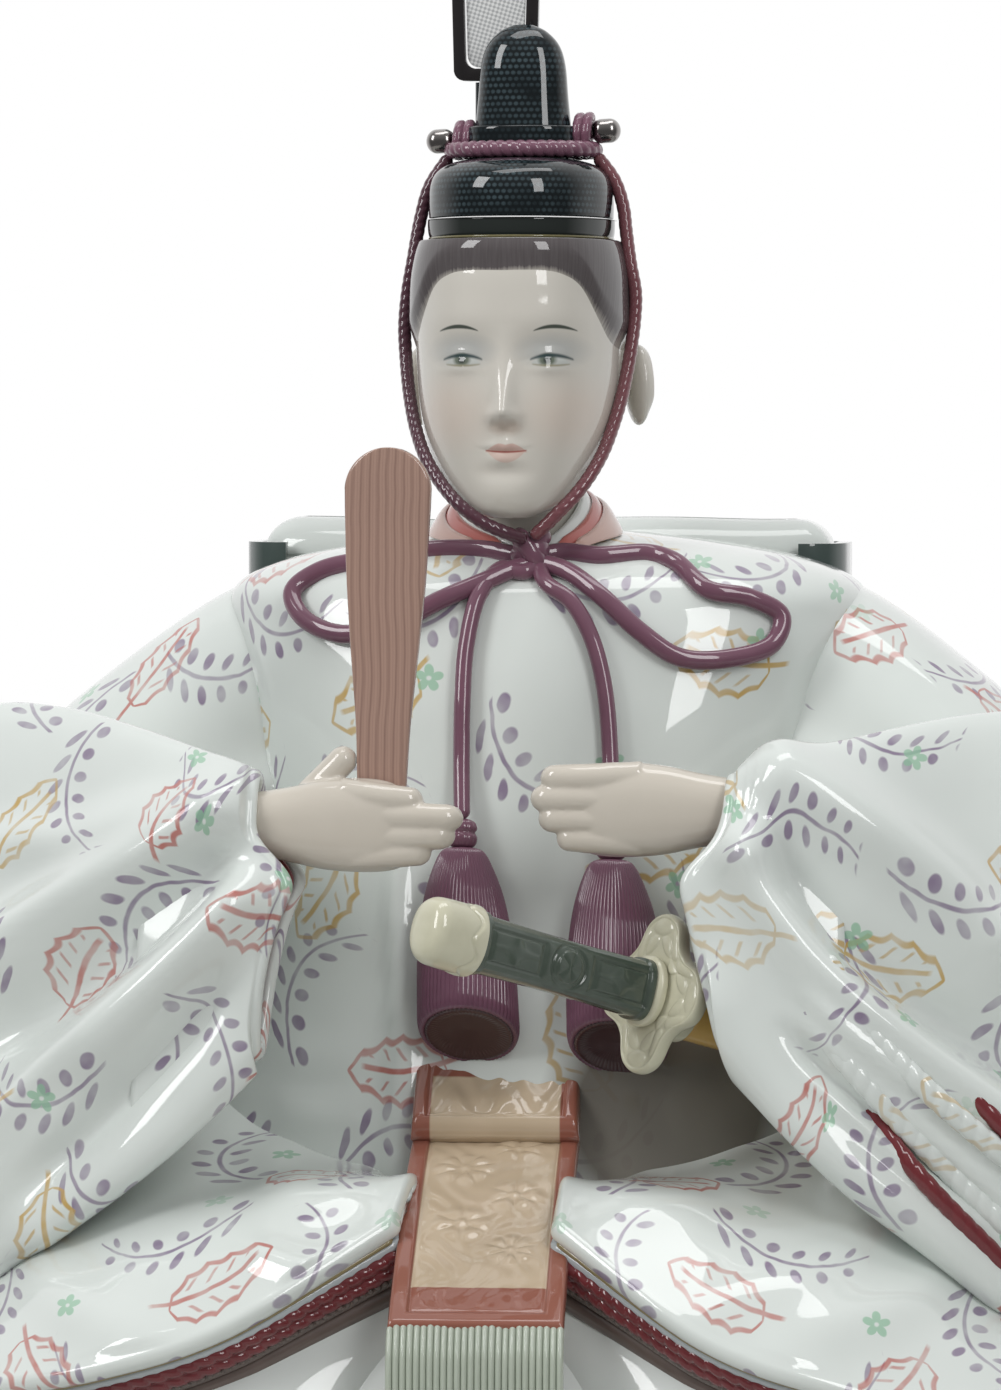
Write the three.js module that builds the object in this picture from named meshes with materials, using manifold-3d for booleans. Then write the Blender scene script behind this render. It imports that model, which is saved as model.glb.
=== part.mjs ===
import * as THREE from 'three';
import { mergeVertices } from 'three/addons/utils/BufferGeometryUtils.js';
import Module from 'manifold-3d';

// A seated emperor doll for the doll festival, in glazed porcelain with painted cords.
// Millimetres, +Z up. The doll faces -Y, and X grows towards its own left hand.
// The origin is on the resting plane, under the middle of the shoulders.

const wasm = await Module();
wasm.setup();

// Fits
const clearance = 0.3;
const slidingGap = 0.35;
const overrun = 3;
const weld = 0.001;
const facetSlack = 0.17;
const seatShare = 0.88;

// Robe over the trunk
const trunkFoot = 60;
const trunkHeight = 124;
const trunkHalfWidth = 61;
const trunkDepth = 42;
const frontSeamWidth = 2.4;
const frontSeamOffset = -18.5;

// Sleeves
const sleeveReach = 150;
const sleeveForward = 90;
const sleeveHeight = 152;
const sleeveThickness = 30;
const sleeveWall = 2.8;
const liningWall = 1.6;
const mouthLip = 0.6;

// Lap, trousers and the robe spread behind
const lapHalfWidth = 118;
const lapDepth = 118;
const lapHeight = 78;
const panelThickness = 4;
const paleHemThickness = 2.2;
const crimsonHemThickness = 2.8;
const brownHemThickness = 2.2;
const hemInset = 1.4;
const trousersHalfWidth = 54;
const trousersHeight = 58;
const backHalfWidth = 124;
const backDepth = 96;
const backHeight = trunkFoot - clearance;
const ventRadius = 7;
const ventDepth = 26;
const ventBack = 44;

// Pouch folded up behind the shoulders, and the belt round it
const pouchHalfLength = 56.5;
const pouchOffset = -5;
const pouchFront = 27;
const pouchDepth = 24;
const pouchHeight = 38;
const pouchTop = 186;
const pouchRound = 6;
const beltHeight = 9;
const beltThickness = 2.6;
const beltTop = 181;

// Head
const headOffset = -2.8;
const headBack = -20;
const chinHeight = 187;
const headHalfWidth = 19.2;
const headDepth = 24;
const headHeight = 60;
const noseReach = 3.6;
const earHeight = 15;
const earDepth = 10;
const earThickness = 5.4;
const hairThickness = 1.3;
const neckHalfWidth = 10.5;
const neckDepth = 11;
const neckBack = -15;

// Collars, from the neck outwards
const collarWidth = 5.4;
const collarThickness = 1.5;
const collarHalfWidth = 12.4;
const collarStep = 2.1;
const collarDrop = 10.5;
const collarRise = 15;

// Cap
const brimHalfWidth = 17.4;
const brimDepth = 20.4;
const brimHeight = 3.6;
const brimFoot = 238.6;
const brimRoll = 1.4;
const crownHeight = 11;
const crownInset = 0.6;
const capSetback = 1;
const uprightHalfWidth = 9.2;
const uprightDepth = 6.4;
const uprightHeight = 25;
const uprightBack = -16.5;
const bandHeight = 4;
const bandProud = 0.9;
const pinRadius = 1.25;
const pinHalfLength = 18.4;
const pinHeadRadius = 2.3;
const pinHeadLength = 5.6;
const pinRise = 4.6;
const pinTilt = 0.055;
const capCordRadius = 1.6;
const capCordReach = 4.2;

// Plume of gauze in a frame, standing in a socket behind the cap
const plumeOffset = -9.4;
const plumeFoot = 269;
const plumeHeight = 71;
const plumeFootHalfWidth = 8;
const plumeTopHalfWidth = 9.4;
const plumeBar = 2.3;
const plumeDepth = 2.2;
const gauzeThickness = 0.5;
const stemHalfWidth = 3;
const stemDepth = 1.6;
const stemLength = 19;
const socketHalfWidth = 5.4;
const socketDepth = 4.6;
const socketFloor = 2;
const socketSetback = 1.3;

// Cords
const cordRadius = 1.3;
const bowCordRadius = 1.6;
const tailRadius = 1.5;
const knotHeight = 180;
const knotOffset = 2.2;
const knotRadius = 3.7;
const bowReach = 47;
const bowDrop = 19;
const tailDrop = 48.5;
const tailSpread = 16;
const tasselHeight = 36;
const tasselRadius = 9.4;
const tasselKnobRadius = 2.9;
const tasselKnobHeight = 5.2;
const tasselFlatShare = 0.72;
const tasselLean = 0.24;
const tasselSlantFrom = 0.45;
const tasselSlant = 0.5;

// Hands and baton
const wristOffset = 41;
const wristForward = 77.5;
const wristHeight = 133;
const handLength = 36;
const handHalfHeight = 8.4;
const handDepth = 4.9;
const fingerRadius = 2.35;
const thumbRadius = 2.6;
const rightThumbRise = 12.2;
const leftThumbRise = 5.6;
const batonHalfWidth = 7.8;
const batonFootHalfWidth = 4;
const batonLength = 71;
const batonThickness = 2.6;
const batonLean = 0.022;
const batonAcross = 20.6;
const batonStep = 4.6;

// Sword
const guardX = 29;
const guardY = -77;
const guardZ = 103.5;
const swordAcross = -34.5;
const swordForward = -38;
const swordRise = 14.5;
const guardThickness = 3;
const guardHalfHeight = 14.5;
const guardHalfWidth = 13;
const guardCollarRadius = 6.4;
const guardCollarHeight = 1.8;
const gripLength = 40;
const gripHalfHeight = 5.2;
const gripHalfWidth = 3.9;
const pommelLength = 11;
const pommelProud = 0.9;
const pegHalfHeight = 2.4;
const pegHalfWidth = 1.5;
const pegInGrip = 12;
const pegInScabbard = 22;
const scabbardLength = 64;
const scabbardHalfHeight = 6.6;
const scabbardHalfWidth = 4.6;
const scabbardCollarLength = 5;
const scabbardCollarProud = 0.8;

// Sash hanging from the waist
const sashHalfWidth = 15.2;
const sashTopOffset = -2.4;
const sashTopForward = 50;
const sashRise = 10;
const sashThickness = 2.8;
const sashFoldThickness = 6.5;
const sashTurn = 0.075;
const sashForward = 70;
const sashDrop = 40;
const fringeThickness = 2.4;
const fringeLength = 22;
const fringeRibs = 13;
const fringeRibDepth = 0.5;

const finishes = {
  robe: { color: 0xdde4e0, roughness: 0.1, metalness: 0 },
  skin: { color: 0xd6d1c7, roughness: 0.15, metalness: 0 },
  hair: { color: 0x5f595a, roughness: 0.2, metalness: 0 },
  cap: { color: 0x1c2426, roughness: 0.15, metalness: 0 },
  pin: { color: 0x2b2829, roughness: 0.15, metalness: 0.4 },
  cord: { color: 0x70495c, roughness: 0.2, metalness: 0 },
  baton: { color: 0xa38576, roughness: 0.3, metalness: 0 },
  grip: { color: 0x4f5a50, roughness: 0.2, metalness: 0 },
  cream: { color: 0xdcdac4, roughness: 0.2, metalness: 0 },
  scabbard: { color: 0xcda65c, roughness: 0.2, metalness: 0 },
  sash: { color: 0xc79f83, roughness: 0.2, metalness: 0 },
  fringe: { color: 0xb9c1b3, roughness: 0.25, metalness: 0 },
  crimson: { color: 0x8a2f33, roughness: 0.2, metalness: 0 },
  pale: { color: 0xb8bfc2, roughness: 0.2, metalness: 0 },
  brown: { color: 0x6d5f59, roughness: 0.25, metalness: 0 },
  coral: { color: 0xb96a63, roughness: 0.2, metalness: 0 },
  pink: { color: 0xc9a79c, roughness: 0.2, metalness: 0 },
  belt: { color: 0x46524f, roughness: 0.2, metalness: 0 },
  frame: { color: 0x2b2829, roughness: 0.35, metalness: 0.6 },
  gauze: { color: 0xc9cbcc, roughness: 0.6, metalness: 0 },
};

// Vectors, curves through hand-chosen rows, and rings
const point = (x, y, z) => new THREE.Vector3(x, y, z);

function place(box, shares) {
  const [across, along, up] = shares;
  return point(box.x + across * box.w, box.y + along * box.d, box.z + up * box.h);
}

function between(before, from, to, after, t) {
  const linear = (to - before) * t;
  const square = (2 * before - 5 * from + 4 * to - after) * t * t;
  const cube = (3 * from - before - 3 * to + after) * t * t * t;
  return from + (linear + square + cube) / 2;
}

function rowAt(rows, share) {
  const last = rows.length - 1;
  const at = Math.min(Math.max(share, 0), 1) * last;
  const index = Math.min(Math.floor(at), last - 1);
  const before = rows[Math.max(index - 1, 0)];
  const after = rows[Math.min(index + 2, last)];
  const to = rows[index + 1];
  return rows[index].map((from, k) => between(before[k], from, to[k], after[k], at - index));
}

// The row whose first number is the wanted one
function rowWhere(rows, wanted) {
  let low = 0;
  let high = 1;
  for (let i = 0; i < 20; i += 1) {
    const middle = (low + high) / 2;
    if (rowAt(rows, middle)[0] < wanted) {
      low = middle;
    } else {
      high = middle;
    }
  }
  const row = rowAt(rows, low);
  row[0] = wanted;
  return row;
}

function signedPower(value, power) {
  return Math.sign(value) * Math.abs(value) ** power;
}

function ovalRing(count, halfWidth, front, back, roundness, centre) {
  const ring = [];
  for (let i = 0; i < count; i += 1) {
    const angle = (i / count) * 2 * Math.PI;
    const side = signedPower(Math.cos(angle), 2 / roundness);
    const ahead = signedPower(Math.sin(angle), 2 / roundness);
    const depth = ahead < 0 ? front : back;
    ring.push(point(centre.x + side * halfWidth, centre.y + ahead * depth, centre.z));
  }
  return ring;
}

// Solids from rings, outlines and curves
function outward(geometry) {
  const at = geometry.getAttribute('position');
  const index = geometry.getIndex();
  const corner = [point(0, 0, 0), point(0, 0, 0), point(0, 0, 0)];
  let volume = 0;
  for (let i = 0; i < index.count; i += 3) {
    corner.forEach((p, k) => p.fromBufferAttribute(at, index.getX(i + k)));
    volume += corner[0].dot(corner[1].cross(corner[2]));
  }
  if (volume < 0) {
    index.array.reverse();
  }
  return geometry;
}

function loft(rings, looped = false) {
  const count = rings[0].length;
  const points = rings.flat();
  const index = [];
  const bands = looped ? rings.length : rings.length - 1;
  for (let r = 0; r < bands; r += 1) {
    const next = ((r + 1) % rings.length) * count;
    for (let c = 0; c < count; c += 1) {
      const d = (c + 1) % count;
      const here = r * count;
      index.push(here + c, here + d, next + d, here + c, next + d, next + c);
    }
  }
  if (!looped) {
    [0, rings.length - 1].forEach((r) => {
      const hub = points.length;
      const middle = point(0, 0, 0);
      rings[r].forEach((p) => middle.add(p));
      points.push(middle.divideScalar(count));
      for (let c = 0; c < count; c += 1) {
        const d = (c + 1) % count;
        const pair = r === 0 ? [d, c] : [c, d];
        index.push(hub, r * count + pair[0], r * count + pair[1]);
      }
    });
  }
  const geometry = new THREE.BufferGeometry().setFromPoints(points);
  geometry.setIndex(index);
  return outward(geometry);
}

function stackOf(rows, steps, makeRing) {
  const rings = [];
  for (let i = 0; i <= steps; i += 1) {
    rings.push(makeRing(rowAt(rows, i / steps)));
  }
  return loft(rings);
}

function tube(points, radius, steps, sides = 8, closed = false) {
  const section = new THREE.Shape();
  section.absarc(0, 0, radius, 0, 2 * Math.PI, false);
  const path = new THREE.CatmullRomCurve3(points, closed, 'centripetal');
  const curveSegments = sides / 2;
  return new THREE.ExtrudeGeometry(section, {
    steps,
    curveSegments,
    bevelEnabled: false,
    extrudePath: path,
  });
}

function strip(path, thickness, halfWidth) {
  const curve = new THREE.SplineCurve(path);
  const count = 2 * path.length;
  const upper = [];
  const lower = [];
  for (let i = 0; i <= count; i += 1) {
    const at = curve.getPoint(i / count);
    const along = curve.getTangent(i / count);
    const normal = new THREE.Vector2(-along.y, along.x).multiplyScalar(thickness / 2);
    upper.push(at.clone().add(normal));
    lower.push(at.clone().sub(normal));
  }
  const outline = new THREE.Shape([...upper, ...lower.reverse()]);
  const depth = 2 * halfWidth;
  const geometry = new THREE.ExtrudeGeometry(outline, { depth, bevelEnabled: false });
  const turned = new THREE.Matrix4().makeBasis(point(0, -1, 0), point(0, 0, 1), point(1, 0, 0));
  geometry.translate(0, 0, -halfWidth);
  return geometry.applyMatrix4(turned);
}

function ball(radius, x, y, z, flat = [1, 1, 1], detail = 12) {
  const geometry = new THREE.SphereGeometry(radius, detail, detail / 2);
  geometry.scale(flat[0], flat[1], flat[2]);
  return geometry.translate(x, y, z);
}

function solidOf(geometry) {
  const plain = geometry.clone();
  plain.deleteAttribute('normal');
  plain.deleteAttribute('uv');
  const merged = outward(mergeVertices(plain, weld));
  const vertProperties = new Float32Array(merged.getAttribute('position').array);
  const triVerts = new Uint32Array(merged.getIndex().array);
  return new wasm.Manifold(new wasm.Mesh({ numProp: 3, vertProperties, triVerts }));
}

function geometryOf(solid) {
  const mesh = solid.getMesh();
  const geometry = new THREE.BufferGeometry();
  const array = new Float32Array((mesh.vertProperties.length / mesh.numProp) * 3);
  for (let i = 0; i < array.length / 3; i += 1) {
    array.set(mesh.vertProperties.subarray(i * mesh.numProp, i * mesh.numProp + 3), i * 3);
  }
  geometry.setAttribute('position', new THREE.BufferAttribute(array, 3));
  geometry.setIndex(new THREE.BufferAttribute(new Uint32Array(mesh.triVerts), 1));
  geometry.computeVertexNormals();
  return geometry;
}

function joined(...geometries) {
  const solids = geometries.map(solidOf);
  return geometryOf(solids.reduce((whole, next) => whole.add(next)));
}

function cut(geometry, ...cutters) {
  return geometryOf(cutters.reduce((left, next) => left.subtract(solidOf(next)), solidOf(geometry)));
}

// The same body with its skin moved out by a gap, so that a neighbour can seat against it.
// Each point moves so far that every face beside it moves out by the whole gap.
const cornerReach = 1.75;
const firmness = 0.02;

function grown(geometry, gap) {
  const wide = geometry.clone();
  const at = wide.getAttribute('position');
  const index = wide.getIndex();
  const pulls = Array.from({ length: at.count }, () => []);
  const corner = [point(0, 0, 0), point(0, 0, 0), point(0, 0, 0)];
  for (let i = 0; i < index.count; i += 3) {
    corner.forEach((p, k) => p.fromBufferAttribute(at, index.getX(i + k)));
    const face = corner[1].clone().sub(corner[0]).cross(corner[2].sub(corner[0]));
    if (face.length() > weld) {
      face.normalize();
      [0, 1, 2].forEach((k) => pulls[index.getX(i + k)].push(face));
    }
  }
  pulls.forEach((faces, vertex) => {
    const sum = new THREE.Matrix3().set(firmness, 0, 0, 0, firmness, 0, 0, 0, firmness);
    const move = point(0, 0, 0);
    faces.forEach((face) => {
      const n = face.toArray();
      n.forEach((a, row) => n.forEach((b, column) => {
        sum.elements[column * 3 + row] += a * b;
      }));
      move.addScaledVector(face, gap);
    });
    move.applyMatrix3(sum.invert()).clampLength(0, cornerReach * gap);
    at.setXYZ(vertex, at.getX(vertex) + move.x, at.getY(vertex) + move.y, at.getZ(vertex) + move.z);
  });
  return wide;
}

// Pieces are seated in order: each one is cut clear of those already in place.
const doll = new THREE.Group();

function largestOf(solid) {
  const bodies = solid.decompose();
  return bodies.reduce((best, next) => (next.volume() > best.volume() ? next : best));
}

// The pieces that slide keep their full shape, and what they slide in is cut last and exactly.
const slidingNames = [
  'baton', 'sword_peg', 'sword_guard', 'guard_collar', 'sword_pommel', 'sword_grip',
  'plume_frame', 'plume_gauze',
];

function seat(name, geometry, finish) {
  const reach = new THREE.Box3();
  reach.setFromBufferAttribute(geometry.getAttribute('position'));
  const neighbours = doll.children.filter((mesh) => {
    return mesh.geometry.boundingBox.clone().expandByScalar(2 * slidingGap).intersectsBox(reach);
  });
  const cutters = neighbours.map((mesh) => {
    const slides = slidingNames.includes(mesh.name) && !slidingNames.includes(name);
    const gap = slides ? slidingGap : clearance * seatShare;
    const own = solidOf(mesh.geometry);
    return { slides, own, wide: solidOf(grown(mesh.geometry, gap)).add(own) };
  });
  let solid = cutters.reduce((left, cutter) => left.subtract(cutter.wide), solidOf(geometry));
  solid = solid.simplify(facetSlack);
  const meeting = cutters.filter((cutter) => {
    return cutter.slides || solid.intersect(cutter.own).volume() > 0;
  });
  solid = meeting.reduce((left, cutter) => left.subtract(cutter.wide), solid);
  const body = geometryOf(largestOf(solidOf(geometryOf(largestOf(solid)))));
  body.computeBoundingBox();
  const mesh = new THREE.Mesh(body, new THREE.MeshStandardMaterial(finish));
  mesh.name = name;
  doll.add(mesh);
  return mesh;
}

// Trunk: rows of height, half width, front and back, all as shares of the trunk's sizes
const trunkBox = { x: 0, y: 0, z: trunkFoot, w: trunkHalfWidth, d: trunkDepth, h: trunkHeight };
const trunkShares = [
  [0.0, 1.22, 1.56, 1.3],
  [0.12, 1.14, 1.46, 1.18],
  [0.28, 1.03, 1.34, 1.08],
  [0.45, 0.92, 1.25, 1.02],
  [0.6, 0.9, 1.17, 1.0],
  [0.75, 0.93, 1.09, 0.97],
  [0.86, 0.99, 0.99, 0.93],
  [0.925, 1.0, 0.9, 0.86],
  [0.965, 0.84, 0.76, 0.74],
  [0.985, 0.5, 0.58, 0.58],
  [1.0, 0.22, 0.4, 0.42],
];
const trunkRoundness = 2.6;

function trunkRow(z) {
  return rowWhere(trunkShares, (z - trunkBox.z) / trunkBox.h);
}

function chestAt(x, z) {
  const [, wide, front] = trunkRow(z);
  const side = Math.min(Math.abs(x) / (wide * trunkBox.w), 1);
  return -front * trunkBox.d * (1 - side ** trunkRoundness) ** (1 / trunkRoundness);
}

function onChest(x, z, proud) {
  return point(x, chestAt(x, z) - proud, z);
}

// Head: rows of height, half width, front and back as shares of the head's sizes
const headBox = {
  x: headOffset, y: headBack, z: chinHeight, w: headHalfWidth, d: headDepth, h: headHeight,
};
const headShares = [
  [0.0, 0.2, 0.82, -0.46],
  [0.03, 0.42, 0.9, -0.1],
  [0.1, 0.63, 0.93, 0.38],
  [0.2, 0.82, 0.95, 0.78],
  [0.33, 0.94, 0.97, 0.94],
  [0.48, 1.0, 0.98, 1.0],
  [0.63, 1.01, 1.0, 1.02],
  [0.77, 0.98, 0.98, 1.0],
  [0.88, 0.87, 0.87, 0.9],
  [0.96, 0.6, 0.6, 0.66],
  [1.0, 0.28, 0.3, 0.34],
];
const headRoundness = 2.25;
const headTopShare = (brimFoot - clearance - chinHeight) / headHeight;
const noseShares = { foot: 0.3, top: 0.56, tip: 0.325, width: 0.13 };
const browShares = { height: 0.6, spread: 0.07, proud: 0.035 };
const socketShares = { height: 0.49, spread: 0.06, aside: 0.42, width: 0.2, deep: 0.05 };
const lipShares = { height: 0.195, spread: 0.045, width: 0.17, proud: 0.06 };
const cheekShares = { height: 0.3, spread: 0.12, aside: 0.55, width: 0.25, proud: 0.03 };

function hump(value, centre, spread) {
  return Math.exp(-(((value - centre) / spread) ** 2));
}

function faceProud(height, side) {
  const noseRun = Math.min(Math.max((noseShares.top - height) / (noseShares.top - noseShares.tip), 0), 1);
  const noseEnd = Math.min(Math.max((height - noseShares.foot) / (noseShares.tip - noseShares.foot), 0), 1);
  const nose = noseReach * noseRun ** 1.3 * noseEnd * hump(side, 0, noseShares.width);
  const brow = browShares.proud * hump(height, browShares.height, browShares.spread) * hump(side, 0, 1);
  const socket = socketShares.deep * hump(height, socketShares.height, socketShares.spread)
    * hump(Math.abs(side), socketShares.aside, socketShares.width);
  const lip = lipShares.proud * hump(height, lipShares.height, lipShares.spread)
    * hump(side, 0, lipShares.width);
  const cheek = cheekShares.proud * hump(height, cheekShares.height, cheekShares.spread)
    * hump(Math.abs(side), cheekShares.aside, cheekShares.width);
  return nose + headBox.d * (brow - socket + lip + cheek);
}

function headPoint(row, share, proud = 0) {
  const [height, wide, front, back] = row;
  const angle = Math.PI * share * (0.5 + 0.5 * Math.abs(share));
  const side = signedPower(Math.sin(angle), 2 / headRoundness);
  const ahead = signedPower(Math.cos(angle), 2 / headRoundness);
  const middle = (back - front) / 2;
  const reach = (front + back) / 2;
  const face = ahead > 0 ? faceProud(height, side) * ahead : 0;
  const x = headBox.x + side * (wide * headBox.w + proud);
  const y = headBox.y + middle * headBox.d - ahead * (reach * headBox.d + proud) - face;
  return point(x, y, headBox.z + height * headBox.h);
}

function headRow(height) {
  return rowWhere(headShares, height);
}

function headSolid(rows, columns) {
  const rings = [];
  for (let r = 0; r <= rows; r += 1) {
    const share = (r / rows) ** 1.15 * headTopShare;
    const row = r === 0 ? headShares[0] : headRow(share);
    const ring = [];
    for (let i = 0; i < columns; i += 1) {
      ring.push(headPoint(row, (2 * i) / columns - 1));
    }
    rings.push(ring);
  }
  return loft(rings);
}

function ear(side) {
  const geometry = ball(earHeight / 2, 0, 0, 0, [earThickness / earHeight, earDepth / earHeight, 1], 10);
  geometry.rotateZ(-side * 0.45);
  geometry.rotateX(-0.12);
  const x = headBox.x + side * headBox.w * 1.09;
  return geometry.translate(x, headBox.y + headBox.d * 0.42, headBox.z + headBox.h * 0.41);
}

// Hair: a shell over the skull from a hairline that drops behind the ears
const hairlineShares = [
  [0.0, 0.75], [0.17, 0.75], [0.3, 0.74], [0.38, 0.71], [0.46, 0.6], [0.54, 0.53],
  [0.62, 0.51], [0.7, 0.53], [0.8, 0.5], [0.86, 0.26], [0.92, 0.14], [1.0, 0.12],
];

function hairline(share) {
  return rowWhere(hairlineShares, Math.abs(share))[1];
}

function hairSolid(columns, rows) {
  const top = headTopShare;
  const rings = [];
  const layers = [[hairThickness, 1], [-2 * hairThickness, -1]];
  layers.forEach(([proud, direction]) => {
    for (let r = 0; r <= rows; r += 1) {
      const up = direction > 0 ? r / rows : 1 - r / rows;
      const ring = [];
      for (let i = 0; i < columns; i += 1) {
        const share = (2 * i) / columns - 1;
        const height = hairline(share) + (top - hairline(share)) * up;
        ring.push(headPoint(headRow(height), share, proud));
      }
      rings.push(ring);
    }
  });
  return loft(rings, true);
}

// Sleeve: rows of the top point, the bottom point, and the thickness ahead and behind
const sleeveShares = [
  [0.287, -0.85, 0.94, 0.28, -0.93, 0.6, 0.27, 0.27],
  [0.34, -0.81, 0.955, 0.335, -0.955, 0.535, 0.32, 0.38],
  [0.44, -0.7, 0.98, 0.43, -0.965, 0.455, 0.37, 0.58],
  [0.56, -0.52, 0.998, 0.56, -0.93, 0.36, 0.4, 0.8],
  [0.67, -0.41, 0.995, 0.69, -0.85, 0.255, 0.42, 0.98],
  [0.76, -0.3, 0.93, 0.82, -0.75, 0.165, 0.4, 0.96],
  [0.85, -0.24, 0.74, 0.93, -0.63, 0.1, 0.32, 0.72],
  [0.95, -0.26, 0.4, 0.99, -0.5, 0.065, 0.2, 0.34],
];
const sleeveSides = 12;

function sleeveRing(side, row, inset, slide) {
  const top = point(side * row[0] * sleeveReach, row[1] * sleeveForward, row[2] * sleeveHeight);
  const foot = point(side * row[3] * sleeveReach, row[4] * sleeveForward, row[5] * sleeveHeight);
  const ring = [];
  const middle = top.clone().add(foot).divideScalar(2);
  const rise = top.clone().sub(foot).divideScalar(2);
  const half = rise.length() - inset;
  rise.normalize();
  const ahead = point(0, -1, 0);
  ahead.addScaledVector(rise, -ahead.dot(rise)).normalize();
  const front = Math.max(row[6] * sleeveThickness - inset, weld);
  const back = Math.max(row[7] * sleeveThickness - inset, weld);
  for (let i = 0; i < sleeveSides; i += 1) {
    const angle = (i / sleeveSides) * 2 * Math.PI;
    const up = signedPower(Math.sin(angle), 0.85) * half;
    const out = signedPower(Math.cos(angle), 0.85);
    const at = middle.clone().addScaledVector(rise, up);
    at.addScaledVector(ahead, out > 0 ? out * front : out * back);
    at.x += slide;
    ring.push(at);
  }
  return ring;
}

function sleeveBag(side, inset, shares, lead) {
  const rings = shares.map((share) => sleeveRing(side, rowAt(sleeveShares, share), inset, 0));
  if (lead > 0) {
    rings.unshift(sleeveRing(side, rowAt(sleeveShares, shares[0]), inset, -side * lead));
  }
  return loft(rings);
}

// Upper arm under the robe: rows across, forward, backward, foot and top
const armShares = [
  [0.27, -0.3, 0.36, 0.62, 1.2],
  [0.41, -0.36, 0.36, 0.5, 1.185],
  [0.56, -0.44, 0.3, 0.38, 1.1],
  [0.68, -0.44, 0.22, 0.28, 1.03],
  [0.79, -0.42, 0.12, 0.2, 0.88],
];

function upperArm(side) {
  return stackOf(armShares, 4, (row) => {
    const [across, ahead, behind, foot, top] = row;
    const middleY = ((ahead + behind) / 2) * sleeveForward;
    const middleZ = ((foot + top) / 2) * sleeveHeight;
    const depth = ((behind - ahead) / 2) * sleeveForward;
    const rise = ((top - foot) / 2) * sleeveHeight;
    const ring = [];
    for (let i = 0; i < sleeveSides; i += 1) {
      const angle = (i / sleeveSides) * 2 * Math.PI;
      const y = middleY + signedPower(Math.cos(angle), 0.8) * depth;
      const z = middleZ + signedPower(Math.sin(angle), 0.8) * rise;
      ring.push(point(side * across * sleeveReach, y, z));
    }
    return ring;
  });
}

// Rings of the sleeve's cloth, of its hollow and of the lining in it, as shares of its length
const clothShares = [0, 0.09, 0.18, 0.28, 0.4, 0.53, 0.66, 0.78, 0.9, 1];
const hollowShares = [0, 0.09, 0.18, 0.28];
const liningShares = [0, 0.09, 0.18, 0.27];

function sleeve(side) {
  const whole = joined(sleeveBag(side, 0, clothShares, 0), upperArm(side));
  return cut(whole, sleeveBag(side, sleeveWall, hollowShares, overrun));
}

function sleeveLining(side) {
  const outer = sleeveBag(side, sleeveWall + clearance, liningShares, mouthLip);
  const wall = sleeveWall + clearance + liningWall;
  return cut(outer, sleeveBag(side, wall, hollowShares, mouthLip + overrun));
}

// Lap: four lines from the trunk to the hem, each with six points from the middle outwards
const lapShares = [
  [[0.11, -0.47, 1.0], [0.3, -0.42, 1.0], [0.51, -0.33, 0.97], [0.71, -0.2, 0.9],
    [0.88, -0.05, 0.72], [0.98, 0.05, 0.54]],
  [[0.11, -0.61, 0.965], [0.32, -0.61, 0.93], [0.54, -0.56, 0.89], [0.745, -0.44, 0.78],
    [0.93, -0.29, 0.58], [1.03, -0.17, 0.45]],
  [[0.113, -0.745, 0.915], [0.335, -0.83, 0.83], [0.56, -0.83, 0.73], [0.78, -0.71, 0.62],
    [0.965, -0.53, 0.47], [1.065, -0.37, 0.36]],
  [[0.12, -0.84, 0.86], [0.34, -0.975, 0.65], [0.545, -0.99, 0.545], [0.78, -0.9, 0.46],
    [1.0, -0.7, 0.34], [1.1, -0.49, 0.25]],
];

function lapPoint(side, outShare, downShare) {
  const lines = lapShares.map((line) => rowAt(line, outShare));
  const [across, ahead, up] = rowAt(lines, downShare);
  return point(side * across * lapHalfWidth, ahead * lapDepth, up * lapHeight);
}

function lapNormal(side, outShare, downShare) {
  const step = 0.01;
  const out = Math.min(outShare + step, 1);
  const down = Math.min(downShare + step, 1);
  const acrossEdge = lapPoint(side, out, downShare).sub(lapPoint(side, out - step, downShare));
  const downEdge = lapPoint(side, outShare, down).sub(lapPoint(side, outShare, down - step));
  const normal = acrossEdge.cross(downEdge).normalize();
  return normal.z < 0 ? normal.negate() : normal;
}

// A point at a depth under the lap's surface
function underLap(side, outShare, downShare, depth) {
  const normal = lapNormal(side, outShare, downShare);
  return lapPoint(side, outShare, downShare).addScaledVector(normal, -depth);
}

// Columns of a layer from the outer side to the middle, drawn in at both ends by an inset
const columnShares = [1, 0.87, 0.74, 0.61, 0.48, 0.35, 0.23, 0.11, 0];

function columnsOf(inset) {
  return columnShares.map((share) => Math.min(Math.max(share, inset), 1 - inset));
}

// A layer of cloth over the lap, from one depth under its surface to another
function lapLayer(side, from, to, downShares, inset) {
  const end = downShares[downShares.length - 1];
  return loft(columnsOf(inset).map((out) => {
    const normal = lapNormal(side, out, end);
    const ahead = point(0, -1, 0).addScaledVector(normal, normal.y).normalize();
    const nose = underLap(side, out, end, (from + to) / 2).addScaledVector(ahead, (to - from) / 2);
    const upper = downShares.map((down) => underLap(side, out, down, from));
    const lower = downShares.map((down) => underLap(side, out, down, to));
    return [...upper, nose, ...lower.reverse()];
  }));
}

const panelRowShares = [0, 0.25, 0.5, 0.75, 0.89, 1];
const hemRowShares = [0.75, 0.89, 0.985];

function kneePanel(side) {
  return lapLayer(side, 0, panelThickness, panelRowShares, 0);
}

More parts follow.
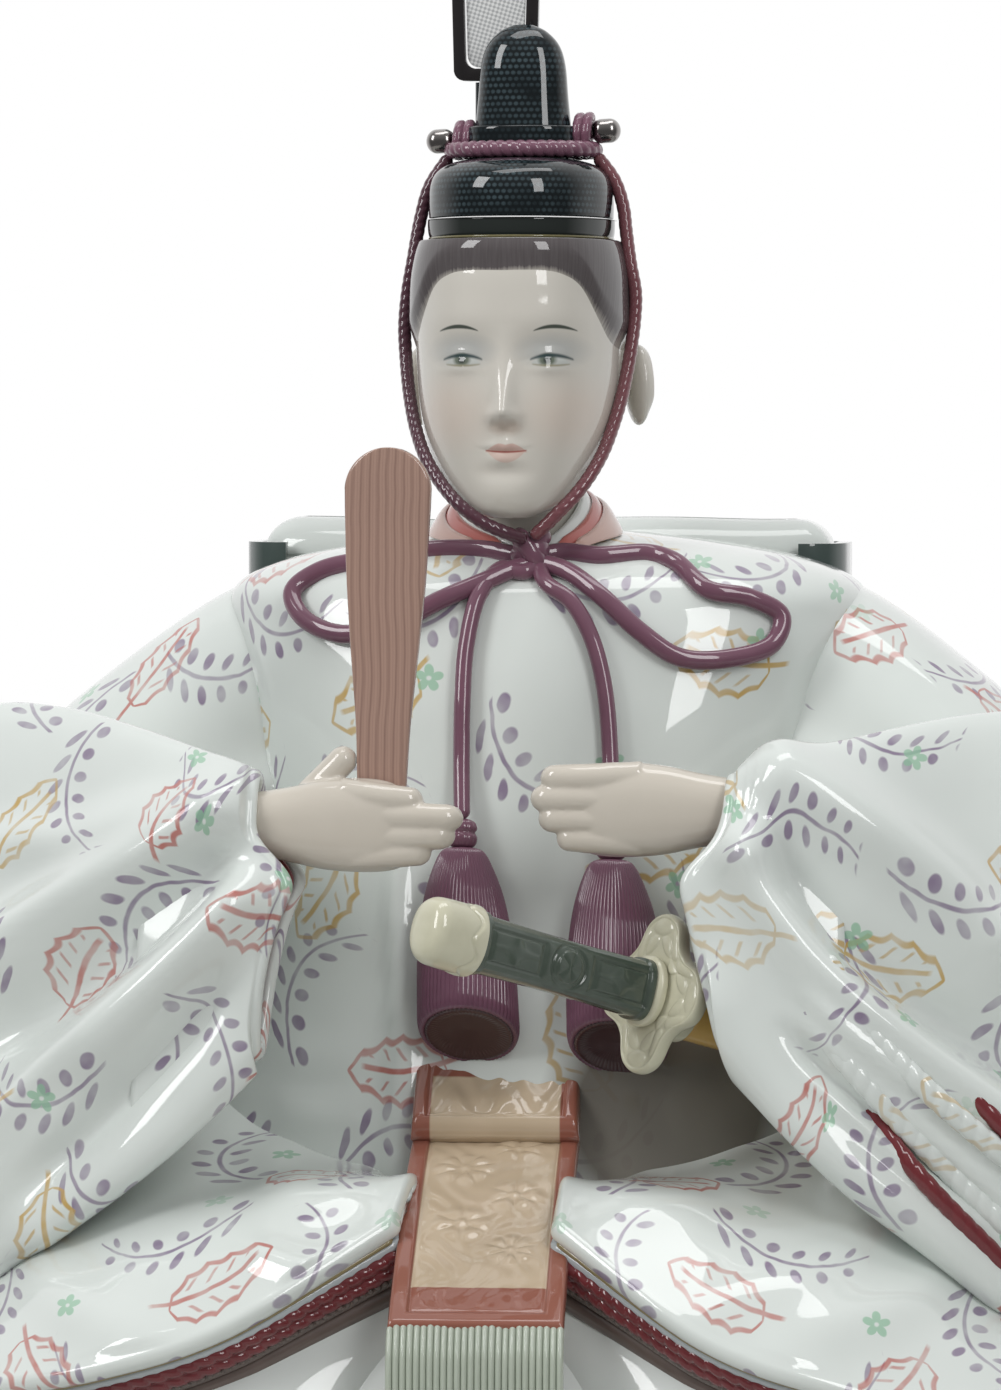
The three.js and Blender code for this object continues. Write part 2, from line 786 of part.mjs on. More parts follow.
const hemStack = [
  { name: 'pale_underrobe_hem', thickness: paleHemThickness, finish: finishes.pale },
  { name: 'crimson_underrobe_hem', thickness: crimsonHemThickness, finish: finishes.crimson },
  { name: 'brown_underrobe_hem', thickness: brownHemThickness, finish: finishes.brown },
];
const hemEdgeShare = hemInset / lapDepth;
const legInsetShare = 0.015;
const stackDepth = hemStack.reduce((sum, layer) => sum + layer.thickness + clearance, panelThickness);

function trouserLeg(side) {
  const sink = panelThickness + 2 * clearance;
  const stackSink = stackDepth + clearance;
  const fullness = panelThickness;
  return loft(columnsOf(legInsetShare).map((out) => {
    const hem = lapPoint(side, out, 1);
    const behind = lapPoint(side, out, 0.25);
    return [
      ...[0.25, 0.5, 0.71].map((down) => underLap(side, out, down, sink)),
      ...[0.735, 0.89, 0.95].map((down) => underLap(side, out, down, stackSink)),
      point(hem.x, hem.y - fullness / 2, hem.z * 0.42),
      point(hem.x, hem.y - fullness / 4, hem.z * 0.14),
      point(hem.x, hem.y + fullness, 0),
      point(behind.x, behind.y, 0),
    ];
  }));
}

// Front of the trousers: rows of height, half width and front
const trouserShares = [
  [0.0, 0.96, -0.93], [0.18, 1.0, -0.985], [0.42, 0.9, -0.965], [0.65, 0.68, -0.9],
  [0.85, 0.42, -0.82], [1.0, 0.22, -0.74],
];

function trouserFront() {
  const back = 0.5 * lapDepth;
  return stackOf(trouserShares, 7, (row) => {
    const [height, wide, front] = row;
    const centre = point(0, -back, height * trousersHeight);
    const ring = ovalRing(28, wide * trousersHalfWidth, -front * lapDepth - back, back * 0.2, 2.5, centre);
    ring.forEach((p, i) => {
      const fold = Math.cos((i / 28) * 2 * Math.PI * 7);
      if (p.y < -back) {
        p.y -= fold * panelThickness * 0.3 * (1 - height * 0.6);
      }
    });
    return ring;
  });
}

// Robe spread behind: rows of height, half width, front and back
const backShares = [
  [0.0, 1.0, 0.6, 1.0], [0.24, 0.985, 0.6, 0.985], [0.5, 0.88, 0.58, 0.88], [0.74, 0.73, 0.54, 0.75],
  [0.92, 0.57, 0.5, 0.64], [1.0, 0.46, 0.47, 0.59],
];

function backRobe() {
  const body = stackOf(backShares, 5, (row) => {
    const [height, wide, front, back] = row;
    const centre = point(0, 0, height * backHeight);
    return ovalRing(24, wide * backHalfWidth, front * backDepth, back * backDepth, 2.5, centre);
  });
  const vent = new THREE.CylinderGeometry(ventRadius, ventRadius, ventDepth + overrun, 20);
  vent.rotateX(Math.PI / 2);
  vent.translate(0, ventBack, (ventDepth - overrun) / 2);
  return cut(body, vent);
}

function trunk() {
  const rows = trunkShares.map((row) => [...row]);
  return stackOf(rows, 10, (row) => {
    const [height, wide, front, back] = row;
    const centre = point(0, 0, trunkBox.z + height * trunkBox.h);
    const halfWidth = wide * trunkBox.w;
    const ring = ovalRing(24, halfWidth, front * trunkBox.d, back * trunkBox.d, trunkRoundness, centre);
    const seamShare = Math.max(0, 1 - height / 0.6);
    ring.forEach((p) => {
      const near = hump(p.x, frontSeamOffset, 3 * frontSeamWidth);
      if (p.y < 0) {
        p.y -= near * frontSeamWidth * Math.min(seamShare * 2, 1);
      }
    });
    return ring;
  });
}

// Pouch and belt
function pouchOutline(proud, halfLength) {
  const shape = new THREE.Shape();
  const half = halfLength + proud;
  const deep = pouchDepth / 2 + proud;
  const turn = pouchRound + proud;
  shape.moveTo(-half + turn, -deep);
  shape.lineTo(half - turn, -deep);
  shape.absarc(half - turn, -deep + turn, turn, -Math.PI / 2, 0, false);
  shape.lineTo(half, deep - turn);
  shape.absarc(half - turn, deep - turn, turn, 0, Math.PI / 2, false);
  shape.lineTo(-half + turn, deep);
  shape.absarc(-half + turn, deep - turn, turn, Math.PI / 2, Math.PI, false);
  shape.lineTo(-half, -deep + turn);
  shape.absarc(-half + turn, -deep + turn, turn, Math.PI, Math.PI * 1.5, false);
  return shape;
}

function pouch() {
  const bevel = pouchRound / 2;
  const geometry = new THREE.ExtrudeGeometry(pouchOutline(-bevel, pouchHalfLength), {
    depth: pouchHeight - 2 * bevel,
    bevelSize: bevel,
    bevelThickness: bevel,
    bevelSegments: 2,
    curveSegments: 3,
  });
  const back = pouchFront + pouchDepth / 2;
  return geometry.translate(pouchOffset, back, pouchTop - pouchHeight + bevel);
}

function belt() {
  const ring = pouchOutline(beltThickness + clearance, pouchHalfLength);
  ring.holes.push(pouchOutline(clearance, pouchHalfLength));
  const geometry = new THREE.ExtrudeGeometry(ring, {
    depth: beltHeight,
    bevelEnabled: false,
    curveSegments: 3,
  });
  const across = 2 * (pouchHalfLength - pouchRound);
  const ahead = new THREE.BoxGeometry(across, pouchDepth, 2 * beltHeight);
  ahead.translate(0, -pouchDepth / 2, beltHeight / 2);
  const strap = cut(geometry, ahead);
  return strap.translate(pouchOffset, pouchFront + pouchDepth / 2, beltTop - beltHeight);
}

// Neck and collars
const collarFrontHeight = chinHeight - collarDrop;

function neck() {
  const foot = collarFrontHeight - overrun;
  const rows = [[foot, 1.12], [chinHeight - overrun, 1.0], [chinHeight + 2 * overrun, 0.94]];
  return stackOf(rows, 4, ([z, wide]) => {
    const centre = point(headOffset, neckBack, z);
    return ovalRing(20, wide * neckHalfWidth, wide * neckDepth, wide * neckDepth, 2, centre);
  });
}

function collar(order) {
  const wide = collarHalfWidth + order * collarStep;
  const deep = neckDepth + collarStep + order * collarStep;
  const rings = [];
  const steps = 18;
  const foot = collarFrontHeight - order * collarStep * 0.6;
  for (let i = 0; i <= steps; i += 1) {
    const angle = -0.94 * Math.PI + (1.88 * Math.PI * i) / steps;
    const rise = (1 - Math.abs(angle) / Math.PI) ** 0.7;
    const front = 1 + 0.35 * hump(Math.abs(angle), Math.PI, 0.7);
    const across = Math.sin(angle);
    const along = Math.cos(angle) * front;
    const centre = point(headOffset + across * wide, neckBack + along * deep, foot + rise * collarRise);
    const out = point(across, along, 0).normalize();
    const up = point(out.x * 0.45, out.y * 0.45, 1).normalize().multiplyScalar(collarWidth / 2);
    const thick = out.clone().multiplyScalar(collarThickness / 2);
    rings.push([
      centre.clone().add(up).sub(thick),
      centre.clone().add(up).add(thick),
      centre.clone().sub(up).add(thick),
      centre.clone().sub(up).sub(thick),
    ]);
  }
  return loft(rings);
}

// Cap
const capCentre = { x: headOffset, y: headBack + capSetback };
const crownFoot = brimFoot + brimHeight + clearance;
const crownTop = crownFoot + crownHeight;
const pinHeight = crownTop + pinRise;

function brim() {
  const rows = [[0, 0], [0.12, 0.9], [0.4, 1], [0.62, 0.7], [0.82, 0.82], [1, 0.4]];
  return loft(rows.map(([up, out]) => {
    const wide = brimHalfWidth + (out - 0.5) * brimRoll;
    const deep = brimDepth + (out - 0.5) * brimRoll;
    return ovalRing(24, wide, deep, deep, 2.1, point(capCentre.x, capCentre.y, brimFoot + up * brimHeight));
  }));
}

function crown() {
  const rows = [[0, 0.97], [0.2, 0.985], [0.5, 0.96], [0.75, 0.87], [0.92, 0.72], [1, 0.6]];
  const wide = brimHalfWidth - crownInset;
  const deep = brimDepth - crownInset;
  return stackOf(rows, 6, ([up, out]) => {
    const centre = point(capCentre.x, capCentre.y, crownFoot + up * crownHeight);
    return ovalRing(24, wide * out, deep * out, deep * out, 2.1, centre);
  });
}

function upright() {
  const rows = [[0, 1], [0.2, 0.97], [0.45, 0.9], [0.7, 0.87], [0.85, 0.76], [0.95, 0.5], [1, 0.2]];
  return stackOf(rows, 8, ([up, out]) => {
    const centre = point(headOffset, uprightBack, crownTop + clearance + up * uprightHeight);
    return ovalRing(18, uprightHalfWidth * out, uprightDepth * out, uprightDepth * out, 2.3, centre);
  });
}

function uprightBand() {
  const rows = [[0, 0], [0, 1], [1, 1], [1, 0]];
  const rings = rows.map(([up, out]) => {
    const grow = clearance + out * bandProud;
    const centre = point(headOffset, uprightBack, crownTop + clearance + up * bandHeight + bandHeight / 2);
    return ovalRing(18, uprightHalfWidth + grow, uprightDepth + grow, uprightDepth + grow, 2.3, centre);
  });
  return loft(rings, true);
}

function tilted(geometry) {
  geometry.translate(-headOffset, 0, -pinHeight);
  geometry.rotateY(-pinTilt);
  return geometry.translate(headOffset, 0, pinHeight);
}

function hairpin() {
  const rod = new THREE.CylinderGeometry(pinRadius, pinRadius, 2 * pinHalfLength - pinHeadLength, 12);
  rod.rotateZ(Math.PI / 2);
  rod.translate(headOffset, uprightBack, pinHeight);
  const heads = [-1, 1].map((side) => {
    const span = pinHeadLength - 2 * pinHeadRadius * 0.55;
    const head = new THREE.CapsuleGeometry(pinHeadRadius, span, 4, 12);
    head.scale(1, 0.8, 1);
    head.rotateZ(Math.PI / 2);
    const x = headOffset + side * (pinHalfLength - pinHeadLength / 2);
    return head.translate(x, uprightBack, pinHeight);
  });
  return tilted(joined(rod, ...heads));
}

// One turn of cord round the pin at each side of the upright
function pinWrap(side) {
  const wrap = new THREE.TorusGeometry(pinRadius + 2 * clearance + cordRadius, cordRadius, 6, 10);
  wrap.rotateY(Math.PI / 2);
  const inner = uprightHalfWidth + bandProud + cordRadius + 2 * clearance;
  wrap.scale(1.3, 1, 1);
  return tilted(wrap.translate(headOffset + side * (inner + clearance), uprightBack, pinHeight));
}

function capCord() {
  const points = [];
  const count = 10;
  const wide = uprightHalfWidth + capCordReach;
  const deep = uprightDepth + capCordReach * 0.7;
  for (let i = 0; i < count; i += 1) {
    const angle = (i / count) * 2 * Math.PI;
    const x = headOffset + Math.cos(angle) * wide;
    points.push(point(x, uprightBack + Math.sin(angle) * deep, crownTop + capCordRadius + clearance));
  }
  const path = new THREE.CatmullRomCurve3(points, true);
  const rings = [];
  const steps = 20;
  const sides = 6;
  for (let i = 0; i < steps; i += 1) {
    const at = path.getPoint(i / steps);
    const out = point(at.x - headOffset, at.y - uprightBack, 0).normalize();
    const ring = [];
    for (let k = 0; k < sides; k += 1) {
      const angle = (k / sides) * 2 * Math.PI;
      const p = at.clone().addScaledVector(out, Math.cos(angle) * capCordRadius);
      p.z += Math.sin(angle) * capCordRadius;
      ring.push(p);
    }
    rings.push(ring);
  }
  return loft(rings, true);
}

// Chin cords, as shares of the head's box, from the cap's cord down to the knot
const rightChinShares = [
  [-0.72, 0.12, 1.125], [-0.96, 0.1, 1.03], [-1.02, 0.06, 0.93], [-1.06, -0.02, 0.8],
  [-1.1, -0.06, 0.62], [-1.09, -0.16, 0.44], [-0.96, -0.36, 0.28], [-0.7, -0.58, 0.14],
  [-0.44, -0.72, 0.02], [-0.17, -0.8, -0.07], [0.06, -0.81, -0.11],
];
const leftChinShares = rightChinShares.map(([across, along, up]) => [-across, along, up]);

function chinCord(shares) {
  return tube(shares.map((share) => place(headBox, share)), cordRadius, 22, 6);
}

// Bow: routes over the chest from the knot, as shares of the bow's reach and drop
const rightLoopShares = [
  [-0.09, 0.0], [-0.22, 0.05], [-0.42, 0.05], [-0.66, -0.04], [-0.88, -0.16], [-0.98, -0.36],
  [-0.93, -0.6], [-0.76, -0.76], [-0.55, -0.66], [-0.36, -0.42], [-0.2, -0.25], [-0.09, -0.13],
];
const leftLoopShares = [
  [0.09, 0.03], [0.24, 0.0], [0.43, 0.02], [0.54, -0.06], [0.68, -0.32], [0.84, -0.4],
  [0.96, -0.58], [0.93, -0.84], [0.76, -0.98], [0.58, -0.96], [0.43, -0.72], [0.27, -0.38],
  [0.12, -0.14],
];
const rightTailShares = [
  [-0.12, -0.06], [-0.4, -0.05], [-0.62, -0.15], [-0.73, -0.33], [-0.75, -0.54], [-0.74, -0.77],
  [-0.7, -1.0],
];
const leftTailShares = [
  [0.14, -0.1], [0.45, -0.17], [0.7, -0.3], [0.87, -0.48], [0.96, -0.74], [1.0, -1.07],
];

function chestRoute(shares, reach, drop, radius, lift) {
  return shares.map(([across, up]) => {
    const x = knotOffset + across * reach;
    return onChest(x, knotHeight + up * drop, radius + clearance + lift);
  });
}

const knotForward = chestAt(knotOffset, knotHeight) - knotRadius;

function knot() {
  const core = ball(knotRadius, knotOffset, knotForward, knotHeight, [1.05, 0.72, 1]);
  const wrapRadius = knotRadius * 0.72;
  const wrap = new THREE.TorusGeometry(wrapRadius, bowCordRadius * 0.8, 8, 14);
  wrap.scale(1.25, 1, 0.75);
  wrap.rotateX(Math.PI / 2);
  wrap.rotateY(0.5);
  return joined(core, wrap.translate(knotOffset, knotForward, knotHeight));
}

// Tassel: knob and skirt turned from one profile, flattened against the robe
const tasselProfileShares = [
  [0, 0], [0.5, 0], [0.62, -0.05], [0.78, -0.2], [0.9, -0.42], [0.97, -0.7], [1, -0.96],
  [0.94, -1], [0, -1],
];

function lathed(shares, radius, height, segments) {
  const profile = shares.map(([out, up]) => new THREE.Vector2(out * radius, up * height));
  const geometry = new THREE.LatheGeometry(profile.reverse(), segments);
  return geometry.rotateX(Math.PI / 2);
}

function tasselPlace(geometry, end) {
  geometry.scale(1, tasselFlatShare, 1);
  geometry.rotateX(-tasselLean);
  return geometry.translate(end.x, end.y, end.z);
}

function tasselKnob(end) {
  const knobShares = [[0, 0.5], [0.7, 0.44], [1, 0.1], [0.9, -0.3], [0.62, -0.5], [0, -0.5]];
  const knob = lathed(knobShares, tasselKnobRadius, tasselKnobHeight, 12);
  return tasselPlace(knob, end);
}

// The skirt's foot is cut at a slant, higher in front
function slanted(geometry) {
  const at = geometry.getAttribute('position');
  for (let i = 0; i < at.count; i += 1) {
    const low = Math.max(0, -at.getZ(i) / tasselHeight - tasselSlantFrom) / (1 - tasselSlantFrom);
    at.setZ(i, at.getZ(i) - tasselSlant * low * at.getY(i));
  }
  return geometry;
}

function tassel(end) {
  const skirt = slanted(lathed(tasselProfileShares, tasselRadius, tasselHeight, 16));
  skirt.translate(0, 0, -tasselKnobHeight / 2 - clearance);
  return tasselPlace(skirt, end);
}

// Hands: rows of the palm along the hand, then four fingers and a thumb
const palmShares = [
  [-0.28, 0.0, 0.62, 0.84], [-0.1, 0.0, 0.66, 0.88], [0.1, 0.0, 0.78, 0.96], [0.3, 0.0, 0.95, 1.0],
  [0.48, 0.0, 1.0, 1.0], [0.66, -0.04, 0.93, 0.92], [0.76, -0.08, 0.6, 0.6],
];
const fingerShares = [
  { from: 0.72, tip: 0.55, reach: 0.8, thick: 1.0 },
  { from: 0.25, tip: 0.16, reach: 1.0, thick: 1.05 },
  { from: -0.24, tip: -0.28, reach: 0.96, thick: 1.0 },
  { from: -0.7, tip: -0.64, reach: 0.84, thick: 0.88 },
];

function finger(side, wrist, shares) {
  const steps = 4;
  const sides = 6;
  const rings = [];
  const rootShare = 0.44;
  const start = wrist.z + shares.from * handHalfHeight;
  const end = wrist.z + shares.tip * handHalfHeight;
  for (let i = 0; i <= steps; i += 1) {
    const along = i / steps;
    const reach = rootShare + (shares.reach - rootShare) * along;
    const tipRound = Math.sqrt(Math.max(1 - Math.max(0, (along - 0.8) / 0.2) ** 2, 0.06));
    const radius = fingerRadius * shares.thick * (1 - 0.16 * along) * tipRound;
    const curl = -handDepth * 0.42 * Math.sin(along * 2.1 + 0.5);
    const ring = [];
    for (let k = 0; k < sides; k += 1) {
      const angle = (k / sides) * 2 * Math.PI;
      const y = wrist.y + curl + Math.cos(angle) * radius * 0.95;
      const z = start + (end - start) * along + Math.sin(angle) * radius;
      ring.push(point(wrist.x + side * reach * handLength, y, z));
    }
    rings.push(ring);
  }
  return loft(rings);
}

function hand(side, wrist, thumbRise) {
  const palm = stackOf(palmShares, 6, ([along, up, tall, deep]) => {
    const ring = [];
    const x = wrist.x + side * along * handLength;
    for (let i = 0; i < 12; i += 1) {
      const angle = (i / 12) * 2 * Math.PI;
      const y = wrist.y + signedPower(Math.cos(angle), 0.85) * deep * handDepth;
      const z = wrist.z + up * handHalfHeight + signedPower(Math.sin(angle), 0.85) * tall * handHalfHeight;
      ring.push(point(x, y, z));
    }
    return ring;
  });
  const thumb = [[0.12, 0.45, 0.14], [0.3, 0.5, 0.59], [0.42, 0.55, 1]].map(([along, back, up]) => {
    const y = wrist.y + back * handDepth;
    return point(wrist.x + side * along * handLength, y, wrist.z + up * thumbRise);
  });
  const tip = thumb[2];
  const thumbTube = tube(thumb, thumbRadius, 3, 6);
  const parts = [thumbTube, ball(thumbRadius, tip.x, tip.y, tip.z, [1, 1, 1], 8)];
  fingerShares.forEach((shares) => parts.push(finger(side, wrist, shares)));
  return joined(palm, ...parts);
}

const rightWrist = point(-wristOffset, -wristForward, wristHeight);
const leftWrist = point(wristOffset - clearance, -wristForward + overrun, wristHeight + overrun);

// Baton: tapered plate with a round head, standing in the right hand
function baton() {
  const shape = new THREE.Shape();
  const head = batonHalfWidth;
  shape.moveTo(-batonFootHalfWidth, 0);
  shape.lineTo(batonFootHalfWidth, 0);
  shape.lineTo(batonFootHalfWidth * 1.2, batonLength * 0.3);
  shape.quadraticCurveTo(head * 0.9, batonLength * 0.6, head, batonLength - head);
  shape.quadraticCurveTo(head * 1.02, batonLength, 0, batonLength);
  shape.quadraticCurveTo(-head * 1.02, batonLength, -head, batonLength - head);
  shape.quadraticCurveTo(-head * 0.9, batonLength * 0.6, -batonFootHalfWidth * 1.2, batonLength * 0.3);
  const bevel = batonThickness * 0.22;
  const geometry = new THREE.ExtrudeGeometry(shape, {
    depth: batonThickness - 2 * bevel,
    bevelSize: bevel,
    bevelOffset: -bevel,
    bevelThickness: bevel,
    bevelSegments: 1,
    curveSegments: 6,
  });
  geometry.rotateX(Math.PI / 2);
  geometry.translate(0, batonThickness / 2, 0);
  geometry.rotateY(batonLean);
  const foot = rightWrist.z - handHalfHeight + batonStep;
  return geometry.translate(rightWrist.x + batonAcross, rightWrist.y + batonThickness * 0.8, foot);
}

// Sword, built along its own axis and turned into place: axis from the guard to the pommel
const swordAxis = point(swordAcross, swordForward, swordRise).normalize();
const swordSide = point(0, 0, 1).cross(swordAxis).normalize();
const swordUp = swordAxis.clone().cross(swordSide);
const swordFrame = new THREE.Matrix4().makeBasis(swordSide, swordUp, swordAxis);
swordFrame.setPosition(guardX, guardY, guardZ);

function swordPiece(rows, steps, count, roundness) {
  const body = stackOf(rows, steps, ([along, halfWidth, halfHeight]) => {
    return ovalRing(count, halfWidth, halfHeight, halfHeight, roundness, point(0, 0, along));
  });
  return body.applyMatrix4(swordFrame);
}

function swordPeg() {
  const rows = [[-pegInScabbard, 0.7], [-pegInScabbard / 2, 1], [0, 1], [pegInGrip, 1]];
  const sized = rows.map(([along, share]) => [along, share * pegHalfWidth, share * pegHalfHeight]);
  return swordPiece(sized, 3, 8, 2.6);
}

function swordGuard() {
  const shape = new THREE.Shape();
  const count = 40;
  for (let i = 0; i < count; i += 1) {
    const angle = (i / count) * 2 * Math.PI;
    const lobe = 0.9 + 0.1 * Math.cos(4 * angle) - 0.1 * hump(Math.abs(Math.sin(2 * angle)), 1, 0.25);
    const x = Math.cos(angle) * guardHalfWidth * lobe;
    const y = Math.sin(angle) * guardHalfHeight * lobe;
    if (i === 0) {
      shape.moveTo(x, y);
    } else {
      shape.lineTo(x, y);
    }
  }
  const bevel = guardThickness * 0.25;
  const geometry = new THREE.ExtrudeGeometry(shape, {
    depth: guardThickness - 2 * bevel,
    bevelSize: bevel,
    bevelOffset: -bevel,
    bevelThickness: bevel,
    bevelSegments: 1,
  });
  geometry.translate(0, 0, -guardThickness / 2 + bevel);
  return geometry.applyMatrix4(swordFrame);
}

function guardCollar() {
  const foot = guardThickness / 2 + clearance;
  const rows = [[foot, 1], [foot + guardCollarHeight / 2, 0.97], [foot + guardCollarHeight, 0.85]];
  const sized = rows.map(([at, share]) => [at, share * guardCollarRadius * 0.8, share * guardCollarRadius]);
  return swordPiece(sized, 2, 16, 2.2);
}

const gripFoot = guardThickness / 2 + guardCollarHeight + 2 * clearance;
const pommelFoot = gripFoot + gripLength + clearance;

function swordGrip() {
  const rows = [0, 0.15, 0.5, 0.85, 1].map((share) => {
    const waist = 1 - 0.06 * Math.sin(Math.PI * share);
    return [gripFoot + share * gripLength, gripHalfWidth * waist, gripHalfHeight * waist];
  });
  return swordPiece(rows, 4, 14, 3);
}

function pommel() {
  const shares = [[0, 1], [0.3, 1.02], [0.62, 0.97], [0.85, 0.8], [0.97, 0.45], [1, 0.2]];
  const rows = shares.map(([along, share]) => {
    const at = pommelFoot + along * pommelLength;
    return [at, share * (gripHalfWidth + pommelProud), share * (gripHalfHeight + pommelProud)];
  });
  return swordPiece(rows, 6, 14, 2.6);
}

function scabbard() {
  const mouth = -guardThickness / 2 - clearance - scabbardCollarLength - clearance;
  const rows = [[1, 0.7], [0.8, 0.92], [0.4, 0.98], [0, 1]].map(([along, share]) => {
    return [mouth - along * scabbardLength, share * scabbardHalfWidth, share * scabbardHalfHeight];
  });
  return swordPiece(rows, 4, 16, 2.2);
}

function scabbardCollar() {
  const mouth = -guardThickness / 2 - clearance;
  const wide = scabbardHalfWidth + scabbardCollarProud;
  const tall = scabbardHalfHeight + scabbardCollarProud;
  const rows = [[mouth - scabbardCollarLength, wide, tall], [mouth, wide, tall]];
  return swordPiece(rows, 1, 16, 2.2);
}

// Plume
const plumeForward = uprightBack + uprightDepth + socketDepth / 2 + socketSetback;

function plumeOutline(inset) {
  const shape = new THREE.Shape();
  const foot = plumeFootHalfWidth - inset;
  const top = plumeTopHalfWidth - inset;
  const low = inset;
  const high = plumeHeight - inset;
  const turn = plumeBar + clearance;
  shape.moveTo(-foot + turn, low);
  shape.lineTo(foot - turn, low);
  shape.quadraticCurveTo(foot, low, foot, low + turn);
  shape.lineTo(top, high - top);
  shape.quadraticCurveTo(top, high, 0, high);
  shape.quadraticCurveTo(-top, high, -top, high - top);
  shape.lineTo(-foot, low + turn);
  shape.quadraticCurveTo(-foot, low, -foot + turn, low);
  return shape;
}

function plumePlate(shape, thickness) {
  const geometry = new THREE.ExtrudeGeometry(shape, {
    depth: thickness,
    bevelEnabled: false,
    curveSegments: 6,
  });
  geometry.rotateX(Math.PI / 2);
  geometry.translate(0, thickness / 2, 0);
  return geometry.translate(plumeOffset, plumeForward, plumeFoot);
}

function plumeFrame() {
  const ring = plumeOutline(0);
  ring.holes.push(plumeOutline(plumeBar));
  const stem = new THREE.BoxGeometry(2 * stemHalfWidth, stemDepth, stemLength + plumeBar);
  stem.translate(plumeOffset, plumeForward, plumeFoot + (plumeBar - stemLength) / 2);
  return joined(plumePlate(ring, plumeDepth), stem);
}

function plumeSocket() {
  const floor = plumeFoot - stemLength - clearance - socketFloor;
  const top = plumeFoot - clearance;
  const shape = new THREE.Shape();
  shape.absellipse(0, 0, socketHalfWidth, socketDepth / 2, 0, 2 * Math.PI);
  const geometry = new THREE.ExtrudeGeometry(shape, {
    depth: top - floor,
    bevelEnabled: false,
    curveSegments: 10,
  });
  return geometry.translate(plumeOffset, plumeForward, floor);
}

// Sash, in its own turned frame: the first number runs ahead, the second up
const sashTopHeight = lapHeight + sashRise;
const sashFoldShares = [[0, 0], [0.14, -0.18], [0.23, -0.31]];
const sashPanelShares = [
  [0.13, -0.33], [0.22, -0.36], [0.38, -0.45], [0.62, -0.64], [0.86, -0.86], [0.96, -0.97],
];

function sashStrip(shares, thickness) {
  const path = shares.map(([ahead, up]) => {
    return new THREE.Vector2(sashTopForward + ahead * sashForward, sashTopHeight + up * sashDrop);
  });
  return sashTurned(strip(path, thickness, sashHalfWidth));
}

function sashTurned(geometry) {
  geometry.translate(0, sashTopForward, 0);
  geometry.rotateZ(sashTurn);
  return geometry.translate(sashTopOffset, -sashTopForward, 0);
}

function fringe() {
  const rings = [];
  const rows = [[0.965, -0.1], [0.985, 0.02], [1.0, 0.14], [1.01, 0.5], [1.01, 1]];
  const count = fringeRibs * 2;
  rows.forEach(([ahead, down]) => {
    const y = -(sashTopForward + ahead * sashForward);
    const z = sashTopHeight - sashDrop - down * fringeLength;
    const ring = [];
    for (let i = 0; i <= count; i += 1) {
      const x = sashHalfWidth * ((2 * i) / count - 1);
      const rib = fringeRibDepth * Math.abs(Math.sin((Math.PI * i * fringeRibs) / count));
      ring.push(point(x, y - fringeThickness / 2 - rib, z));
    }
    ring.push(point(sashHalfWidth, y + fringeThickness / 2, z));
    ring.push(point(-sashHalfWidth, y + fringeThickness / 2, z));
    rings.push(ring);
  });
  return sashTurned(loft(rings));
}

// Assembly, from the pieces that keep their full shape to the ones that give way
const rightTail = chestRoute(rightTailShares, tailSpread, tailDrop, tailRadius, clearance);
const leftTail = chestRoute(leftTailShares, tailSpread, tailDrop, tailRadius, clearance);
const rightTailEnd = rightTail[rightTail.length - 1];
const leftTailEnd = leftTail[leftTail.length - 1];
const knobDrop = tasselKnobHeight / 2;
rightTailEnd.y -= tasselKnobRadius * tasselFlatShare;
leftTailEnd.y -= tasselKnobRadius * tasselFlatShare;
const rightKnobAt = rightTailEnd.clone().add(point(0, 0, -knobDrop));
const leftKnobAt = leftTailEnd.clone().add(point(0, 0, -knobDrop));

seat('baton', baton(), finishes.baton);
seat('sword_peg', swordPeg(), finishes.cream);
seat('sword_guard', swordGuard(), finishes.cream);
seat('guard_collar', guardCollar(), finishes.cream);
seat('sword_pommel', pommel(), finishes.cream);
seat('sword_grip', swordGrip(), finishes.grip);
seat('plume_frame', plumeFrame(), finishes.frame);
seat('plume_gauze', plumePlate(plumeOutline(plumeBar + clearance), gauzeThickness), finishes.gauze);
seat('hairpin', hairpin(), finishes.pin);
seat('bow_knot', knot(), finishes.cord);
seat('right_tassel_knob', tasselKnob(rightKnobAt), finishes.cord);
seat('left_tassel_knob', tasselKnob(leftKnobAt), finishes.cord);
seat('right_tassel', tassel(rightKnobAt), finishes.cord);
seat('left_tassel', tassel(leftKnobAt), finishes.cord);
seat('right_cord_tail', tube(rightTail, tailRadius, 12, 6), finishes.cord);
seat('left_cord_tail', tube(leftTail, tailRadius, 12, 6), finishes.cord);
const rightLoop = chestRoute(rightLoopShares, bowReach, bowDrop, bowCordRadius, 2 * clearance);
const leftLoop = chestRoute(leftLoopShares, bowReach, bowDrop, bowCordRadius, 2 * clearance);
seat('right_bow_loop', tube(rightLoop, bowCordRadius, 26, 6), finishes.cord);
seat('left_bow_loop', tube(leftLoop, bowCordRadius, 26, 6), finishes.cord);
seat('right_pin_wrap', pinWrap(-1), finishes.cord);
seat('left_pin_wrap', pinWrap(1), finishes.cord);
seat('cap_cord', capCord(), finishes.cord);
seat('right_chin_cord', chinCord(rightChinShares), finishes.cord);
seat('left_chin_cord', chinCord(leftChinShares), finishes.cord);
seat('cap_upright', upright(), finishes.cap);
seat('cap_upright_band', uprightBand(), finishes.cap);
seat('plume_socket', plumeSocket(), finishes.cap);
seat('cap_brim', brim(), finishes.cap);
seat('cap_crown', crown(), finishes.cap);
seat('hair', hairSolid(22, 3), finishes.hair);
seat('head', joined(headSolid(15, 22), ear(-1), ear(1)), finishes.skin);
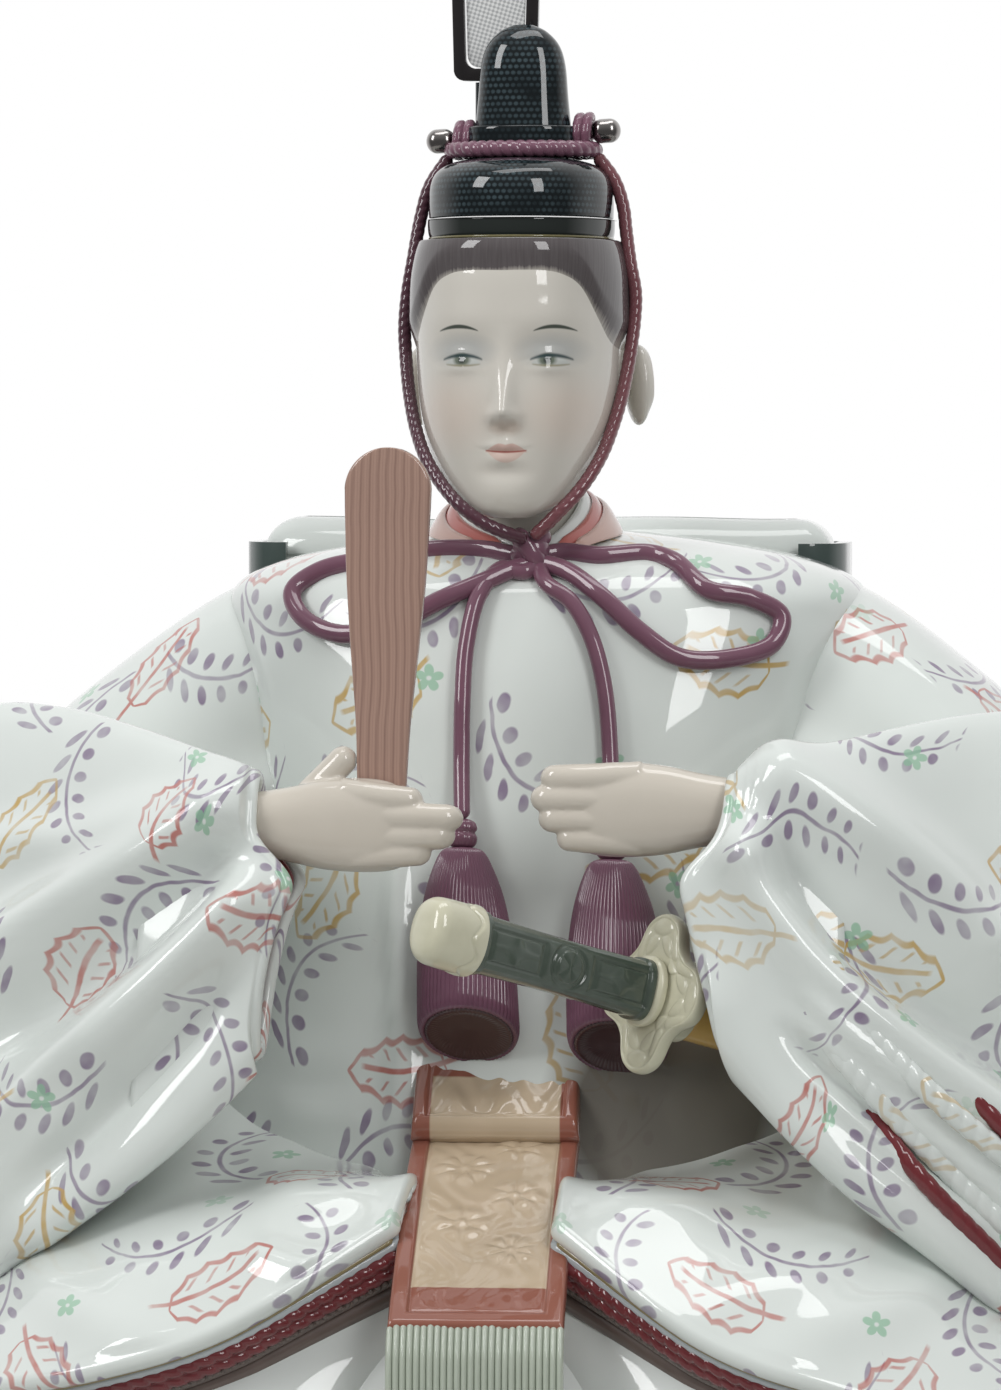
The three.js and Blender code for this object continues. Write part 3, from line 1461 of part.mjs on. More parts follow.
seat('right_sleeve_lining', sleeveLining(-1), finishes.crimson);
seat('left_sleeve_lining', sleeveLining(1), finishes.crimson);
seat('right_hand', hand(1, rightWrist, rightThumbRise), finishes.skin);
seat('left_hand', hand(-1, leftWrist, leftThumbRise), finishes.skin);
seat('scabbard_collar', scabbardCollar(), finishes.cream);
seat('scabbard', scabbard(), finishes.scabbard);
seat('trunk_robe', trunk(), finishes.robe);
seat('sash_fold', sashStrip(sashFoldShares, sashFoldThickness), finishes.sash);
seat('sash_panel', sashStrip(sashPanelShares, sashThickness), finishes.sash);
seat('sash_fringe', fringe(), finishes.fringe);
seat('neck', neck(), finishes.skin);
seat('inner_collar', collar(0), finishes.robe);
seat('red_collar', collar(1), finishes.coral);
seat('outer_collar', collar(2), finishes.pink);
seat('back_belt', belt(), finishes.belt);
const sides = [['right', -1], ['left', 1]];
sides.forEach(([word, side]) => seat(`${word}_knee_panel`, kneePanel(side), finishes.robe));
sides.forEach(([word, side]) => seat(`${word}_sleeve`, sleeve(side), finishes.robe));
sides.forEach(([word, side]) => {
  let depth = panelThickness + clearance;
  hemStack.forEach((layer) => {
    const lower = depth + layer.thickness;
    const hem = lapLayer(side, depth, lower, hemRowShares, hemEdgeShare);
    seat(`${word}_${layer.name}`, hem, layer.finish);
    depth = lower + clearance;
  });
});
seat('trousers_front', trouserFront(), finishes.robe);
seat('right_trouser_leg', trouserLeg(-1), finishes.robe);
seat('left_trouser_leg', trouserLeg(1), finishes.robe);
seat('back_pouch', pouch(), finishes.robe);
seat('back_robe', backRobe(), finishes.robe);

export default doll;
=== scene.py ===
"""A seated emperor hina doll in glazed porcelain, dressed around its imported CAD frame.

Everything is in metres in the row frame: the doll faces -Y and +X is its own left. The sizes below are in
millimetres, as a maker would give them, and are scaled once, when a mesh is made.
"""

import logging
import math
from dataclasses import dataclass, field
from enum import Enum
from typing import Callable, Iterable, Optional, Sequence

import bmesh
import bpy
import numpy as np
from mathutils import Matrix, Vector


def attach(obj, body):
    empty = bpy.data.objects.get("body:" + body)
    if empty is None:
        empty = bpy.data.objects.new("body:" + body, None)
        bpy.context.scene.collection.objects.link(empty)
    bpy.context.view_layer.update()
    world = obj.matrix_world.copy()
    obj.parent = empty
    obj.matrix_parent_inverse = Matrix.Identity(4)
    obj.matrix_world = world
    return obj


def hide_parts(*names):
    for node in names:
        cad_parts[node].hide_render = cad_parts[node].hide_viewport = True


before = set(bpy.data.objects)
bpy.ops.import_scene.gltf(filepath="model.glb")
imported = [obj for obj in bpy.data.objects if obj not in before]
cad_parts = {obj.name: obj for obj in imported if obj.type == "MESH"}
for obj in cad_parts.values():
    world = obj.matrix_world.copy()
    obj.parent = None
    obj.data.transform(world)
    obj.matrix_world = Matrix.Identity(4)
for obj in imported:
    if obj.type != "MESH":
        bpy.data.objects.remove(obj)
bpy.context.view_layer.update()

MM = 0.001
log = logging.getLogger("hina_doll")
Grid = np.ndarray
Rows = Sequence[Sequence[float]]
Tree, Socket, Piece = bpy.types.NodeTree, bpy.types.NodeSocket, bpy.types.Object
PAINT_MAP = "PaintMap"
GLAZE_IOR = 1.52
WELD = 2e-6
FLAT_ANGLE = 0.02
SHARP_ANGLE = 0.6
THINNEST = 0.02
TO_MM = 1000.0
ROBE_WHITE = "#dce2de"


class Body(Enum):
    """The CAD bodies that pieces ride on."""

    FIGURE = "figure"
    BATON = "baton"
    SWORD = "sword"
    PLUME = "plume"


# Numbers and curves


def rows_at(rows: Rows, share: Grid) -> Grid:
    """Values on a smooth curve through given rows.

    Args:
        rows: the rows, each a list of numbers.
        share: where to read, from 0 at the first row to 1 at the last, any shape.

    Returns:
        An array of share's shape with one more axis, the row's numbers.
    """
    table = np.asarray(rows, float)
    last = len(table) - 1
    at = np.clip(np.asarray(share, float), 0, 1) * last
    index = np.minimum(at.astype(int), last - 1)
    t = (at - index)[..., None]
    before, start = table[np.maximum(index - 1, 0)], table[index]
    end, after = table[index + 1], table[np.minimum(index + 2, last)]
    line = (end - before) * t
    square = (2 * before - 5 * start + 4 * end - after) * t * t
    cube = (3 * start - before - 3 * end + after) * t**3
    return start + (line + square + cube) / 2


def rows_where(rows: Rows, wanted: Grid) -> Grid:
    """The rows whose first number is the wanted one, by interpolation.

    Args:
        rows: rows whose first number rises.
        wanted: the first numbers looked for.

    Returns:
        One row for each wanted number.
    """
    shares = np.linspace(0, 1, 400)
    table = rows_at(rows, shares)
    found = np.interp(wanted, table[:, 0], shares)
    result = rows_at(rows, found)
    result[..., 0] = wanted
    return result


def power(value: Grid, exponent: float) -> Grid:
    """A power that keeps the sign, for rounded squares."""
    return np.sign(value) * np.abs(value) ** exponent


def hump(value: Grid, centre: float, spread: float) -> Grid:
    """A smooth bump of height 1 round a centre."""
    return np.exp(-(((value - centre) / spread) ** 2))


def smooth(value: Grid, low: float, high: float) -> Grid:
    """A smooth step from 0 at low to 1 at high."""
    t = np.clip((value - low) / (high - low), 0, 1)
    return t * t * (3 - 2 * t)


def domed(share: Grid) -> Grid:
    """Height of a round end, from 0 at its tip to 1 where it is full."""
    share = np.clip(share, THINNEST, 1)
    return np.sqrt(share * (2 - share))


def spline(points: Sequence[Sequence[float]], count: int, closed: bool = False) -> Grid:
    """Evenly spaced points on a centripetal Catmull-Rom curve.

    Args:
        points: the points the curve passes through.
        count: how many points come back.
        closed: whether the curve returns to its start.

    Returns:
        An array of count points.
    """
    p = np.asarray(points, float)
    if closed:
        p = np.vstack([p[-1], p, p[0], p[1]])
    else:
        p = np.vstack([2 * p[0] - p[1], p, 2 * p[-1] - p[-2]])
    dense = []
    for i in range(1, len(p) - 2):
        k = [0.0]
        for a, b in ((i - 1, i), (i, i + 1), (i + 1, i + 2)):
            k.append(k[-1] + max(np.linalg.norm(p[b] - p[a]) ** 0.5, 1e-6))
        t = np.linspace(k[1], k[2], 40, endpoint=False)[:, None]
        a1 = (k[1] - t) / (k[1] - k[0]) * p[i - 1] + (t - k[0]) / (k[1] - k[0]) * p[i]
        a2 = (k[2] - t) / (k[2] - k[1]) * p[i] + (t - k[1]) / (k[2] - k[1]) * p[i + 1]
        a3 = (k[3] - t) / (k[3] - k[2]) * p[i + 1] + (t - k[2]) / (k[3] - k[2]) * p[i + 2]
        b1 = (k[2] - t) / (k[2] - k[0]) * a1 + (t - k[0]) / (k[2] - k[0]) * a2
        b2 = (k[3] - t) / (k[3] - k[1]) * a2 + (t - k[1]) / (k[3] - k[1]) * a3
        dense.append((k[2] - t) / (k[2] - k[1]) * b1 + (t - k[1]) / (k[2] - k[1]) * b2)
    line = np.vstack(dense + [p[-2][None]])
    length = np.concatenate([[0], np.cumsum(np.linalg.norm(np.diff(line, axis=0), axis=1))])
    at = np.linspace(0, length[-1], count, endpoint=not closed)
    return np.stack([np.interp(at, length, line[:, i]) for i in range(line.shape[1])], 1)


def unit(vectors: Grid) -> Grid:
    """The same vectors at length 1."""
    return vectors / np.maximum(np.linalg.norm(vectors, axis=-1, keepdims=True), 1e-12)


def oval(count: int, half_width: Grid, front: Grid, back: Grid, roundness: float,
         centre: Sequence[Grid]) -> Grid:
    """Rings of a rounded rectangle, one for each height.

    Args:
        count: points in a ring.
        half_width: half widths, one for each ring.
        front: depths towards -Y.
        back: depths towards +Y.
        roundness: 2 is an ellipse, more is squarer.
        centre: x, y and z of the centres.

    Returns:
        An array of rings by count points.
    """
    angle = np.linspace(0, 2 * math.pi, count, endpoint=False)[None, :]
    side, ahead = power(np.cos(angle), 2 / roundness), power(np.sin(angle), 2 / roundness)
    w, f, b = (np.atleast_1d(np.asarray(v, float))[:, None] for v in (half_width, front, back))
    x, y, z = (np.atleast_1d(np.asarray(v, float))[:, None] for v in centre)
    depth = np.where(ahead < 0, f, b)
    return np.stack(np.broadcast_arrays(x + side * w, y + ahead * depth, z + 0 * side), -1)


def grid_normals(points: Grid, closed: bool = True) -> Grid:
    """Unit normals of a grid of rings, by its two directions. Their sign is the grid's own."""
    if closed:
        around = np.roll(points, -1, 1) - np.roll(points, 1, 1)
    else:
        around = np.gradient(points, axis=1)
    return unit(np.cross(np.gradient(points, axis=0), around))


@dataclass
class Crease:
    """A raised or sunk line in a glazed surface, seen from the front.

    Attributes:
        line: its points as x and z in millimetres.
        height: how far it stands out, or how deep it is where negative, in millimetres.
        width: its half width in millimetres.
        fade: share of its length over which each end dies out.
    """

    line: Sequence[Sequence[float]]
    height: float
    width: float
    fade: float = 0.3

    def lift(self, points: Grid) -> Grid:
        """How far each point moves out, in millimetres."""
        path = spline(self.line, 60)
        flat = points[..., [0, 2]].reshape(-1, 2)
        best = np.full(len(flat), 1e9)
        where = np.zeros(len(flat))
        for i, start in enumerate(path[:-1]):
            way = path[i + 1] - start
            t = np.clip(((flat - start) @ way) / (way @ way), 0, 1)
            off = ((flat - start - t[:, None] * way) ** 2).sum(1)
            closer = off < best
            best[closer], where[closer] = off[closer], (i + t[closer]) / (len(path) - 1)
        ends = smooth(where, 0, self.fade) * smooth(1 - where, 0, self.fade) if self.fade else 1
        return (self.height * np.exp(-best / self.width**2) * ends).reshape(points.shape[:-1])


# Meshes


@dataclass
class Shell:
    """Rings of points that make one closed surface.

    Attributes:
        rings: rings by points by 3, in millimetres.
        looped: whether the last ring joins the first, as in a ring of cord.
        seam: the point of each ring where the paint map starts at 0.
    """

    rings: Grid
    looped: bool = False
    seam: int = 0

    def paint_map(self) -> tuple[Grid, Grid]:
        """Distances in millimetres round each ring and along the rings, for painted patterns."""
        ring = np.roll(self.rings, -self.seam, 1)
        step = np.linalg.norm(np.diff(np.concatenate([ring, ring[:, :1]], 1), axis=1), axis=2)
        half = ring.shape[1] // 2
        u = np.concatenate([np.zeros((len(ring), 1)), np.cumsum(step, 1)], 1)
        u = u - u[:, half:half + 1]
        rise = np.linalg.norm(np.diff(ring[:, half], axis=0), axis=1)
        v = np.concatenate([[0], np.cumsum(rise)])[:, None] + 0 * u
        return u, v

    def parts(self) -> tuple[Grid, list, list]:
        """Vertices, faces and one pair of map numbers for each corner of each face."""
        rows, count = self.rings.shape[:2]
        ring = np.roll(self.rings, -self.seam, 1)
        u, v = self.paint_map()
        points = ring.reshape(-1, 3)
        bands = rows if self.looped else rows - 1
        r, c = np.meshgrid(np.arange(bands), np.arange(count), indexing="ij")
        r, c = r.ravel(), c.ravel()
        n, d = (r + 1) % rows, (c + 1) % count
        faces = np.stack([r * count + c, r * count + d, n * count + d, n * count + c], 1).tolist()
        last = np.where(n == 0, v[-1, 0] + (v[-1, 0] - v[-2, 0]), v[n, c])
        uv = np.stack([u[r, c], v[r, c], u[r, c + 1], v[r, c], u[n, c + 1], last, u[n, c], last], 1)
        corners = uv.reshape(-1, 2).tolist()
        if not self.looped:
            for row, flip in ((0, True), (rows - 1, False)):
                hub = len(points)
                points = np.vstack([points, ring[row].mean(0)])
                for i in range(count):
                    j = (i + 1) % count
                    a, b = (j, i) if flip else (i, j)
                    faces.append([row * count + a, row * count + b, hub])
                    ua, ub = (u[row, i + 1], u[row, i]) if flip else (u[row, i], u[row, i + 1])
                    corners += [[ua, v[row, 0]], [ub, v[row, 0]], [(ua + ub) / 2, v[row, 0]]]
        return points, faces, corners


def make_piece(name: str, shells: Iterable[Shell], smooth_shade: bool = True) -> Piece:
    """One mesh object from closed shells, with outward faces and a paint map in millimetres.

    Args:
        name: the piece's name.
        shells: its closed surfaces.
        smooth_shade: whether the faces shade smoothly.

    Returns:
        The object, at the origin and in metres.
    """
    points, faces, corners, base = [], [], [], 0
    for shell in shells:
        p, f, uv = shell.parts()
        first = p[[c[0] for c in f]]
        second, third = p[[c[1] for c in f]], p[[c[2] for c in f]]
        fourth = p[[c[-1] for c in f]]
        volume = (first * np.cross(second, third)).sum() + (first * np.cross(third, fourth)).sum()
        if volume < 0:
            turned, at = [], 0
            for face in f:
                turned += uv[at:at + len(face)][::-1]
                at += len(face)
            f, uv = [face[::-1] for face in f], turned
        points.append(p)
        faces += [[i + base for i in face] for face in f]
        corners += uv
        base += len(p)
    mesh = bpy.data.meshes.new(name)
    mesh.from_pydata((np.vstack(points) * MM).tolist(), [], faces)
    layer = mesh.uv_layers.new(name=PAINT_MAP)
    layer.data.foreach_set("uv", np.asarray(corners, np.float32).ravel())
    mesh.polygons.foreach_set("use_smooth", [smooth_shade] * len(mesh.polygons))
    mesh.validate()
    piece = bpy.data.objects.new(name, mesh)
    bpy.context.scene.collection.objects.link(piece)
    return piece


def baked(piece: Piece) -> Piece:
    """The piece with its modifiers applied and removed."""
    bpy.context.view_layer.update()
    mesh = bpy.data.meshes.new_from_object(piece.evaluated_get(bpy.context.evaluated_depsgraph_get()))
    piece.modifiers.clear()
    old, piece.data = piece.data, mesh
    bpy.data.meshes.remove(old)
    return piece


def cad_copy(node: str, name: str, bevel: float = 0.0, segments: int = 2,
             angle: float = 0.5) -> Piece:
    """A merged copy of a CAD node, with its sharp edges rounded.

    Args:
        node: the CAD node.
        name: the copy's name.
        bevel: the edge radius in millimetres, or 0 for none.
        segments: facets round an edge.
        angle: the smallest edge angle that is rounded, in radians.

    Returns:
        The copy.
    """
    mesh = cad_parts[node].data.copy()
    mesh.materials.clear()
    work = bmesh.new()
    work.from_mesh(mesh)
    bmesh.ops.remove_doubles(work, verts=work.verts, dist=WELD)
    bmesh.ops.dissolve_limit(work, angle_limit=FLAT_ANGLE, verts=work.verts, edges=work.edges)
    work.to_mesh(mesh)
    work.free()
    piece = bpy.data.objects.new(name, mesh)
    bpy.context.scene.collection.objects.link(piece)
    if bevel:
        edge = piece.modifiers.new("edge", "BEVEL")
        edge.width, edge.segments = bevel * MM, segments
        edge.limit_method, edge.angle_limit = "ANGLE", angle
        baked(piece)
    mesh = piece.data
    mesh.shade_smooth()
    mesh.set_sharp_from_angle(angle=SHARP_ANGLE)
    return piece


def melted(piece: Piece, voxel: float, rounds: int) -> Piece:
    """The piece's shells run together into one soft skin, as slip does when it is sponged.

    Args:
        piece: the piece.
        voxel: the grid size in millimetres.
        rounds: how many smoothing rounds follow.

    Returns:
        The same piece.
    """
    skin = piece.modifiers.new("skin", "REMESH")
    skin.mode, skin.voxel_size, skin.use_smooth_shade = "VOXEL", voxel * MM, True
    if rounds:
        soft = piece.modifiers.new("soft", "SMOOTH")
        soft.factor, soft.iterations = 0.5, rounds
    return baked(piece)


def pierced(piece: Piece, cutter: Piece) -> Piece:
    """The piece with a slot cut for another, after which the cutter is removed."""
    slot = piece.modifiers.new("slot", "BOOLEAN")
    slot.operation, slot.object, slot.solver = "DIFFERENCE", cutter, "EXACT"
    baked(piece)
    bpy.data.objects.remove(cutter)
    return piece


def tube(points: Sequence[Sequence[float]], radius: float, steps: int, sides: int = 20,
         closed: bool = False, flat: float = 1.0, twist: float = 0.0, relief: float = 0.0,
         strands: int = 2, flat_axis: Sequence[float] = (0, -1, 0)) -> Shell:
    """A cord along a curve, as a closed shell.

    Args:
        points: the points it passes through, in millimetres.
        radius: its radius.
        steps: rings along it.
        sides: points in each ring.
        closed: whether it is a ring.
        flat: its thickness as a share of its width.
        twist: turns of its strands in one millimetre.
        relief: how deep the strands' grooves are, as a share of the radius.
        strands: how many strands are laid together.
        flat_axis: the way its thin side faces.

    Returns:
        The shell.
    """
    path = spline(points, steps, closed)
    if closed:
        along = unit(np.roll(path, -1, 0) - np.roll(path, 1, 0))
    else:
        along = unit(np.gradient(path, axis=0))
    axis = np.asarray(flat_axis, float)
    thin = unit(axis[None, :] - along * (along @ axis)[:, None])
    wide = np.cross(along, thin)
    length = np.concatenate([[0], np.cumsum(np.linalg.norm(np.diff(path, axis=0), axis=1))])
    turn = np.linspace(0, 2 * math.pi, sides, endpoint=False)[None, :]
    if closed and twist:
        twist = round(length[-1] * twist) / length[-1] * len(path) / max(len(path) - 1, 1)
    lay = strands * turn + 2 * math.pi * strands * twist * length[:, None]
    r = radius * (1 - relief + relief * np.abs(np.cos(lay / 2)) ** 0.7 * 2) if relief else radius + 0 * lay
    if not closed:
        end = np.minimum(length, length[-1] - length)[:, None]
        r = r * domed(end / radius)
    rings = path[:, None] + wide[:, None] * (np.cos(turn) * r)[..., None]
    rings = rings + thin[:, None] * (np.sin(turn) * r * flat)[..., None]
    return Shell(rings, looped=closed)


# Finishes


def linear(code: str) -> tuple[float, float, float, float]:
    """A hex colour as linear red, green, blue and alpha."""
    parts = [int(code[i:i + 2], 16) / 255 for i in (1, 3, 5)]
    return (*[c / 12.92 if c <= 0.04045 else ((c + 0.055) / 1.055) ** 2.4 for c in parts], 1.0)


def add(tree: Tree, kind: str, inputs: Optional[dict] = None, **settings) -> bpy.types.Node:
    """A new node with its settings, constants and links.

    Args:
        tree: the tree it goes into.
        kind: the node's type.
        inputs: what goes into each input, by name or index: a number, a colour or a socket.
        settings: the node's own settings.

    Returns:
        The node.
    """
    node = tree.nodes.new(kind)
    for name, value in settings.items():
        setattr(node, name, value)
    for socket, value in (inputs or {}).items():
        value = value.socket if isinstance(value, Term) else value
        if isinstance(value, Socket):
            tree.links.new(value, node.inputs[socket])
        else:
            node.inputs[socket].default_value = value
    return node


@dataclass
class Term:
    """A number inside a node tree, with ordinary arithmetic."""

    tree: Tree
    socket: Socket

    def by(self, operation: str, *others: "Term | float", clamp: bool = False) -> "Term":
        """The result of a maths node on this number and others."""
        inputs = dict(enumerate((self, *others)))
        node = add(self.tree, "ShaderNodeMath", inputs, operation=operation, use_clamp=clamp)
        return Term(self.tree, node.outputs[0])

    def __add__(self, other: "Term | float") -> "Term":
        return self.by("ADD", other)

    def __sub__(self, other: "Term | float") -> "Term":
        return self.by("SUBTRACT", other)

    def __mul__(self, other: "Term | float") -> "Term":
        return self.by("MULTIPLY", other)

    def __truediv__(self, other: "Term | float") -> "Term":
        return self.by("DIVIDE", other)

    def __abs__(self) -> "Term":
        return self.by("ABSOLUTE")

    __radd__, __rmul__ = __add__, __mul__

    def inside(self, softness: float = 0.15) -> "Term":
        """1 where this number is positive, with a soft edge this wide."""
        return (self * (1 / softness) + 0.5).held()

    def held(self, low: float = 0.0, high: float = 1.0) -> "Term":
        """This number kept between two others."""
        return self.by("MINIMUM", high).by("MAXIMUM", low)

    def wrapped(self, period: float) -> "Term":
        """This number brought within half a period of 0."""
        return self.by("WRAP", period / 2, -period / 2)


def noise(tree: Tree, place: Socket, scale: float, detail: float = 2.0) -> Term:
    """A noise with this many waves in a unit of the place."""
    cloud = add(tree, "ShaderNodeTexNoise", {"Vector": place, "Scale": scale, "Detail": detail})
    return Term(tree, cloud.outputs[0])


def ahead_of(tree: Tree, place: Socket, start: float, soft: float) -> Term:
    """1 where a point lies further in front than this, in millimetres."""
    axes = add(tree, "ShaderNodeSeparateXYZ", {0: place}).outputs
    return (Term(tree, axes[1]) * -TO_MM - start).inside(soft)


@dataclass(frozen=True)
class Glaze:
    """A fired glaze.

    Attributes:
        name: what the finish is.
        slot: the record's material slot.
        colour: its colour under soft light.
        roughness: of the coloured clay under the glaze.
        mottle: how unevenly the colour has taken, as a share of its lightness.
        ripple: height of the glaze's slow waves, in millimetres.
        gloss: how much clear glaze lies over it.
        gloss_roughness: how soft the clear glaze's reflections are.
        metallic: 1 for a metal lustre.
        sheen_under: how much the coloured clay itself reflects under the glaze.
    """

    name: str
    slot: str
    colour: str
    roughness: float = 0.35
    mottle: float = 0.05
    ripple: float = 0.02
    gloss: float = 1.0
    gloss_roughness: float = 0.035
    metallic: float = 0.0
    sheen_under: float = 0.1

    def made(self, paint: Optional[Callable] = None) -> "Finish":
        """The finish, with its paint if it has one."""
        material = bpy.data.materials.new(self.name)
        material.use_nodes = True
        tree = material.node_tree
        tree.nodes.clear()
        place = add(tree, "ShaderNodeTexCoord").outputs["Object"]
        shade = noise(tree, place, 55.0) * (2 * self.mottle) + (1 - self.mottle)
        mottled = add(tree, "ShaderNodeMix", {0: 1.0, 6: linear(self.colour), 7: (1, 1, 1, 1)},
                      data_type="RGBA", blend_type="MULTIPLY")
        grey = add(tree, "ShaderNodeCombineColor", {0: shade, 1: shade, 2: shade})
        tree.links.new(grey.outputs[0], mottled.inputs[7])
        colour = mottled.outputs[2]
        if paint:
            colour = paint(tree, place, colour)
        bump = add(tree, "ShaderNodeBump", {"Strength": 1.0, "Distance": self.ripple * MM,
                                            "Height": noise(tree, place, 110.0, 1.0)})
        shader = add(tree, "ShaderNodeBsdfPrincipled", {
            "Base Color": colour, "Roughness": self.roughness, "Metallic": self.metallic,
            "Specular IOR Level": self.sheen_under, "Coat Weight": self.gloss,
            "Coat Roughness": self.gloss_roughness, "Coat IOR": GLAZE_IOR,
            "Normal": bump.outputs[0], "Coat Normal": bump.outputs[0]})
        add(tree, "ShaderNodeOutputMaterial", {"Surface": shader.outputs[0]})
        return Finish(self.slot, material)


@dataclass(frozen=True)
class Finish:
    """A material and the record's slot that it stands for."""

    slot: str
    material: bpy.types.Material


def settle(piece: Piece, finish: Finish, nodes: Sequence[str], body: Body = Body.FIGURE) -> Piece:
    """Gives a finished piece its material and its body, hides the CAD nodes it stands for and logs them."""
    if not piece.data.materials:
        piece.data.materials.append(finish.material)
    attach(piece, body.value)
    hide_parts(*nodes)
    log.info("%s: %d faces, for %s", piece.name, len(piece.data.polygons), ", ".join(nodes))
    return piece


def glazed(name: str, shells: Sequence[Shell], finish: Finish, body: Body = Body.FIGURE) -> Piece:
    """The glazed piece that stands for the CAD node of this name."""
    return settle(make_piece(f"{name}_glazed", shells), finish, [name], body)


# Paint


@dataclass
class Brush:
    """Brush strokes in a plane of a shader, in millimetres.

    Attributes:
        tree: the material's tree.
        x: across.
        y: up.
        colour: the colour so far.
    """

    tree: Tree
    x: Term
    y: Term
    colour: Socket

    @classmethod
    def on(cls, tree: Tree, place: Socket, colour: Socket,
           first: int = 0, second: int = 2) -> "Brush":
        """A brush in two of the object's own axes."""
        axes = add(tree, "ShaderNodeSeparateXYZ", {0: place}).outputs
        return cls(tree, Term(tree, axes[first]) * TO_MM, Term(tree, axes[second]) * TO_MM, colour)

    @classmethod
    def on_map(cls, tree: Tree, colour: Socket) -> "Brush":
        """A brush in the piece's paint map."""
        flat = add(tree, "ShaderNodeUVMap", uv_map=PAINT_MAP)
        axes = add(tree, "ShaderNodeSeparateXYZ", {0: flat.outputs[0]}).outputs
        return cls(tree, Term(tree, axes[0]), Term(tree, axes[1]), colour)

    def lay(self, mask: Term, paint: str, strength: float = 1.0) -> None:
        """Puts a colour where the mask is 1."""
        mix = add(self.tree, "ShaderNodeMix", {0: mask * strength, 6: self.colour, 7: linear(paint)},
                  data_type="RGBA")
        self.colour = mix.outputs[2]

    def moved(self, x: Term | float, y: Term | float, turn: float = 0.0) -> "Brush":
        """The same brush with its origin elsewhere and its axes turned."""
        right, up = self.x - x, self.y - y
        c, n = math.cos(turn), math.sin(turn)
        if turn:
            right, up = right * c + up * n, up * c - right * n
        return Brush(self.tree, right, up, self.colour)

    def arc(self, width: float, bend: float, half: float, taper: float = 0.7, soft: float = 0.12) -> Term:
        """A stroke through the origin that bends as a parabola and thins towards its ends.

        Args:
            width: half its width.
            bend: how far its ends drop.
            half: half its length.
            taper: how much thinner its ends are.
            soft: how soft its edge is.

        Returns:
            The mask.
        """
        share = self.x / half
        square = share * share
        off = abs(self.y + square * bend)
        body = (square * (-taper) + 1.0) * width - off
        return body.inside(soft) * (square * -1.0 + 1.0).inside(0.15)

    def spot(self, wide: float, high: float, soft: float = 0.12) -> Term:
        """A filled oval round the origin."""
        a, b = self.x / wide, self.y / high
        return ((a * a + b * b).by("SQRT") * -1.0 + 1.0).inside(soft / min(wide, high))


def painted_face(centre: float, chin: float) -> Callable:
    """Paint of the face: brows, eyes and lips, with a little colour in the cheeks, and painted shade over the
    upper lids and under the nose.
    """

    def paint(tree: Tree, place: Socket, colour: Socket):
        """Lays the strokes on, from the largest to the finest."""
        ahead = ahead_of(tree, place, 24.0, 2.0)
        brush = Brush.on(tree, place, colour).moved(centre, chin)
        side = Brush(tree, abs(brush.x), brush.y, colour)

        def lay(mask: Term, paint: str, strength: float = 1.0) -> None:
            """Lays one colour on the front of the head."""
            side.lay(mask * ahead, paint, strength)

        cheek = side.moved(11.5, 19.0)
        lay(cheek.spot(7.0, 5.5, 6.0), "#d6b9a8", 0.28)
        # painted shade: a soft grey-blue spot over each upper lid, where the heavy lid shades the eye
        lid = side.moved(8.2, 30.6)
        lay(lid.spot(5.2, 2.6, 2.4), "#a3a8a9", 0.6)
        white = side.moved(8.1, 28.9)
        lay(white.arc(0.85, 0.5, 3.4, 0.9, 0.4), "#bfc3bf", 0.85)
        iris = Brush(tree, abs(brush.x + 0.4), brush.y, side.colour).moved(7.9, 29.05)
        lay(iris.spot(1.55, 1.15, 0.6), "#616a5c", 0.95)
        lay(iris.spot(0.7, 0.66, 0.4), "#2c3533", 0.9)
        upper = side.moved(8.2, 29.85)
        lay(upper.arc(0.36, 0.8, 3.8, 0.6, 0.42), "#33474a", 0.9)
        lower = side.moved(8.1, 27.95)
        lay(lower.arc(0.2, -0.25, 3.3, 0.7, 0.34), "#8a8468", 0.8)
        brow = side.moved(8.9, 35.1)
        lay(brow.arc(0.36, 0.8, 3.8, 0.8, 0.26), "#3a443c", 0.95)
        # painted shade: a soft warm spot under the nose's tip
        nose = side.moved(0.9, 16.6)
        lay(nose.spot(1.8, 1.2, 1.2), "#bda898", 0.5)
        top = side.y - 12.15
        bow = abs(side.x) / 3.9
        roof = (bow * bow * -1.0 + 1.0) * 1.75 - (bow * -3.0 + 1.0).by("MAXIMUM", 0.0) * 0.45
        lay((roof - top).inside(0.2) * (top + 0.05).inside(0.2) * (bow * -1.0 + 1.0).inside(0.1), "#c79e93",
            0.7)
        floor = (bow * bow * -1.3 + 1.0) * 1.95
        lay((floor + top).inside(0.25) * (top * -1.0 + 0.1).inside(0.2) * (bow * -1.0 + 0.93).inside(0.1),
            "#d0b0a4", 0.65)
        seam = side.moved(0.0, 12.15)
        lay(seam.arc(0.17, -0.3, 3.8, 0.5, 0.24), "#9a4f46", 0.95)
        return side.colour

    return paint


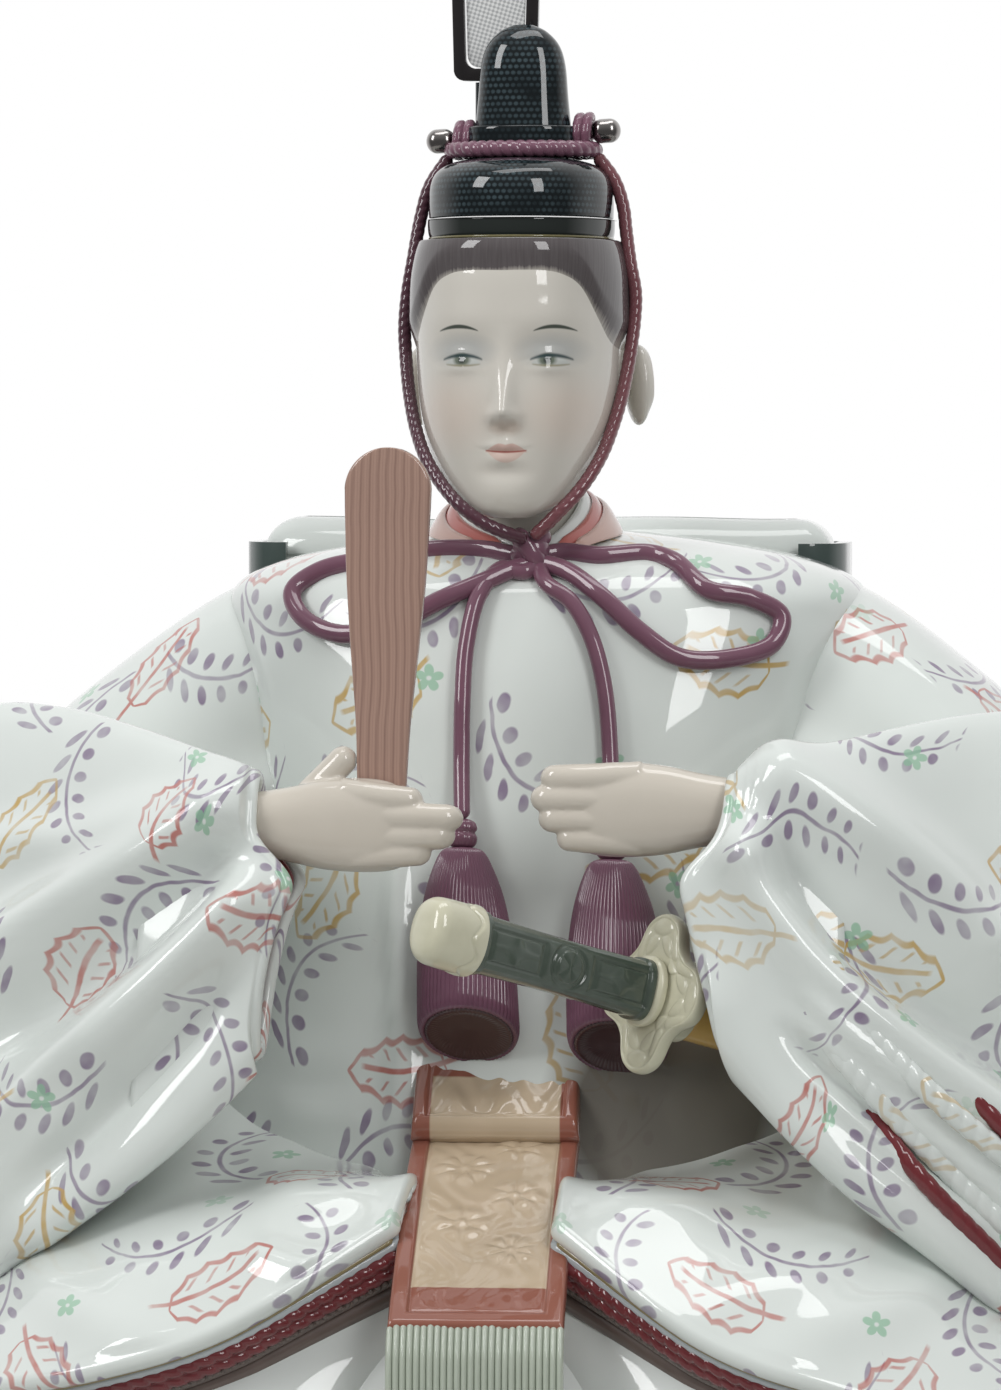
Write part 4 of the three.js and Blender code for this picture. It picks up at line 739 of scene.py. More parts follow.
@dataclass(frozen=True)
class Motifs:
    """Painted sprigs, leaves and small flowers scattered over the robe in cells of the paint map.

    Attributes:
        seed: moves the layout, so that no two pieces are alike.
        cell: the size of a sprig's cell, in millimetres.
        turn: how the whole layout is turned.
    """

    seed: float
    cell: float = 46.0
    turn: float = 0.3

    def scatter(self, brush: Brush, cell: float, seed: float, jitter: float) -> tuple[Brush, list[Term]]:
        """A brush in the nearest cell's own turned frame, and four random numbers of that cell.

        Args:
            brush: the brush in the whole plane.
            cell: size of a cell.
            seed: picks the random numbers.
            jitter: how far a cell's origin wanders, as a share of the cell.

        Returns:
            The brush in the cell, and the numbers from 0 to 1.
        """
        tree = brush.tree
        row = (brush.y / cell).by("FLOOR")
        shifted = brush.x / cell + row * 0.5
        column = shifted.by("FLOOR")
        at = add(tree, "ShaderNodeCombineXYZ", {0: column, 1: row, 2: seed + self.seed})
        noise = add(tree, "ShaderNodeTexWhiteNoise", {"Vector": at.outputs[0]}, noise_dimensions="3D")
        parts = add(tree, "ShaderNodeSeparateColor", {0: noise.outputs["Color"]}).outputs
        random = [Term(tree, parts[i]) for i in range(3)] + [Term(tree, noise.outputs["Value"])]
        x = (shifted - column - 0.5 + (random[0] - 0.5) * jitter) * cell
        y = (brush.y / cell - row - 0.5 + (random[1] - 0.5) * jitter) * cell
        angle = random[2] * (2 * math.pi)
        c, n = angle.by("COSINE"), angle.by("SINE")
        return Brush(tree, x * c + y * n, y * c - x * n, brush.colour), random

    @staticmethod
    def sprig(brush: Brush, length: float, bend: float) -> Term:
        """A bent stem with pairs of small oval leaves that shrink towards its tip."""
        share = brush.x / (length / 2)
        square = share * share
        off = brush.y + (square - 0.45) * bend
        live = (square * -1.0 + 1.0).inside(0.06)
        stem = ((share * -0.12 + 0.42) - abs(off)).inside(0.3) * live
        pitch = 4.6
        size = share * -0.2 + 0.98
        out = abs(off)
        slid = brush.x - out * 0.55
        cell = slid.wrapped(pitch)
        a = (out - size * 3.3) / 1.75
        b = (cell + a * 0.4) / 1.05
        leaf = (size - (a * a + b * b).by("SQRT")).inside(0.26)
        return stem.by("MAXIMUM", leaf * live)

    @staticmethod
    def leaf(brush: Brush, length: float, line: float) -> Term:
        """A toothed leaf drawn in outline, with its veins."""
        share = brush.x / (length / 2)
        shape = (share * share * -1.0 + 1.0).by("MAXIMUM", 0.0)
        belly = shape.by("POWER", 0.62) * (share * -0.24 + 1.0) * (length * 0.31)
        teeth = abs((brush.x * (math.pi / (length * 0.2)) + abs(brush.y) * 0.2).by("SINE")) * (length * 0.045)
        edge = abs(brush.y) - (belly - teeth)
        outline = (abs(edge) * -1.0 + line).inside(0.4) * (abs(share) * -1.0 + 1.0).inside(0.05)
        spine = brush.y + share * share * 1.6
        vein = (abs(spine) * -1.0 + line * 0.85).inside(0.3)
        vein = vein * ((share * -1.0 + 0.7).inside(0.1) * (share + 1.3).inside(0.1))
        slant = (brush.x - abs(spine) * 0.8).wrapped(length * 0.19)
        ribs = (abs(slant) * -1.0 + line * 0.62).inside(0.3) * (abs(spine) - 1.9).inside(0.4)
        ribs = ribs * (belly * 0.7 - abs(spine)).inside(0.6) * (abs(share) * -1.0 + 0.72).inside(0.1)
        return outline.by("MAXIMUM", vein).by("MAXIMUM", ribs * 0.85)

    @staticmethod
    def flower(brush: Brush, radius: float) -> Term:
        """A small five-petalled flower."""
        angle = brush.y.by("ARCTAN2", brush.x)
        out = (brush.x * brush.x + brush.y * brush.y).by("SQRT")
        petal = abs((angle * 2.5).by("COSINE")) * (radius * 0.55) + radius * 0.45
        heart = (out - radius * 0.16).inside(0.3)
        return (petal - out).inside(0.3) * heart

    def __call__(self, tree: Tree, place: Socket, colour: Socket):
        """Paints the robe."""
        brush = Brush.on_map(tree, colour)
        brush.x = brush.x + (noise(tree, place, 260.0, 1.0) - 0.5) * 0.9
        worn = (noise(tree, place, 170.0) * 1.3 + 0.12).by("MINIMUM", 1.0)
        c, n = math.cos(self.turn), math.sin(self.turn)
        brush = Brush(tree, brush.x * c + brush.y * n, brush.y * c - brush.x * n, colour)
        near, random = self.scatter(brush, self.cell, 1.0, 0.2)
        bend = (random[3] - 0.5).by("SIGN") * 9.5
        strokes = self.sprig(near, self.cell * 0.86, bend) * (random[0] - 0.08).inside(0.02)
        brush.lay(strokes * worn, "#7a6386", 0.85)
        more = Brush(tree, brush.x + self.cell * 0.47, brush.y + self.cell * 0.51, brush.colour)
        near, random = self.scatter(more, self.cell, 5.0, 0.2)
        mark = self.leaf(near, 20.0, 0.62) * (random[1] - 0.36).inside(0.02)
        first = mark * (random[3] - 0.5).inside(0.02)
        second = mark * (random[3] * -1.0 + 0.5).inside(0.02)
        brush.lay(first * worn, "#b8665c", 0.92)
        brush.lay(second * worn, "#c29f52", 0.92)
        near, random = self.scatter(Brush(tree, brush.x + 9.0, brush.y + 31.0, brush.colour),
                                    self.cell * 0.62, 9.0, 0.4)
        brush.lay(self.flower(near, 2.7) * (random[0] - 0.7).inside(0.02), "#8fbfa0", 0.75)
        return brush.colour


def shaded(paint: Callable, tone: str, x: float, z: float, wide: float, high: float) -> Callable:
    """A painted robe with painted shade laid over it: a soft dark spot where the robe lies in shadow, in
    millimetres of the front view.
    """

    def lay_painted_shade(tree: Tree, place: Socket, colour: Socket):
        """Lays the painted shade over the paint, on the front only."""
        brush = Brush.on(tree, place, paint(tree, place, colour)).moved(x, z)
        brush.lay(brush.spot(wide, high, 7.0) * ahead_of(tree, place, 10.0, 8.0), tone, 0.97)
        return brush.colour

    return lay_painted_shade


def woven(dot: str, period: float) -> Callable:
    """Rows of paler dots under the cap's glaze, as its lacquered gauze has them."""

    def dots(tree: Tree, place: Socket, colour: Socket):
        """Lays the dots on, unevenly."""
        brush = Brush.on_map(tree, colour)
        row = (brush.y / period).by("FLOOR")
        x = (brush.x + row * (period / 2)).wrapped(period)
        y = brush.y - (row + 0.5) * period
        amount = (noise(tree, place, 190.0, 3.0) * 2.6 - 0.75).held(0.05)
        spot = Brush(tree, x, y, colour).spot(period * 0.36, period * 0.3, 0.25)
        brush.lay(spot * amount, dot, 0.75)
        return brush.colour

    return dots


def netted(gap: str, pitch: float) -> Callable:
    """The diagonal mesh of stiff gauze, with darker holes."""

    def net(tree: Tree, place: Socket, colour: Socket):
        """Lays the holes on."""
        brush = Brush.on(tree, place, colour)
        one = ((brush.x + brush.y * 0.55) * (2 * math.pi / pitch)).by("SINE")
        two = ((brush.x * 0.5 - brush.y) * (2 * math.pi / pitch)).by("SINE")
        brush.lay((one * two - 0.05).inside(0.6), gap, 0.75)
        return brush.colour

    return net


def grained(paint: str, pitch: float) -> Callable:
    """Long painted grain lines of wood."""

    def grain(tree: Tree, place: Socket, colour: Socket):
        """Lays the lines on."""
        brush = Brush.on(tree, place, colour)
        wander = (noise(tree, place, 45.0) - 0.5) * 2.4
        line = ((brush.x + wander) * (2 * math.pi / pitch)).by("SINE") * 0.5 + 0.5
        fine = ((brush.x * 2.7 + wander * 1.7) * (2 * math.pi / pitch)).by("SINE") * 0.5 + 0.5
        brush.lay(line.by("POWER", 3.0) * 0.6 + fine.by("POWER", 4.0) * 0.35, paint, 0.85)
        return brush.colour

    return grain


def darker_below(deep: str, pitch: float, low: float = 0.0, high: float = 400.0) -> Callable:
    """Blotches of a darker colour, full below one height and fading out towards a higher one.

    Args:
        deep: the darker colour.
        pitch: how large the blotches are, in millimetres.
        low: height where the darker colour is strongest.
        high: height where it has faded.

    Returns:
        The paint.
    """

    def lay_darker_below(tree: Tree, place: Socket, colour: Socket):
        """Lays the darker colour on."""
        brush = Brush.on(tree, place, colour)
        fall = ((brush.y * -1.0 + high) / (high - low)).held()
        brush.lay(noise(tree, place, TO_MM / pitch) * fall, deep, 0.8)
        return brush.colour

    return lay_darker_below


def bordered(sizes: "SashSizes") -> Callable:
    """Russet borders round the sash, and soft flowers between them."""

    def paint(tree: Tree, place: Socket, colour: Socket):
        """Lays the borders on, in the sash's own turned frame."""
        axes = add(tree, "ShaderNodeSeparateXYZ", {0: place}).outputs
        x, y = Term(tree, axes[0]) * TO_MM - sizes.offset, Term(tree, axes[1]) * TO_MM + sizes.forward
        c, n = math.cos(sizes.turn), math.sin(sizes.turn)
        across = x * c + y * n
        ahead = (x * -n + y * c) * -1.0
        up = Term(tree, axes[2]) * TO_MM
        brush = Brush(tree, across, up, colour)
        cloud = add(tree, "ShaderNodeTexVoronoi", {"Vector": place, "Scale": 130.0}, feature="SMOOTH_F1")
        brush.lay((Term(tree, cloud.outputs[0]) * -1.0 + 0.42).inside(0.25), "#b9a68b", 0.45)
        edge = (abs(across) - (sizes.half_width - 3.5)).inside(0.3)
        foot = ((ahead - 60.5) + (up * -1.0 + 56.6) * 1.15).inside(0.4)
        top = (ahead * -1.0 + 10.6).inside(0.3) * (up - 86.0).inside(0.3)
        brush.lay(edge.by("MAXIMUM", foot).by("MAXIMUM", top), "#8f5547", 0.95)
        return brush.colour

    return paint


def faded(edge: str, comb: str) -> Callable:
    """Hair glaze that thins out over the skin at the hairline, with a few combed lines."""

    def strokes(tree: Tree, place: Socket, colour: Socket):
        """Lays the combed lines and the soft edge on."""
        brush = Brush.on_map(tree, colour)
        wander = noise(tree, place, 90.0, 3.0) - 0.5
        combed = add(tree, "ShaderNodeCombineXYZ", {0: brush.x * 2.2, 1: brush.y * 0.13, 2: 0.0})
        line = noise(tree, combed.outputs[0], 1.0, 3.0)
        brush.lay((line - 0.5).inside(0.3), comb, 0.45)
        brush.lay(((brush.y + (wander + line - 0.5) * 1.4) * -1.0 + 0.5).inside(1.1), edge, 0.9)
        return brush.colour

    return strokes


# Trunk


@dataclass(frozen=True)
class TrunkSizes:
    """Sizes of the robe over the trunk, in millimetres, and its rows as shares of them."""

    foot: float = 60.0
    height: float = 124.0
    half_width: float = 61.0
    depth: float = 42.0
    roundness: float = 2.6
    seam_offset: float = -20.5
    seam_proud: float = 2.2
    rows: Rows = (
        (0.0, 1.22, 1.56, 1.3), (0.12, 1.14, 1.46, 1.18), (0.28, 1.03, 1.34, 1.08),
        (0.45, 0.92, 1.25, 1.02), (0.6, 0.9, 1.17, 1.0), (0.75, 0.93, 1.09, 0.97),
        (0.86, 0.99, 0.99, 0.93), (0.92, 0.97, 0.9, 0.86), (0.96, 0.79, 0.76, 0.74),
        (0.985, 0.5, 0.58, 0.58), (1.0, 0.22, 0.4, 0.42))


@dataclass
class Trunk:
    """The robe over the chest and back, which the cords lie on."""

    sizes: TrunkSizes = field(default_factory=TrunkSizes)

    def row(self, z: Grid) -> Grid:
        """Share of height, half width, front and back at a height."""
        return rows_where(self.sizes.rows, (np.asarray(z, float) - self.sizes.foot) / self.sizes.height)

    def front(self, x: Grid, z: Grid) -> Grid:
        """Y of the robe's front."""
        row = self.row(z)
        side = np.clip(np.abs(x) / (row[..., 1] * self.sizes.half_width), 0, 1)
        k = self.sizes.roundness
        return -row[..., 2] * self.sizes.depth * (1 - side**k) ** (1 / k)

    def on_chest(self, x: Grid, z: Grid, proud: float) -> Grid:
        """Points that stand proud of the robe's front."""
        return np.stack(np.broadcast_arrays(x, self.front(x, z) - proud, z), -1)

    def build(self, finish: Finish) -> None:
        """Makes the robe, with its front seam and the soft folds at the waist."""
        s = self.sizes
        shares = np.concatenate([np.linspace(0, 0.9, 90), np.linspace(0.9, 1, 40)[1:]])
        rows = rows_at(s.rows, shares)
        z = s.foot + rows[:, 0] * s.height
        rings = oval(220, rows[:, 1] * s.half_width, rows[:, 2] * s.depth, rows[:, 3] * s.depth,
                     s.roundness, (0 * z, 0 * z, z))
        ahead = rings[..., 1] < 0
        seam = s.seam_proud * smooth(0.66 - rows[:, 0], 0, 0.2)[:, None]
        line = s.seam_offset + 1.2 * np.sin(rows[:, 0] * 9)[:, None]
        off = rings[..., 0] - line
        ridge = (0.45 * hump(off, 0, 3.4) - 0.4 * hump(off, 6.5, 3.2)
                 + 0.42 * smooth(2.1 - np.abs(off), 0, 0.45))
        rings[..., 1] -= np.where(ahead, seam * ridge, 0)
        folds = (Crease([[-48, 80], [-34, 78], [-21, 80]], 1.1, 3.5),
                 Crease([[-47, 91], [-36, 88], [-24, 91]], 0.7, 3.5),
                 Crease([[14, 92], [30, 89], [44, 93]], 1.2, 3.5),
                 Crease([[-52, 168], [-50, 150], [-49, 130]], 1.6, 4.5),
                 Crease([[52, 170], [49, 152], [48, 135]], 1.6, 4.5))
        for fold in folds:
            rings[..., 1] -= np.where(ahead, fold.lift(rings), 0)
        glazed("trunk_robe", [Shell(rings, seam=55)], finish)


# Head, hair and collars


@dataclass(frozen=True)
class HeadSizes:
    """Sizes of the head in millimetres, and its rows as shares of them."""

    offset: float = -2.8
    back: float = -20.0
    chin: float = 187.0
    half_width: float = 19.2
    depth: float = 24.0
    height: float = 60.0
    roundness: float = 2.25
    top: float = 0.855
    hair: float = 1.3
    ear: tuple = (2.0, 5.2, 7.6)
    ear_spin: float = 0.45
    ear_lean: float = 0.08
    neck_radius: float = 11.0
    neck_back: float = -15.0
    rows: Rows = (
        (0.0, 0.2, 0.82, -0.46), (0.03, 0.43, 0.9, -0.1), (0.1, 0.67, 0.935, 0.38),
        (0.2, 0.855, 0.955, 0.78), (0.33, 0.96, 0.97, 0.94), (0.48, 1.0, 0.98, 1.0),
        (0.63, 1.01, 1.0, 1.02), (0.77, 0.98, 0.98, 1.0), (0.88, 0.87, 0.87, 0.9),
        (0.96, 0.6, 0.6, 0.66), (1.0, 0.28, 0.3, 0.34))
    hairline: Rows = (
        (0.0, 0.75), (0.17, 0.75), (0.27, 0.738), (0.35, 0.7), (0.43, 0.6), (0.51, 0.53),
        (0.62, 0.51), (0.7, 0.53), (0.8, 0.5), (0.86, 0.26), (0.92, 0.14), (1.0, 0.12))


@dataclass
class Head:
    """Face, skull, ears, hair and neck."""

    sizes: HeadSizes = field(default_factory=HeadSizes)

    def features(self, x: Grid, z: Grid) -> Grid:
        """How far the face's relief stands out, in millimetres.

        Args:
            x: across from the face's middle, in millimetres.
            z: up from the chin, in millimetres.

        Returns:
            The relief, same shape as x.
        """
        side = np.abs(x)
        bridge = np.clip((35.5 - z) / 16.5, 0, 1)
        tip = smooth(z, 15.6, 20.0)
        nose = tip * (0.9 * bridge * hump(side, 0, 2.7) + 2.5 * bridge**2.4 * hump(side, 0, 1.95))
        wings = 0.5 * hump(z, 18.6, 1.5) * hump(side, 2.45, 1.1)
        nostril = -0.2 * hump(z, 17.1, 0.7) * hump(side, 1.6, 0.8)
        brow = 0.4 * hump(z, 36.4, 4.0) * hump(side, 8.6, 7.0)
        arch = 29.3 - 0.035 * (side - 7.8) ** 2
        socket = (-0.6 * hump(z, 31.4, 3.0) * hump(side, 7.4, 5.0)
                  - 0.4 * hump(z, 28.5, 4.5) * hump(side, 4.4, 2.6))
        ball = 0.55 * hump(z, 29.0, 2.5) * hump(side, 8.2, 4.0)
        lid = 0.1 * hump(z, arch + 1.5, 0.9) * hump(side, 8.2, 3.6)
        slit = -0.16 * hump(z, arch + 0.25, 0.42) * hump(side, 8.2, 3.4)
        under = 0.22 * hump(z, 27.2, 0.8) * hump(side, 8.4, 3.4)
        cheek = 0.6 * hump(z, 18.0, 7.5) * hump(side, 11, 6.5)
        groove = -0.28 * hump(z, 15.4, 1.3) * hump(side, 0, 0.9)
        upper = 0.6 * hump(z, 13.2 + 0.3 * hump(side, 1.3, 0.9), 1.0) * hump(side, 0, 3.2)
        lower = 0.7 * hump(z, 10.8, 1.2) * hump(side, 0, 2.7)
        parting = -0.34 * hump(z, 12.15 + 0.03 * side**2, 0.42) * hump(side, 0, 3.3)
        chin = 0.85 * hump(z, 4.6, 3.0) * hump(side, 0, 5.0) - 0.45 * hump(z, 8.3, 1.3) * hump(side, 0, 3.8)
        return (nose + wings + nostril + brow + socket + ball + lid + slit + under + cheek + groove + upper
                + lower + parting + chin)

    def surface(self, height: Grid, share: Grid, proud: Grid = 0.0, face: bool = True) -> Grid:
        """Points on the head.

        Args:
            height: up the head, as a share of its height.
            share: round the head, from -1 at the back over 0 in front to 1.
            proud: how far the points stand off it.
            face: whether the face's relief is on it.

        Returns:
            The points in millimetres.
        """
        s = self.sizes
        height, share, proud = np.broadcast_arrays(height, share, proud)
        rows = rows_where(s.rows, height)
        angle = np.pi * share * (0.5 + 0.5 * np.abs(share))
        side, ahead = power(np.sin(angle), 2 / s.roundness), power(np.cos(angle), 2 / s.roundness)
        wide, front, back = rows[..., 1], rows[..., 2], rows[..., 3]
        x = side * (wide * s.half_width + proud)
        z = height * s.height
        y = s.back + (back - front) / 2 * s.depth - ahead * ((front + back) / 2 * s.depth + proud)
        if face:
            y = y - np.where(ahead > 0, self.features(x, z) * np.clip(ahead * 1.6, 0, 1), 0)
        return np.stack([s.offset + x, y, s.chin + z], -1)

    def ear(self, side: int) -> Shell:
        """An ear: a flat oval with a rolled rim, a bowl and a lobe."""
        rows = np.linspace(0, np.pi, 60)[:, None]
        turn = np.linspace(0, 2 * np.pi, 72, endpoint=False)[None, :]
        up, out = np.sin(rows) * np.sin(turn), np.sin(rows) * np.cos(turn)
        across = np.cos(rows) + 0 * turn
        radius = np.hypot(up, out)
        rim = 0.62 * hump(radius, 0.84, 0.13) * smooth(up, -0.75, -0.2)
        bowl = (-0.75 * hump(up, -0.18, 0.42) * hump(out, 0.06, 0.4)
                - 0.3 * hump(up, 0.5, 0.3) * hump(out, 0, 0.3))
        fold = 0.35 * hump(radius, 0.5, 0.12) * smooth(up, -0.4, 0.2)
        lift = np.where(across > 0, rim + bowl + fold, 0)
        thick, deep, high = self.sizes.ear
        local = np.stack([thick * across + lift, deep * out * (1 - 0.08 * up), high * up], -1)
        spin, lean = self.sizes.ear_spin, self.sizes.ear_lean
        x = local[..., 0] * math.cos(spin) - local[..., 1] * math.sin(spin)
        y = local[..., 0] * math.sin(spin) + local[..., 1] * math.cos(spin)
        z = local[..., 2] * math.cos(lean) + y * math.sin(lean)
        y = y * math.cos(lean) - local[..., 2] * math.sin(lean)
        s = self.sizes
        centre = np.array([s.offset + side * s.half_width * (1.065 + 0.025 * side), s.back + s.depth * 0.42,
                           s.chin + s.height * 0.41])
        return Shell(centre + np.stack([side * x, y, z], -1))

    def build(self, skin: Finish, hair: Finish) -> None:
        """Makes the head with its ears, the hair and the neck."""
        s = self.sizes
        heights = np.concatenate([[0.0], np.linspace(0.004, 0.62, 210), np.linspace(0.62, s.top, 50)[1:]])
        share = np.linspace(-1, 1, 300, endpoint=False)
        rings = self.surface(heights[:, None], share[None, :])
        ears = [self.ear(-1), self.ear(1)]
        glazed("head", [Shell(rings), *ears], skin)
        line = rows_where(s.hairline, np.abs(share))[:, 1]
        up = np.linspace(0, 1, 70)
        rise = line[None, :] + (s.top - line[None, :]) * up[:, None]
        depth_in = (rise - line[None, :]) * s.height
        full = s.hair * smooth(depth_in, -0.5, 6.0) - 0.06
        outer = self.surface(rise, share[None, :], full, face=False)
        inner = self.surface(rise[::-1], share[None, :], -2 * s.hair, face=False)
        glazed("hair", [Shell(np.concatenate([outer, inner]), looped=True)], hair)
        rows = rows_at([[170, 1.12], [184, 1.0], [193, 0.96]], np.linspace(0, 1, 30))
        deep = rows[:, 1] * s.neck_radius
        neck = oval(90, rows[:, 1] * 10.5, deep, deep, 2,
                    (s.offset + 0 * rows[:, 0], s.neck_back + 0 * rows[:, 0], rows[:, 0]))
        glazed("neck", [Shell(neck)], skin)


@dataclass(frozen=True)
class CollarSizes:
    """Sizes of the three collars in millimetres, from the neck outwards."""

    width: float = 6.2
    thickness: float = 1.5
    half_width: float = 12.4
    step: float = 2.1
    front: float = 180.0
    rise: float = 13.6
    neck_back: float = -15.0
    neck_depth: float = 11.0
    offset: float = -2.8
    aside: float = 3.9
    lean: float = 0.6
    rings: int = 140


@dataclass
class Collars:
    """Three collars that cross in front of the neck."""

    sizes: CollarSizes = field(default_factory=CollarSizes)

    def ribbon(self, order: int) -> Shell:
        """One collar, as a ribbon with rounded edges."""
        s = self.sizes
        wide = s.half_width + order * s.step
        deep = s.neck_depth + s.step + order * s.step
        end = 0.955 - 0.07 * order
        angle = np.linspace(-end * np.pi, end * np.pi, s.rings)
        rise = (1 - np.abs(angle) / np.pi) ** 0.7
        front = 1 + 0.12 * hump(np.abs(angle), np.pi, 0.7)
        across, along = np.sin(angle), np.cos(angle) * front
        middle = s.offset + s.aside * hump(np.abs(angle), np.pi, 0.8)
        narrow = (1 - 0.62 * smooth(np.abs(angle) / np.pi, 0.42, end - 0.06))[:, None, None]
        centre = np.stack([middle + across * wide, s.neck_back + along * deep,
                           s.front - order * s.step * 0.6 + rise * s.rise], -1)
        out = unit(np.stack([across, along, 0 * along], -1))
        up = unit(np.stack([out[:, 0] * -s.lean, out[:, 1] * -s.lean, 1 + 0 * along], -1))
        turn = np.linspace(0, 2 * np.pi, 24, endpoint=False)
        ups, outs = power(np.sin(turn), 0.55) * s.width / 2, power(np.cos(turn), 0.7) * s.thickness / 2
        order_along = np.arange(s.rings)
        close = np.clip(np.minimum(order_along, order_along[::-1]) / 3, 0.15, 1)[:, None, None]
        section = up[:, None] * ups[None, :, None] * narrow + out[:, None] * outs[None, :, None]
        return Shell(centre[:, None] + section * close**0.5)

    def build(self, finishes: Sequence[Finish]) -> None:
        """Makes the three collars."""
        names = ("inner_collar", "red_collar", "outer_collar")
        for order, (name, finish) in enumerate(zip(names, finishes)):
            glazed(name, [self.ribbon(order)], finish)


# Cap, pin and plume


@dataclass(frozen=True)
class CapSizes:
    """Sizes of the cap in millimetres."""

    offset: float = -2.8
    back: float = -19.0
    brim_half_width: float = 17.4
    brim_depth: float = 20.4
    brim_height: float = 3.6
    brim_foot: float = 238.6
    roll: float = 1.4
    crown_height: float = 11.0
    upright_half_width: float = 9.2
    upright_depth: float = 6.4
    upright_height: float = 25.0
    upright_back: float = -16.5
    band_height: float = 4.0
    band_proud: float = 0.9
    pin_radius: float = 1.25
    pin_half_length: float = 18.4
    head_radius: float = 2.3
    head_length: float = 5.6
    pin_rise: float = 4.6
    pin_tilt: float = 0.055
    wrap_radius: float = 0.95
    wrap_stand: float = 0.9
    wrap_step: float = 1.7
    cord_radius: float = 1.45
    cord_reach: float = 4.2
    cord_lift: float = 1.6
    roundness: float = 2.1
    upright_roundness: float = 2.3
    gap: float = 0.3

    @property
    def crown_foot(self) -> float:
        """Height of the crown's foot."""
        return self.brim_foot + self.brim_height + self.gap

    @property
    def crown_top(self) -> float:
        """Height of the crown's top."""
        return self.crown_foot + self.crown_height

    @property
    def pin_height(self) -> float:
        """Height of the hairpin."""
        return self.crown_top + self.pin_rise


